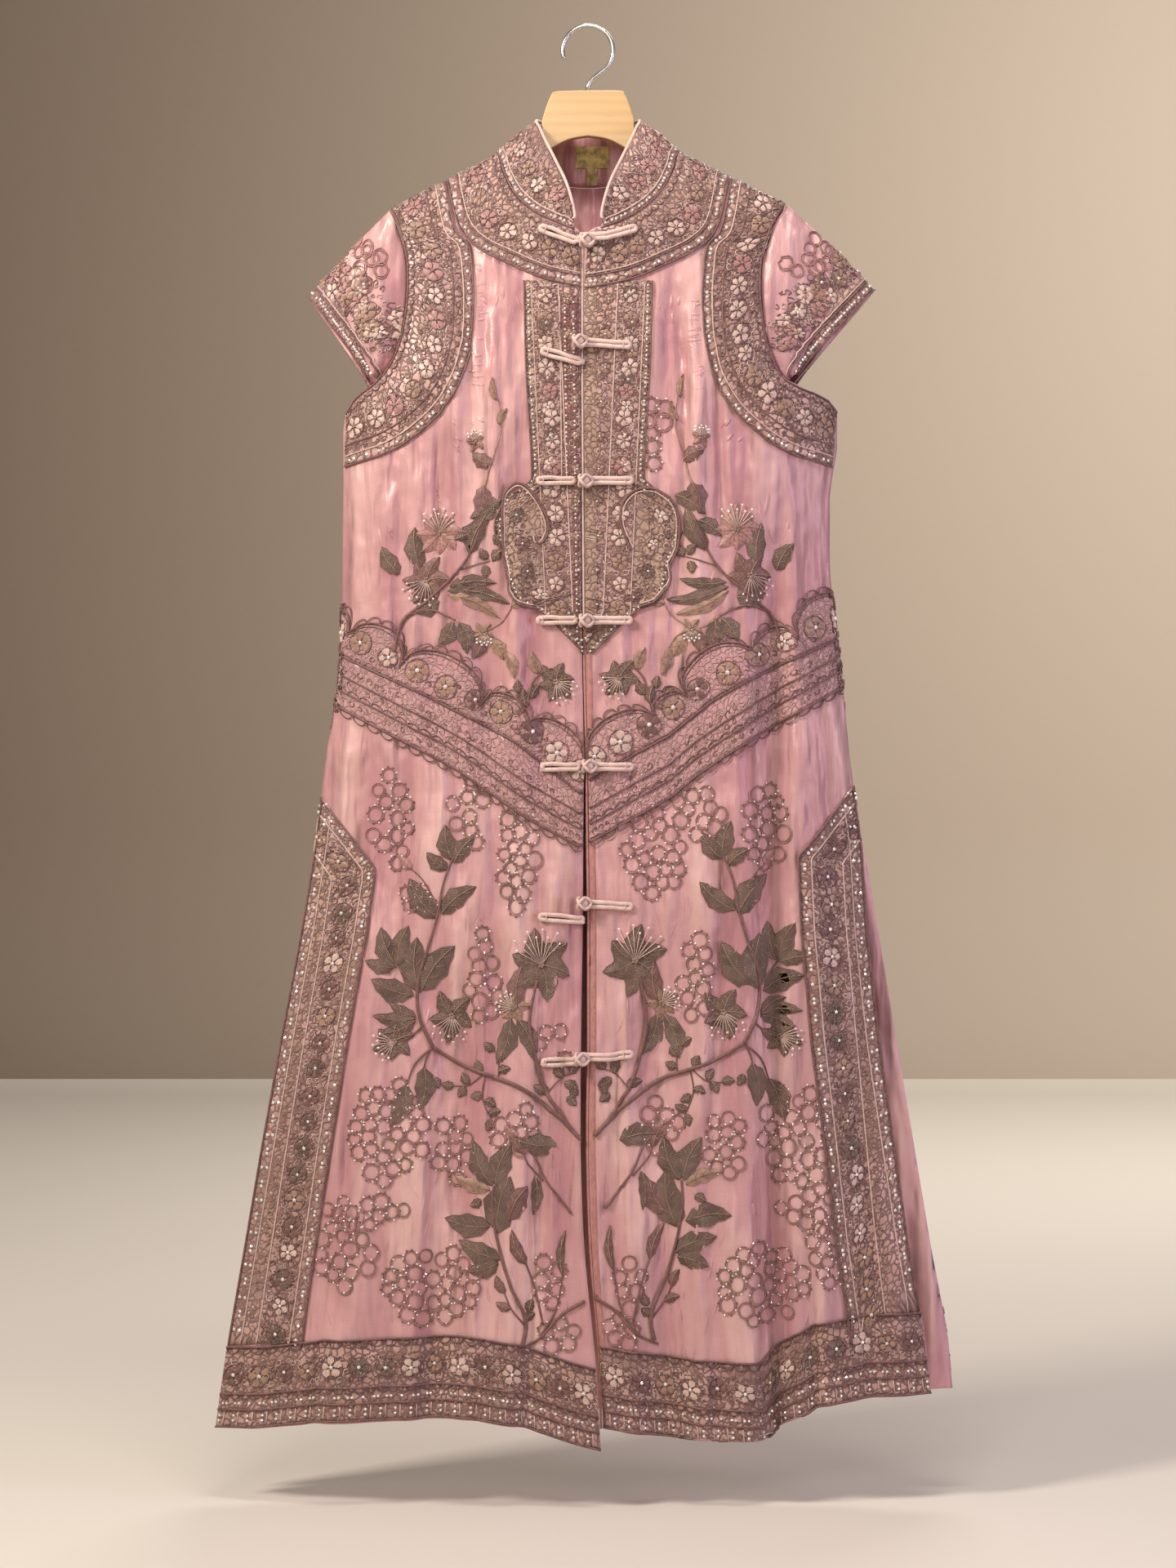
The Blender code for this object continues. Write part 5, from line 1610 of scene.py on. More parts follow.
class Nodes:
    """A short way to build a material's or a group's nodes."""

    def __init__(self, tree):
        self.tree = tree

    def add(self, kind, inputs=(), **settings):
        node = self.tree.nodes.new(kind)
        for name, value in settings.items():
            setattr(node, name, value)
        for socket, value in dict(inputs).items():
            target = node.inputs[socket]
            if isinstance(value, bpy.types.NodeSocket):
                self.tree.links.new(value, target)
            else:
                target.default_value = value
        return node

    def math(self, operation, a, b=0.0, clamp=False):
        return self.add("ShaderNodeMath", {0: a, 1: b}, operation=operation, use_clamp=clamp).outputs[0]

    def stretched(self, vector, scale):
        return self.add("ShaderNodeVectorMath", {0: vector, 1: scale}, operation="MULTIPLY").outputs[0]

    def noise(self, vector, scale, detail=3.0, roughness=0.55):
        inputs = {"Vector": vector, "Scale": scale, "Detail": detail, "Roughness": roughness}
        return self.add("ShaderNodeTexNoise", inputs).outputs["Fac"]

    def cells(self, vector, scale, feature="F1", randomness=1.0):
        inputs = {"Vector": vector, "Scale": scale, "Randomness": randomness}
        return self.add("ShaderNodeTexVoronoi", inputs, feature=feature).outputs["Distance"]

    def spread(self, value, low, high, to_low=0.0, to_high=1.0):
        inputs = {"Value": value, "From Min": low, "From Max": high, "To Min": to_low, "To Max": to_high}
        return self.add("ShaderNodeMapRange", inputs, clamp=True).outputs[0]

    def mix(self, share, a, b):
        node = self.tree.nodes.new("ShaderNodeMix")
        node.data_type = "RGBA"
        for socket, value in ((node.inputs[0], share), (node.inputs[6], a), (node.inputs[7], b)):
            if isinstance(value, bpy.types.NodeSocket):
                self.tree.links.new(value, socket)
            else:
                whole = not isinstance(value, tuple) or len(value) == 4
                socket.default_value = value if whole else (*value, 1)
        return node.outputs[2]

    def group(self, name, inputs):
        node = self.add("ShaderNodeGroup")
        node.node_tree = bpy.data.node_groups[name]
        for socket, value in inputs.items():
            if isinstance(value, bpy.types.NodeSocket):
                self.tree.links.new(value, node.inputs[socket])
            else:
                node.inputs[socket].default_value = value
        return node

    def bump(self, height, distance, strength=1.0, normal=None):
        inputs = {"Height": height, "Distance": distance, "Strength": strength}
        if normal is not None:
            inputs["Normal"] = normal
        return self.add("ShaderNodeBump", inputs).outputs[0]


def new_group(name, inputs, outputs, build):
    group = bpy.data.node_groups.new(name, "ShaderNodeTree")
    for label, kind, value in inputs:
        socket = group.interface.new_socket(label, in_out="INPUT", socket_type=kind)
        if value is not None:
            socket.default_value = value
    for label, kind in outputs:
        group.interface.new_socket(label, in_out="OUTPUT", socket_type=kind)
    nodes = Nodes(group)
    entry = group.nodes.new("NodeGroupInput")
    leave = group.nodes.new("NodeGroupOutput")
    for label, value in build(nodes, entry.outputs).items():
        group.links.new(value, leave.inputs[label])


def slub(nodes, given):
    """Uneven silk yarn: fine upright slubs, broad streaks that vary the gloss and where a sheen is painted
    into the silk's colour, and the weave's height.
    """
    fine = nodes.noise(nodes.stretched(given["Vector"], (1100, 26, 1)), 1.0, 3.0, 0.6)
    cross = nodes.noise(nodes.stretched(given["Vector"], (60, 900, 1)), 1.0, 2.0, 0.5)
    broad = nodes.noise(nodes.stretched(given["Vector"], (30, 2.6, 1)), 1.0, 2.0, 0.5)
    tone = nodes.math("ADD", nodes.math("MULTIPLY", fine, 0.62), nodes.math("MULTIPLY", cross, 0.38))
    return {
        "Tone": nodes.spread(tone, 0.36, 0.64),
        "Streak": nodes.spread(broad, 0.36, 0.66),
        "Height": nodes.math("ADD", fine, nodes.math("MULTIPLY", cross, 0.5)),
    }


def scrollwork(nodes, given):
    """Lace threads on a ground: rings and cell outlines of cord, and the height they stand."""
    noise = nodes.add("ShaderNodeTexNoise", {"Vector": given["Vector"], "Scale": 90.0, "Detail": 2.0})
    wander = noise.outputs["Color"]
    shift = nodes.stretched(wander, (0.006, 0.006, 0.006))
    place = nodes.add("ShaderNodeVectorMath", {0: given["Vector"], 1: shift}, operation="ADD").outputs[0]
    edge = nodes.cells(place, 150.0, "DISTANCE_TO_EDGE")
    outline = nodes.spread(edge, 0.14, 0.03)
    spot = nodes.cells(place, 118.0, "F1")
    ring = nodes.spread(nodes.math("ABSOLUTE", nodes.math("SUBTRACT", spot, 0.3)), 0.13, 0.04)
    heart = nodes.spread(spot, 0.2, 0.1)
    line = nodes.math("MAXIMUM", outline, ring)
    return {
        "Line": line,
        "Heart": heart,
        "Height": nodes.math("ADD", line, nodes.math("MULTIPLY", heart, 0.7)),
    }


def new_material(name, build):
    material = bpy.data.materials.new(name)
    material.use_nodes = True
    nodes = Nodes(material.node_tree)
    shader = material.node_tree.nodes["Principled BSDF"]
    object_place = nodes.add("ShaderNodeTexCoord").outputs["Object"]
    weave = nodes.add("ShaderNodeUVMap", uv_map="weave").outputs[0]
    for socket, value in build(nodes, object_place, weave).items():
        if isinstance(value, bpy.types.NodeSocket):
            material.node_tree.links.new(value, shader.inputs[socket])
        else:
            shader.inputs[socket].default_value = value
    return material


def tinted(colour, share):
    """A colour made lighter or darker."""
    return tuple(min(1.0, part * share) for part in colour[:3]) + (1.0,)


def make_finishes(sizes):
    new_group("Silk slub", [("Vector", "NodeSocketVector", None)],
              [("Tone", "NodeSocketFloat"), ("Streak", "NodeSocketFloat"), ("Height", "NodeSocketFloat")],
              slub)
    new_group("Lace scrollwork", [("Vector", "NodeSocketVector", None)],
              [("Line", "NodeSocketFloat"), ("Heart", "NodeSocketFloat"), ("Height", "NodeSocketFloat")],
              scrollwork)

    def silk(share, sheen):
        def build(nodes, place, weave):
            yarn = nodes.group("Silk slub", {"Vector": weave})
            patch = nodes.spread(nodes.noise(place, 5.5, 2.0), 0.35, 0.65)
            dull, bright = tinted(sizes.silk, 0.90 * share), tinted(sizes.silk, 1.07 * share)
            base = nodes.mix(yarn.outputs["Tone"], dull, bright)
            # Painted sheen: the broad streaks lighten the colour towards the highlight colour.
            painted_sheen_share = nodes.math("MULTIPLY", yarn.outputs["Streak"], 0.35)
            base = nodes.mix(painted_sheen_share, base, tinted(sizes.silk_glow, share))
            base = nodes.mix(nodes.math("MULTIPLY", patch, 0.22), base, tinted(sizes.silk_deep_patch_and_fold_shade, share))
            # Painted shade: a mauve cast that grows towards the wearer's left side, the larger x.
            across = nodes.add("ShaderNodeSeparateXYZ", {0: place}).outputs[0]
            side_shade = nodes.spread(nodes.noise(place, 3.1, 1.0), 0.34, 0.58, 0.25, 1.0)
            side_shade = nodes.math("MULTIPLY", side_shade, nodes.spread(across, 0.04, 0.26, 0, 0.6))
            base = nodes.mix(side_shade, base, tinted(sizes.painted_mauve_side_shade, share))
            soft = nodes.noise(nodes.stretched(place, (25, 25, 4.2)), 1.0, 2.0, 0.5)
            pucker = nodes.noise(nodes.stretched(place, (60, 60, 34)), 1.0, 1.0, 0.5)
            gather = nodes.noise(nodes.stretched(place, (150, 150, 24)), 1.0, 1.0, 0.5)
            gathered = nodes.spread(nodes.noise(place, 8.0, 1.0), 0.46, 0.6)
            # Painted shade in the fold hollows and painted highlight on the fold crests, from the same noise
            # that bumps the folds.
            fold_shade_share = nodes.spread(soft, 0.50, 0.36, 0, 0.62)
            base = nodes.mix(fold_shade_share, base, tinted(sizes.silk_deep_patch_and_fold_shade, share))
            fold_highlight_share = nodes.spread(soft, 0.54, 0.68, 0, 0.5)
            base = nodes.mix(fold_highlight_share, base, tinted(sizes.silk_glow, share))
            normal = nodes.bump(soft, 0.036, 1.0)
            normal = nodes.bump(pucker, 0.0042, 1.0, normal)
            normal = nodes.bump(nodes.math("MULTIPLY", gather, gathered), 0.0020, 1.0, normal)
            normal = nodes.bump(yarn.outputs["Height"], 0.0003, 0.5, normal)
            return {
                "Base Color": base,
                "Roughness": nodes.spread(yarn.outputs["Streak"], 0, 1, 0.27, 0.40),
                "Normal": normal,
                "Sheen Weight": sheen,
                "Sheen Roughness": 0.4,
                "Sheen Tint": tinted(sizes.silk_glow, 1.0),
                "Specular IOR Level": 0.9,
                "Specular Tint": tinted(sizes.silk_glow, 1.1),
            }
        return build

    new_material("Pink slub silk", silk(1.0, 0.35))
    # The lining is the same silk painted 1.3 times lighter: painted light on the inner faces, which lie in
    # shade.
    new_material("Silk lining", silk(1.3, 0.2))

    def lace(ground_colour, shade, warmth, line_share):
        def build(nodes, place, weave):
            scroll = nodes.group("Lace scrollwork", {"Vector": weave})
            tone = nodes.spread(nodes.noise(place, 14.0, 2.0), 0.36, 0.64)
            gold = nodes.spread(nodes.noise(place, 19.0, 1.0), 0.42, 0.58)
            ground = nodes.mix(tone, tinted(ground_colour, 1.0), tinted(ground_colour, shade))
            ground = nodes.mix(nodes.math("MULTIPLY", gold, warmth), ground, tinted(sizes.gold_thread, 1.15))
            thread = nodes.mix(tone, tinted(sizes.dark_thread, 0.9), tinted(sizes.dark_thread, 1.9))
            heart = nodes.math("MULTIPLY", scroll.outputs["Heart"], 0.8)
            base = nodes.mix(heart, ground, tinted(sizes.pale_thread, 1.1))
            base = nodes.mix(nodes.math("MULTIPLY", scroll.outputs["Line"], line_share), base, thread)
            soft = nodes.noise(nodes.stretched(place, (24, 24, 6)), 1.0, 2.0, 0.5)
            normal = nodes.bump(soft, 0.012, 0.8)
            return {
                "Base Color": base,
                "Roughness": nodes.spread(scroll.outputs["Line"], 0, 1, 0.36, 0.66),
                "Normal": nodes.bump(scroll.outputs["Height"], 0.0013, 1.0, normal),
                "Sheen Weight": 0.25,
            }
        return build

    new_material("Lace over silk", lace(sizes.lace_ground, 0.46, 0.5, 0.8))
    new_material("Open lace on silk", lace(sizes.silk, 0.82, 0.2, 0.16))
    new_material("Tan lace", lace(sizes.tan_lace, 0.62, 0.6, 0.6))
    new_material("Rust brocade strip", lace(sizes.rust, 0.7, 0.25, 0.6))

    def thread(colour, low, high, gloss, fine=900.0):
        def build(nodes, place, weave):
            tone = nodes.noise(place, 160.0, 2.0)
            twist = nodes.noise(nodes.stretched(weave, (fine, fine * 0.3, 1)), 1.0, 1.0)
            blend = nodes.math("ADD", nodes.math("MULTIPLY", tone, 0.6), nodes.math("MULTIPLY", twist, 0.4))
            share = nodes.spread(blend, 0.38, 0.62)
            return {
                "Base Color": nodes.mix(share, tinted(colour, low), tinted(colour, high)),
                "Roughness": nodes.spread(share, 0, 1, gloss + 0.1, gloss),
                "Normal": nodes.bump(twist, 0.0003, 0.6),
                "Sheen Weight": 0.2,
            }
        return build

    new_material(THREADS["dark"], thread(sizes.dark_thread, 0.8, 1.7, 0.45))
    new_material(THREADS["pale"], thread(sizes.pale_thread, 0.72, 1.1, 0.4))
    new_material(THREADS["gold"], thread(sizes.gold_thread, 0.75, 1.25, 0.38))
    new_material(THREADS["branch"], thread(sizes.branch_thread, 0.8, 1.35, 0.5))
    new_material(THREADS["blush"], thread(sizes.blush_thread, 0.85, 1.2, 0.42))
    new_material("Frog cord silk", thread(sizes.cord, 0.86, 1.05, 0.42, 500.0))
    new_material("Salmon edge silk", thread(sizes.edge, 0.8, 1.1, 0.42, 500.0))

    def leaf(nodes, place, weave):
        parts = nodes.add("ShaderNodeSeparateXYZ", {0: weave})
        slant = nodes.math("ADD", parts.outputs[0], nodes.math("ABSOLUTE", parts.outputs[1]))
        stitch = nodes.math("SINE", nodes.math("MULTIPLY", slant, 3100.0))
        tone = nodes.spread(nodes.noise(place, 70.0, 2.0), 0.35, 0.65)
        base = nodes.mix(tone, tinted(sizes.leaf_thread, 0.62), tinted(sizes.leaf_thread, 1.35))
        base = nodes.mix(nodes.spread(stitch, 0.2, 1.0, 0.0, 0.5), base, tinted(sizes.gold_thread, 1.15))
        return {
            "Base Color": base,
            "Roughness": nodes.spread(stitch, -1, 1, 0.5, 0.34),
            "Normal": nodes.bump(stitch, 0.0004, 0.9),
            "Sheen Weight": 0.15,
        }

    new_material(THREADS["leaf"], leaf)

    def bead(nodes, place, weave):
        tone = nodes.noise(place, 330.0, 1.0)
        return {
            "Base Color": nodes.mix(
                nodes.spread(tone, 0.35, 0.65), tinted(sizes.bead, 0.85), tinted(sizes.bead, 1.2),
            ),
            "Roughness": nodes.spread(tone, 0.3, 0.7, 0.08, 0.2),
            "Metallic": 0.15,
            "Specular IOR Level": 1.0,
            "Coat Weight": 1.0,
            "Coat Roughness": 0.05,
        }

    new_material(THREADS["bead"], bead)

    def wood(nodes, place, weave):
        parts = nodes.stretched(place, (6, 60, 34))
        wander = nodes.noise(nodes.stretched(place, (9, 40, 30)), 1.0, 2.0)
        waves = {"Vector": parts, "Scale": 1.0, "Distortion": 5.0, "Detail": 3.0}
        rings = nodes.add("ShaderNodeTexWave", waves, bands_direction="Z").outputs["Fac"]
        pores = nodes.noise(nodes.stretched(place, (60, 900, 900)), 1.0, 2.0)
        base = nodes.mix(rings, tinted(sizes.wood, 0.93), tinted(sizes.wood, 1.03))
        base = nodes.mix(nodes.spread(wander, 0.4, 0.7, 0, 0.5), base, tinted(sizes.wood, 0.84))
        base = nodes.mix(nodes.spread(pores, 0.62, 0.75, 0, 0.25), base, tinted(sizes.wood, 0.62))
        return {
            "Base Color": base,
            "Roughness": nodes.spread(wander, 0.3, 0.7, 0.3, 0.45),
            "Normal": nodes.bump(pores, 0.0002, 0.4),
            "Coat Weight": 0.35,
            "Coat Roughness": 0.25,
        }

    new_material("Pale varnished wood", wood)

    def steel(nodes, place, weave):
        drawn = nodes.noise(nodes.stretched(place, (300, 300, 40)), 1.0, 2.0)
        return {
            "Base Color": nodes.mix(drawn, (0.55, 0.54, 0.52), (0.72, 0.71, 0.69)),
            "Metallic": 1.0,
            "Roughness": nodes.spread(drawn, 0.3, 0.7, 0.18, 0.32),
        }

    new_material("Drawn steel wire", steel)

    def label(nodes, place, weave):
        threads = nodes.add("ShaderNodeSeparateXYZ", {0: place})
        warp = nodes.math("SINE", nodes.math("MULTIPLY", threads.outputs[0], 5200.0))
        weft = nodes.math("SINE", nodes.math("MULTIPLY", threads.outputs[2], 5200.0))
        cloth_grain = nodes.math("MULTIPLY", warp, weft)
        mottle = nodes.spread(nodes.noise(place, 130.0, 3.0), 0.38, 0.62)
        petals = nodes.spread(nodes.cells(place, 150.0), 0.34, 0.2)
        base = nodes.mix(mottle, tinted(sizes.label, 0.7), tinted(sizes.label, 1.5))
        base = nodes.mix(nodes.math("MULTIPLY", petals, 0.6), base, tinted(sizes.pale_thread, 1.2))
        return {
            "Base Color": base,
            "Roughness": nodes.spread(mottle, 0, 1, 0.6, 0.4),
            "Normal": nodes.bump(cloth_grain, 0.0003, 0.6),
            "Sheen Weight": 0.2,
        }

    new_material("Olive woven label", label)

    def plaster(low, high):
        def build(nodes, place, weave):
            parts = nodes.add("ShaderNodeSeparateXYZ", {0: place})
            # Painted light: the colour runs from low at the left to high at the right, so the backdrop is
            # painted darker to the left and lighter to the right, and the floor slightly so.
            across = nodes.spread(parts.outputs[0], -1.5, 1.4)
            grain = nodes.noise(place, 60.0, 3.0)
            return {
                "Base Color": nodes.mix(across, low, high),
                "Roughness": nodes.spread(grain, 0, 1, 0.75, 0.95),
                "Normal": nodes.bump(grain, 0.0006, 0.3),
            }
        return build

    new_material("Backdrop plaster", plaster((0.30, 0.225, 0.165, 1), (0.56, 0.465, 0.375, 1)))
    new_material("Pale floor", plaster((0.72, 0.65, 0.57, 1), (0.76, 0.70, 0.62, 1)))


# Sizes and colours

def colour(name, text, value):
    return bpy.props.FloatVectorProperty(
        name=name, description=text, default=value, subtype="COLOR", size=3, min=0, max=1,
    )


class RobeColours(bpy.types.PropertyGroup):
    silk: colour("Silk", "Main colour of the robe's silk", (0.545, 0.285, 0.283))
    silk_glow: colour("Silk highlight", "Colour of the silk where it catches light", (0.76, 0.515, 0.46))
    # Deeper tone of random patches in the silk, and also the painted shade in its fold hollows.
    silk_deep_patch_and_fold_shade: colour("Silk shade", "Deeper patches in the silk", (0.39, 0.165, 0.19))
    # Colour of the painted mauve shade towards the wearer's left side.
    painted_mauve_side_shade: colour(
        "Painted mauve shade", "Cooler cast of the silk towards the wearer's left side", (0.42, 0.245, 0.30),
    )
    lace_ground: colour("Lace ground", "Cloth seen between the lace threads", (0.60, 0.35, 0.305))
    tan_lace: colour("Tan lace", "Ground of the round lobes below the placket", (0.52, 0.34, 0.25))
    rust: colour("Rust strip", "Dark red-brown strip beside the front edge", (0.21, 0.062, 0.048))
    dark_thread: colour("Dark thread", "Taupe thread that outlines the lace", (0.125, 0.054, 0.047))
    pale_thread: colour("Pale thread", "Pale thread of the lace flowers", (0.60, 0.42, 0.355))
    gold_thread: colour("Gold-tan thread", "Warm tan thread", (0.30, 0.172, 0.116))
    branch_thread: colour("Branch thread", "Thread of the branches and stems", (0.150, 0.066, 0.055))
    leaf_thread: colour("Leaf thread", "Olive-brown thread of the leaves", (0.130, 0.080, 0.059))
    blush_thread: colour("Blush thread", "Mauve cord of the rings", (0.34, 0.155, 0.14))
    cord: colour("Frog cord", "Cream-pink silk of the frogs and piping", (0.66, 0.47, 0.41))
    edge: colour("Edge strip", "Salmon silk on the lower part of the front edge", (0.43, 0.185, 0.155))
    bead: colour("Beads", "Cut beads sewn to the lace", (0.93, 0.84, 0.78))
    label: colour("Label", "Woven label in the collar", (0.58, 0.48, 0.17))
    wood: colour("Hanger wood", "Pale wood of the hanger", (0.56, 0.36, 0.165))


def length(name, text, value, low, high):
    return bpy.props.FloatProperty(
        name=name, description=text, default=value, min=low, max=high, unit="LENGTH",
    )


class RobeSizes(bpy.types.PropertyGroup):
    cloth_step: length("Cloth step", "Distance between the points of the fine cloth", 0.0055, 0.003, 0.02)
    frog_cord: length("Frog cord", "Thickness of one of a frog's two cords", 0.0044, 0.002, 0.006)
    frog_spread: length(
        "Frog spread", "Distance between the middles of a frog's two cords", 0.0045, 0.003, 0.01,
    )
    knot_size: length("Knot", "Width of a frog's knotted button", 0.018, 0.008, 0.02)
    lace_step: length("Lace step", "Distance between the points of the lace strips", 0.005, 0.003, 0.02)
    hanger_round: length("Hanger rounding", "Rounding of the hanger's edges", 0.0036, 0.001, 0.0045)
    light_power: bpy.props.FloatProperty(
        name="Light", description="Power of the main soft light in watts", default=41.0, min=1.0, max=500.0,
        unit="POWER",
    )


# Operators

MADE = {}


class RobeStep:
    bl_options = {"REGISTER", "UNDO"}


class ROBE_OT_finishes(RobeStep, bpy.types.Operator):
    """Mixes the finishes of silk, lace, threads, beads, wood and wire"""

    bl_idname = "robe.finishes"
    bl_label = "Mix finishes"

    def execute(self, context):
        make_finishes(context.scene.robe_colours)
        return {"FINISHED"}


def two_faced(item, outer, inner, outward):
    """Gives the outer faces one finish and the rest another."""
    item.data.materials.clear()
    item.data.materials.append(bpy.data.materials[outer])
    item.data.materials.append(bpy.data.materials[inner])
    for face in item.data.polygons:
        face.material_index = 0 if face.normal.dot(outward(face.center)) > 0 else 1


def lay_panel(name, nodes, grid, outward, facing, wall=CLOTH_WALL, outer="Pink slub silk"):
    panel = Cloth(name, grid, outward, wall, facing)
    CLOTHS[name] = panel
    item = link(name, panel.mesh.copy())
    item.data.name = name
    give_wall(item, wall)
    two_faced(item, outer, "Silk lining", outward)
    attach(item, ROOT)
    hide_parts(*nodes)
    return item


class ROBE_OT_cloth(RobeStep, bpy.types.Operator):
    """Hangs the two fronts and the back as fine silk sheets with their folds and creases"""

    bl_idname = "robe.cloth"
    bl_label = "Hang fronts and back"

    def execute(self, context):
        step = context.scene.robe_sizes.cloth_step / MM
        for side in ("right", "left"):
            rows = FRONT_CUTS[side][0]
            columns = ceil(350 / step)
            grid = []
            for place in fine_places(rows, step):
                across = [1 - (1 - c / columns) ** 1.15 for c in range(columns + 1)]
                grid.append([front_point(side, place, u) for u in across])
            name = "front_" + side
            MADE[name] = lay_panel(name + "_silk", [name], grid, lambda place: Vector((0, -1, 0)), -1)
            CLOTHS[name] = CLOTHS.pop(name + "_silk")
        columns = ceil(600 / step)
        grid = [
            [back_point(place, 2 * c / columns - 1) for c in range(columns + 1)]
            for place in fine_places(BACK, step * 1.4)
        ]
        MADE["back"] = lay_panel(
            "back_silk", ["back_right", "back_left"], grid, lambda place: Vector((0, 1, 0)), 1,
        )
        CLOTHS["back"] = CLOTHS.pop("back_silk")
        return {"FINISHED"}


class ROBE_OT_sleeves(RobeStep, bpy.types.Operator):
    """Sets the two cap sleeves with their lace hems and sprays of needlework"""

    bl_idname = "robe.sleeves"
    bl_label = "Set sleeves"

    def execute(self, context):
        for end in SLEEVES:
            grid, sign = sleeve_grid(end)

            def outward(place, sign=sign):
                return Vector((sign, 0, 1.5)) + Vector((0, 1 if place.y > 0 else -1, 0))

            name = "sleeve_" + end.side
            item = lay_panel(name + "_silk", [name], grid, outward, 0)
            panel = CLOTHS[name] = CLOTHS.pop(name + "_silk")
            MADE[name] = item
            columns = panel.columns
            band = [
                [panel.on_grid(row, columns - 1 - shift, SEAM_GAP)[0] for shift in range(5)]
                for row in range(panel.rows)
            ]
            mesh = grid_mesh("lace_sleeve_" + end.side + "_band", band, outward)
            mesh.materials.append(bpy.data.materials["Lace over silk"])
            trim = link("lace_sleeve_" + end.side + "_band", mesh)
            give_wall(trim, LACE_WALL)
            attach(trim, ROOT)
            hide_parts("lace_sleeve_" + end.side)
            rng = random.Random(7 if sign > 0 else 9)
            needles = Needlework(THREAD_ORDER)
            laid_at, length = laid_on_sheet(panel, True, LIFT)
            for line in (
                Trim("cord", 0.8, 0, 1.1, "dark"), Trim("beads", 5.5, 8, 1.5, "bead"),
                Trim("cord", 11, 0, 1.0, "dark"), Trim("cord", 13.4, 0, 0.8, "pale"),
            ):
                threaded(laid_at, needles, line, length, rng)
            laid_at, length = laid_on_sheet(panel, True, 0.3)
            for _ in range(430):
                run, inset = length * rng.uniform(0.08, 0.92), rng.triangular(14, 62, 24)
                curl(laid_at, needles, run, inset, rng.uniform(2.4, 4.2), rng, "mixed")
            for _ in range(44):
                run, inset = length * rng.uniform(0.1, 0.9), rng.triangular(18, 58, 26)
                size, thread = rng.uniform(6.5, 10), rng.choice(("pale", "leafy", "pale"))
                blossom(laid_at, needles, run, inset, size, rng, thread)
            for _ in range(16):
                run, inset, reach = length * rng.uniform(0.3, 0.7), rng.uniform(48, 78), rng.uniform(6, 8)
                for share, thick in ((1.0, 0.8), (0.78, 0.5)):
                    ring = []
                    for k in range(14):
                        turn = 2 * pi * k / 14
                        place = (run + reach * share * cos(turn), inset + reach * share * sin(turn))
                        ring.append(laid_at(*place, 0.4))
                    needles.cord(ring, thick, "blush", sides=3, closed=True)
            MADE[name + "_work"] = needles.build("needlework_sleeve_" + end.side)
            MADE[name + "_lace"] = trim
        return {"FINISHED"}


class ROBE_OT_collar(RobeStep, bpy.types.Operator):
    """Stands the collar up with its lace, its piping and its label"""

    bl_idname = "robe.collar"
    bl_label = "Stand collar"

    def execute(self, context):
        grid = collar_grid()

        def outward(place):
            return Vector((place.x, place.y, 0.02))

        item = lay_panel("collar_cloth", ["collar"], grid, outward, 0, COLLAR_WALL, "Lace over silk")
        panel = CLOTHS["collar"] = CLOTHS.pop("collar_cloth")
        MADE["collar"] = item
        needles = Needlework(THREAD_ORDER)
        rng = random.Random(3)
        laid_at, length = laid_on_sheet(panel, False, 0.1)
        for trim in COLLAR_TRIMS:
            threaded(laid_at, needles, trim, length, rng)
        MADE["collar_work"] = needles.build("needlework_collar")
        line = []
        for index, row in enumerate(grid):
            before, after = grid[max(index - 1, 0)][-1], grid[min(index + 1, len(grid) - 1)][-1]
            along = (after - before).normalized()
            up = row[-1] - row[-2]
            up = (up - along * up.dot(along)).normalized()
            out = up.cross(along)
            out *= 1 if out.dot(Vector((row[-1].x, row[-1].y, 0))) > 0 else -1
            lift = (PIPING_RADIUS + 0.6) * MM
            line.append((row[-1] + up * lift + out * COLLAR_WALL / 2 * MM, out))
        piping = Needlework(["cord"])
        piping.cord(line, PIPING_RADIUS, "cord", sides=10)
        MADE["collar_piping"] = cord_piece(piping, "collar_piping_cord", "Frog cord silk", ["collar_piping"])
        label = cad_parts["neck_label"]
        label.data.materials.clear()
        label.data.materials.append(bpy.data.materials["Olive woven label"])
        return {"FINISHED"}


def cord_piece(needles, name, finish, nodes):
    THREADS["cord"] = finish
    item = needles.build(name)
    if nodes:
        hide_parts(*nodes)
    return item


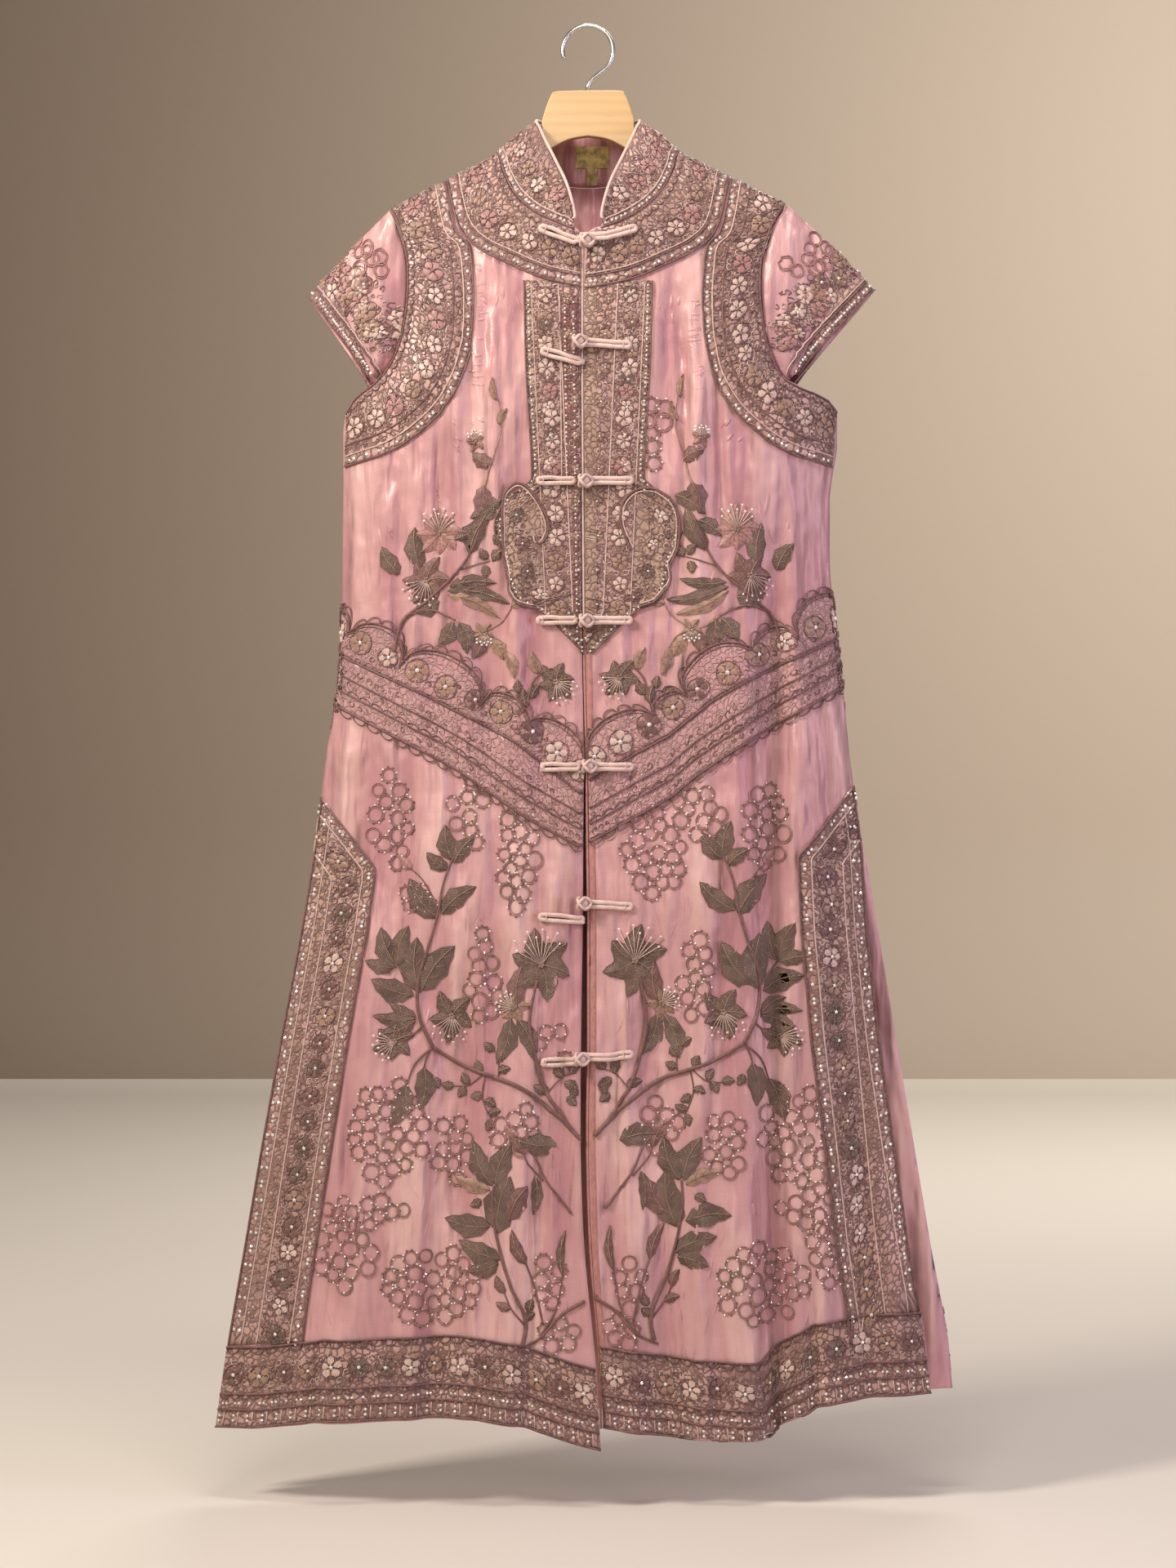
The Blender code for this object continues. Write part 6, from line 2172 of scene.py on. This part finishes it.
class ROBE_OT_lace(RobeStep, bpy.types.Operator):
    """Sews on every strip of lace, front and back, with its cords, flowers and beads"""

    bl_idname = "robe.lace"
    bl_label = "Sew on lace"

    def execute(self, context):
        step = context.scene.robe_sizes.lace_step / MM
        for side in ("right", "left"):
            panel = cloth("front_" + side)
            made = []
            for index, (name, band, trims) in enumerate(front_bands(side)):
                node = f"lace_{name}_front_{side}"
                finish = {"chevron": "Open lace on silk", "placket": "Tan lace"}.get(name, "Lace over silk")
                made += lay_band(panel, node + "_strip", node, band, trims, 100 + index, step, finish=finish)
                if name == "chevron":
                    made += self.swags(panel, side, band)
                if name == "placket":
                    made += self.placket(panel, side, band)
            MADE["lace_" + side] = made
        MADE["lace_back"] = self.back(step)
        return {"FINISHED"}

    def swags(self, panel, side, band):
        """The scalloped edge over the waist band."""
        line, top = swag_bands(side, band.inner)
        strip = Band(line, line, 4)
        strip.inner, strip.outer, strip.count = line, top, len(line)
        strip.runs = [0.0]
        for a, b in zip(line, line[1:]):
            strip.runs.append(strip.runs[-1] + hypot(b[0] - a[0], b[1] - a[1]))
        strip.length = strip.runs[-1]
        trims = [
            Trim("cord", 0.6, 0, 1.15, "dark"), Trim("cord", 4.4, 0, 0.6, "dark"),
            Trim("scallop", 0.6, 13.5, 6, "dark"),
            Trim("flowers", -17, 31, 10.5, "leafy"), Trim("curls", -15, 9.5, 11, "mixed"),
        ]
        return lay_band(
            panel, f"lace_swags_{side}_strip", None, strip, trims, 61, 3.5, 7, "Open lace on silk",
        )

    def placket(self, panel, side, band):
        """The dense lace down the front edge, its rust strips, and the scrolled cords of the lobes."""
        edge, made = LIFT + 0.05, []
        columns = PLACKET_COLUMNS if side == "right" else PLACKET_COLUMNS[:1]
        for index, column in enumerate(columns):
            sign = 1 if side == "left" else -1
            depths = [between(column.z_top, column.z_low, k / 60) for k in range(61)]
            near = [(sign * column.x_near, z) for z in depths]
            far = []
            for k, z in enumerate(depths):
                room = max(column.x_near + 1, -z_room(z))
                far.append((sign * min(between(column.x_far, column.x_far_low, k / 60), room), z))
            made += lay_band(
                panel, f"lace_placket_{side}_column_{index + 1}", None, Band(near, far), column.trims,
                71 + index,
                4, None, column.finish, edge + 0.15 * index, 0.25,
            )
        needles = Needlework(THREAD_ORDER)
        for scroll in LOBE_SCROLLS[side]:
            for shift, thick, thread in ((0, 1.3, "branch"), (2.8, 0.8, "pale")):
                line = curved(scroll, 3)
                middle_x = sum(x for x, _ in line) / len(line)
                middle_z = sum(z for _, z in line) / len(line)
                laid = []
                for x, z in line:
                    away = max(1.0, hypot(x - middle_x, z - middle_z))
                    share = 1 - shift / away
                    place = (middle_x + (x - middle_x) * share, middle_z + (z - middle_z) * share)
                    laid.append(panel.lay(*place, LIFT + thick))
                needles.cord(laid, thick, thread, sides=6)
        scrolls = needles.build(f"lace_lobe_scroll_{side}")
        return made + [scrolls]

    def back(self, step):
        panel = cloth("back")

        def flip(corners):
            return [(-c[0], c[1]) for c in corners]

        def plain(corners):
            return [(c[0], c[1]) for c in corners]

        made = []
        half = curved([(86, -126)] + plain(BACK_LACE_TOP[1:]), 4)
        neck = flip(half) + plain(half)[-2::-1]
        half = curved([Corner(134, -146)] + BACK_YOKE_EDGE[1:], 4)
        edge = flip(half) + plain(half)[-2::-1]
        made += lay_band(
            panel, "lace_yoke_back_strip", "lace_yoke_back", Band(neck, edge, 200), YOKE_TRIMS, 21, step,
        )
        for side, sign in (("right", -1), ("left", 1)):
            seam = seam_line(lambda p: back_point(p, sign), 0.1, ARMHOLE_ROWS)
            outer = [(x * sign, z) for x, z in curved([Corner(135.5, -147)] + ARMHOLE_EDGE[2:-1], 4)]
            rows = FRONT_CUTS[side][0]
            outer.append((side_x(rows, -419), -419))
            node = "lace_armhole_back_" + side
            made += lay_band(panel, node + "_strip", node, Band(seam, outer), ARMHOLE_TRIMS, 31, step)
        xs = [between(-262, 262, k / 120) for k in range(121)]
        upper = [(x, height_along(BACK_CHEVRON_TOP, abs(x)) - 22) for x in xs]
        lower = [(x, height_along(BACK_CHEVRON_BOTTOM, abs(x))) for x in xs]
        band = Band(upper, lower, 240)
        made += lay_band(
            panel, "lace_chevron_back_strip", "lace_chevron_back", band, WAIST_TRIMS, 41, step,
            finish="Open lace on silk",
        )
        hem_low = [((p := back_point(21, 2 * k / 120 - 1)).x / MM, p.z / MM) for k in range(121)]
        hem_top = [(x * 0.985, z + HEM_BAND_HEIGHT) for x, z in hem_low]
        made += lay_band(
            panel, "lace_hem_back_strip", "lace_hem_back", Band(hem_low, hem_top, 240), HEM_TRIMS, 51, step,
        )
        return made


# Small gathers that the stitching draws into the silk: where, how far and which way they run
Gathers = namedtuple("Gathers", "x z wide high count length heading")
GATHERS = [
    Gathers(109, -262, 1.5, 44, 12, 17, 182),
    Gathers(114, -330, 3, 26, 7, 18, 190),
    Gathers(128, -385, 20, 14, 6, 18, 225),
    Gathers(90, -262, 24, 14, 5, 22, 265),
    Gathers(70, -262, 14, 10, 4, 26, 270),
    Gathers(112, -610, 52, 34, 12, 34, 268),
    Gathers(36, -640, 24, 26, 7, 30, 272),
    Gathers(150, -830, 74, 40, 14, 40, 266),
    Gathers(70, -850, 44, 60, 12, 44, 272),
    Gathers(120, -930, 90, 50, 18, 38, 268),
    Gathers(104, -1030, 80, 44, 16, 42, 264),
    Gathers(150, -1120, 90, 36, 16, 36, 266),
    Gathers(80, -1215, 60, 34, 12, 34, 270),
    Gathers(206, -1215, 60, 30, 9, 34, 262),
    Gathers(160, -470, 40, 44, 9, 36, 262),
]


class ROBE_OT_gathers(RobeStep, bpy.types.Operator):
    """Draws small glossy gathers into the silk beside the lace and the needlework"""

    bl_idname = "robe.gathers"
    bl_label = "Draw gathers"

    def execute(self, context):
        THREADS["silk"] = "Pink slub silk"
        for name, signs in (("front_right", (-1,)), ("front_left", (1,)), ("back", (-1, 1))):
            panel = cloth(name)
            rng = random.Random(len(name))
            needles = Needlework(["silk"])
            for sign in signs:
                for field in GATHERS:
                    for _ in range(field.count):
                        x = sign * (field.x + field.wide * rng.uniform(-1, 1))
                        z = field.z + field.high * rng.uniform(-1, 1)
                        heading = radians(field.heading + rng.uniform(-9, 9))
                        length = field.length * rng.uniform(0.6, 1.3)
                        bend = rng.uniform(-0.07, 0.07)
                        thick = rng.uniform(2.4, 4.0)
                        line = []
                        for k in range(7):
                            reach = length * k / 6
                            way = heading + bend * k / 1.5
                            place = (x + sign * cos(way) * reach, z + sin(way) * reach)
                            line.append(panel.lay(*place, -0.74 * thick))
                        needles.cord(
                            line, lambda share, t=thick: max(0.05, t * sin(pi * share) ** 0.6),
                            "silk", sides=6,
                        )
            item = needles.build("silk_gathers_" + name)
            MADE["gathers_" + name] = item
        return {"FINISHED"}


class ROBE_OT_needlework(RobeStep, bpy.types.Operator):
    """Works the branches, leaves, flowers and corded rings on the fronts and the back"""

    bl_idname = "robe.needlework"
    bl_label = "Work branches and rings"

    def execute(self, context):
        for side in ("right", "left"):
            MADE["work_" + side] = embroider_front(side)
        MADE["work_back"] = embroider_back()
        return {"FINISHED"}


class ROBE_OT_frogs(RobeStep, bpy.types.Operator):
    """Ties the seven cord frogs: doubled cords, loops and knotted buttons"""

    bl_idname = "robe.frogs"
    bl_label = "Tie frogs"

    def execute(self, context):
        sizes = context.scene.robe_sizes
        radius, spread, knot = sizes.frog_cord / 2 / MM, sizes.frog_spread / 2 / MM, sizes.knot_size / 2 / MM
        right, left = cloth("front_right"), cloth("front_left")

        def lay(x, z, out):
            a, b = right.lay(x, z, out), left.lay(x, z, out)
            if x < -12:
                return a
            if x > 16:
                return b
            return a if a[0].y < b[0].y else b

        MADE["frogs"] = []
        for frog in FROGS:
            out = SEAM_GAP + radius + 0.2 + (LACE_WALL + SEAM_GAP + 0.5 if frog.on_lace else 0)
            toward = Vector((frog.bar_x - frog.knob_x, frog.bar_z - frog.knob_z)).normalized()
            start = (frog.knob_x + toward.x * 6.5, frog.knob_z + toward.y * 6.5)
            for kind, a, b in (
                ("knob", start, (frog.bar_x, frog.bar_z)),
                (
                    "loop", (frog.loop_x - spread * (1 if frog.number in UNDONE_FROGS else 0.4), frog.loop_z),
                    (frog.loop_end_x, frog.loop_end_z),
                ),
            ):
                needles = Needlework(["cord"])
                THREADS["cord"] = "Frog cord silk"
                self.doubled(lay, needles, a, b, radius, spread, out, kind)
                if kind == "knob":
                    self.knot(lay, needles, frog, out + knot - radius, knot)
                item = needles.build(f"frog_{frog.number}_{kind}_cord")
                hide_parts(f"frog_{frog.number}_{kind}")
                MADE["frogs"].append(item)
        return {"FINISHED"}

    def doubled(self, lay, needles, a, b, radius, spread, out, kind):
        along = Vector((b[0] - a[0], b[1] - a[1]))
        length = along.length
        along.normalize()
        across = Vector((-along.y, along.x))
        bulge = 1.5 if kind == "loop" else 1.0
        outline = []
        for k in range(9):
            turn = pi * k / 8
            outline.append((length + spread * sin(turn), spread * cos(turn)))
        steps = 9
        for k in range(1, steps):
            share = 1 - k / steps
            wide = spread * (1 + (bulge - 1) * max(0, sin(pi * min(1, (1 - share) * 1.6))) * 0.6)
            outline.append((length * share, -wide * (0.94 + 0.06 * cos(share * 9))))
        for k in range(9):
            turn = pi * k / 8
            outline.append((-spread * sin(turn), -spread * cos(turn)))
        for k in range(1, steps):
            share = k / steps
            wide = spread * (1 + (bulge - 1) * max(0, sin(pi * min(1, (1 - share) * 1.6))) * 0.6)
            outline.append((length * share, wide * (0.94 + 0.06 * sin(share * 8))))
        line = []
        for forward, sideways in outline:
            lift = out + 0.25 * sin(forward * 0.4)
            x = a[0] + along.x * forward + across.x * sideways
            z = a[1] + along.y * forward + across.y * sideways
            line.append(lay(x, z, lift))
        needles.cord(line, radius, "cord", sides=8, closed=True)
        tie = length * 0.9
        wrap = []
        for k in range(12):
            turn = 2 * pi * k / 12
            x = a[0] + along.x * tie + across.x * (spread + radius) * cos(turn)
            z = a[1] + along.y * tie + across.y * (spread + radius) * cos(turn)
            wrap.append(lay(x, z, out + (radius + 0.25) * sin(turn)))
        tie = [(point, Vector((along.x, 0, along.y))) for point, _ in wrap]
        needles.cord(tie, 0.55, "cord", sides=4, closed=True)

    def knot(self, lay, needles, frog, out, size):
        """A knotted button: three strands that pass over and under round a ball."""
        centre, normal = lay(frog.knob_x, frog.knob_z, out)
        side = Vector((1, 0, 0))
        side = (side - normal * side.dot(normal)).normalized()
        up = normal.cross(side)
        strand = 2.5
        core = size - strand * 1.35
        shape = bmesh.new()
        bmesh.ops.create_icosphere(shape, subdivisions=2, radius=core * MM)
        corners = [centre + v.co for v in shape.verts]
        faces = [tuple(v.index for v in f.verts) for f in shape.faces]
        shape.free()
        needles.add(corners, faces, "cord")
        count = 72
        line = []
        for k in range(count):
            t = 2 * pi * k / count
            azimuth, rise = 2 * t, 0.92 * sin(3 * t)
            reach = (core + strand * 0.55 + 0.45 * cos(6 * t + 0.5)) * MM
            way = side * (cos(azimuth) * cos(rise)) + normal * (sin(azimuth) * cos(rise)) + up * sin(rise)
            line.append((centre + way * reach, way))
        needles.cord(line, strand * 0.62, "cord", sides=7, closed=True)


class ROBE_OT_edges(RobeStep, bpy.types.Operator):
    """Binds the front edge: cream down to the waist, salmon below"""

    bl_idname = "robe.edges"
    bl_label = "Bind front edge"

    def execute(self, context):
        rows = FRONT_CUTS["left"][0]
        line = []
        for place in fine_places(rows, 8):
            if place >= 8:
                point = front_point("left", place, 0)
                aside = Vector((-(EDGE_BINDING_RADIUS + SEAM_GAP), -CLOTH_WALL / 2, 0)) * MM
                line.append((point + aside, Vector((0, -1, 0))))
        line[0] = (line[0][0] - Vector((0, 0, 1.5)) * MM, line[0][1])
        split = next(k for k, (point, _) in enumerate(line) if point.z < -0.566)
        THREADS["upper"], THREADS["lower"] = "Frog cord silk", "Salmon edge silk"
        needles = Needlework(["upper", "lower"])
        needles.cord(line[: split + 1], EDGE_BINDING_RADIUS, "upper", sides=8)
        needles.cord(line[split:], EDGE_BINDING_RADIUS, "lower", sides=8)
        item = needles.build("front_edge_binding_cord")
        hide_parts("front_edge_binding")
        strip = Needlework(["lower"])
        corners, faces = [], []
        panel = cloth("front_left")
        zs = [between(-572, -1322, k / 90) for k in range(91)]
        for z in zs:
            x = height_along([(r.z_in, r.x_in) for r in rows[8:]], z)
            for shift, out in ((0.4, 0.15), (0.6, 0.7), (5.2, 0.7), (5.6, 0.15)):
                corners.append(panel.lay(x + shift, z, out)[0])
        for k in range(90):
            for c in range(3):
                first = k * 4 + c
                faces.append((first, first + 4, first + 5, first + 1))
        strip.add(corners, faces, "lower", looks=Vector((0, -1, 0)))
        edge = strip.build("front_edge_strip")
        MADE["edges"] = [item, edge]
        return {"FINISHED"}


class ROBE_OT_hanger(RobeStep, bpy.types.Operator):
    """Shapes the wooden hanger and bends its wire hook"""

    bl_idname = "robe.hanger"
    bl_label = "Shape hanger"

    def execute(self, context):
        half = [(c.x, c.z) for c in HANGER_HALF]
        outline = curved(half, 4.5)
        outline += [(-x, z) for x, z in outline[-2:0:-1]]
        outline = [(x, z + x * HANGER_TILT) for x, z in outline]
        depth = HANGER_THICKNESS * MM
        bpy.ops.object.select_all(action="DESELECT")
        bpy.ops.mesh.primitive_circle_add(vertices=len(outline), radius=0.1, fill_type="NGON")
        body = bpy.context.object
        body.name = body.data.name = "hanger_wood"
        for vertex, (x, z) in zip(body.data.vertices, outline):
            vertex.co = Vector((x * MM, -depth / 2, z * MM))
        bpy.ops.object.mode_set(mode="EDIT")
        bpy.ops.mesh.select_all(action="SELECT")
        bpy.ops.mesh.extrude_region_move(TRANSFORM_OT_translate={"value": (0, depth, 0)})
        bpy.ops.mesh.select_all(action="SELECT")
        bpy.ops.mesh.normals_make_consistent(inside=False)
        bpy.ops.object.mode_set(mode="OBJECT")
        bevel = body.modifiers.new("rounding", "BEVEL")
        bevel.width = context.scene.robe_sizes.hanger_round
        bevel.segments = 5
        bevel.limit_method = "ANGLE"
        bevel.angle_limit = radians(60)
        apply_modifiers(body)
        only(body)
        bpy.ops.object.shade_smooth_by_angle(angle=radians(40))
        body.data.materials.clear()
        body.data.materials.append(bpy.data.materials["Pale varnished wood"])
        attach(body, ROOT)
        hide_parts("hanger_body")
        centre = Vector((0, 0, HOOK_WIRE_RADIUS - HOOK_BEND_RADIUS))
        points = [Vector((0, 0, -60.6)), Vector((0, 0, -56)), Vector((1.5, 0, -52)), Vector((6, 0, -47.5))]
        for step in range(41):
            angle = radians(between(-60, 200, step / 40))
            points.append(centre + Vector((cos(angle), 0, sin(angle))) * HOOK_BEND_RADIUS)
        THREADS["wire"] = "Drawn steel wire"
        wire = Needlework(["wire"])
        wire.cord([(p * MM, Vector((0, -1, 0))) for p in points], HOOK_WIRE_RADIUS, "wire", sides=14)
        hook = wire.build("hanger_hook_wire")
        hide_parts("hanger_hook")
        return {"FINISHED"}


class ROBE_OT_declare(RobeStep, bpy.types.Operator):
    """Looks up the frogs, lace, needlework and edges that were made, and does nothing more with them"""

    bl_idname = "robe.declare"
    bl_label = "State the cut"

    def execute(self, context):
        frogs = MADE["frogs"]
        on_right = [f for f in frogs if "_loop" in f.name]
        on_left = [f for f in frogs if "_knob" in f.name]
        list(MADE["lace_right"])
        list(MADE["work_right"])
        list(MADE["lace_left"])
        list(MADE["work_left"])
        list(MADE["edges"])
        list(MADE["lace_back"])
        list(MADE["work_back"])
        return {"FINISHED"}


class ROBE_OT_stage(RobeStep, bpy.types.Operator):
    """Sets the pale floor, the plain backdrop, the soft lights and the camera"""

    bl_idname = "robe.stage"
    bl_label = "Set stage"

    def execute(self, context):
        scene = context.scene
        bpy.ops.object.select_all(action="DESELECT")
        bpy.ops.mesh.primitive_plane_add(size=14, location=(0, 0.2, -1.40))
        floor = context.object
        floor.name = "stage_floor_and_backdrop"
        bpy.ops.object.mode_set(mode="EDIT")
        shape = bmesh.from_edit_mesh(floor.data)
        for edge in shape.edges:
            edge.select = all(v.co.y > 0 for v in edge.verts)
        for vertex in shape.verts:
            vertex.select = vertex.co.y > 0
        shape.select_flush_mode()
        bmesh.update_edit_mesh(floor.data)
        bpy.ops.transform.translate(value=(0, -2.4, 0))
        bpy.ops.mesh.extrude_region_move(TRANSFORM_OT_translate={"value": (0, 0, 8)})
        bpy.ops.object.mode_set(mode="OBJECT")
        shape = bmesh.new()
        shape.from_mesh(floor.data)
        corner = [e for e in shape.edges if len(e.link_faces) == 2]
        bmesh.ops.bevel(shape, geom=corner, offset=0.6, segments=12, profile=0.5, affect="EDGES")
        for face in shape.faces:
            face.smooth = True
        shape.to_mesh(floor.data)
        shape.free()
        only(floor)
        bpy.ops.object.transform_apply(location=True, rotation=True, scale=True)
        for name in ("Pale floor", "Backdrop plaster"):
            floor.data.materials.append(bpy.data.materials[name])
        for face in floor.data.polygons:
            face.material_index = 1 if face.center.z > -1.38 else 0

        def area(name, place, aim, size, power, tint):
            data = bpy.data.lights.new(name, "AREA")
            data.shape, data.size, data.size_y = "RECTANGLE", size[0], size[1]
            data.energy, data.color = power, tint
            lamp = bpy.data.objects.new(name, data)
            scene.collection.objects.link(lamp)
            lamp.location = place
            lamp.rotation_euler = (Vector(aim) - Vector(place)).to_track_quat("-Z", "Y").to_euler()

        power = scene.robe_sizes.light_power
        area("Main soft light", (-1.45, -1.15, 0.55), (0.05, 0, -0.55), (0.4, 0.5), power, (1.0, 0.93, 0.85))
        area(
            "Fill from the right", (1.9, -0.9, -0.4), (0.2, 0, -0.85), (0.6, 1.3), power * 0.34,
            (0.80, 0.68, 1.0),
        )
        area("Top light", (0.1, -0.8, 0.85), (0, -0.05, -0.45), (0.7, 0.3), power * 0.32, (1.0, 0.94, 0.86))
        area("Front light", (-0.4, -3.0, 0.3), (0, 0, -0.75), (1.2, 0.8), power * 0.42, (1.0, 0.92, 0.88))
        area("Wall light", (1.8, 2.2, 1.2), (0.9, 4.8, -0.3), (1.6, 1.2), power * 1.7, (1.0, 0.96, 0.90))
        area("Back light", (0.6, 2.4, 1.5), (0, 0, -0.7), (1.6, 0.8), power * 0.75, (1.0, 0.95, 0.92))
        world = bpy.data.worlds.new("Studio air")
        scene.world = world
        world.use_nodes = True
        world.node_tree.nodes["Background"].inputs[0].default_value = (0.92, 0.88, 0.84, 1)
        world.node_tree.nodes["Background"].inputs[1].default_value = 0.22
        scene.view_settings.view_transform = "Standard"
        camera = bpy.data.cameras.new("Front view")
        camera.lens, camera.sensor_width = 77.9, 36
        view = bpy.data.objects.new("Front view", camera)
        scene.collection.objects.link(view)
        view.location = (0, -3.23, -0.72)
        view.rotation_euler = (pi / 2, 0, 0)
        scene.camera = view
        return {"FINISHED"}


STEPS = [
    ROBE_OT_finishes, ROBE_OT_cloth, ROBE_OT_sleeves, ROBE_OT_collar, ROBE_OT_lace, ROBE_OT_gathers,
    ROBE_OT_needlework,
    ROBE_OT_frogs, ROBE_OT_edges, ROBE_OT_hanger, ROBE_OT_declare, ROBE_OT_stage,
]


class ROBE_PT_panel(bpy.types.Panel):
    """Lists the robe's colours, sizes and steps"""

    bl_idname = "ROBE_PT_panel"
    bl_label = "Cheongsam robe"
    bl_space_type = "VIEW_3D"
    bl_region_type = "UI"
    bl_category = "Robe"

    def draw(self, context):
        for group in (context.scene.robe_colours, context.scene.robe_sizes):
            box = self.layout.box()
            for name in group.__annotations__:
                box.prop(group, name)
        for step in STEPS:
            self.layout.operator(step.bl_idname)


CLASSES = [RobeColours, RobeSizes, *STEPS, ROBE_PT_panel]


def register():
    for item in CLASSES:
        bpy.utils.register_class(item)
    bpy.types.Scene.robe_colours = bpy.props.PointerProperty(type=RobeColours)
    bpy.types.Scene.robe_sizes = bpy.props.PointerProperty(type=RobeSizes)


def unregister():
    del bpy.types.Scene.robe_sizes
    del bpy.types.Scene.robe_colours
    for item in reversed(CLASSES):
        bpy.utils.unregister_class(item)


def main():
    register()
    bpy.ops.robe.finishes()
    bpy.ops.robe.cloth()
    bpy.ops.robe.sleeves()
    bpy.ops.robe.collar()
    bpy.ops.robe.lace()
    bpy.ops.robe.gathers()
    bpy.ops.robe.needlework()
    bpy.ops.robe.frogs()
    bpy.ops.robe.edges()
    bpy.ops.robe.hanger()
    bpy.ops.robe.declare()
    bpy.ops.robe.stage()


if __name__ == "__main__":
    main()
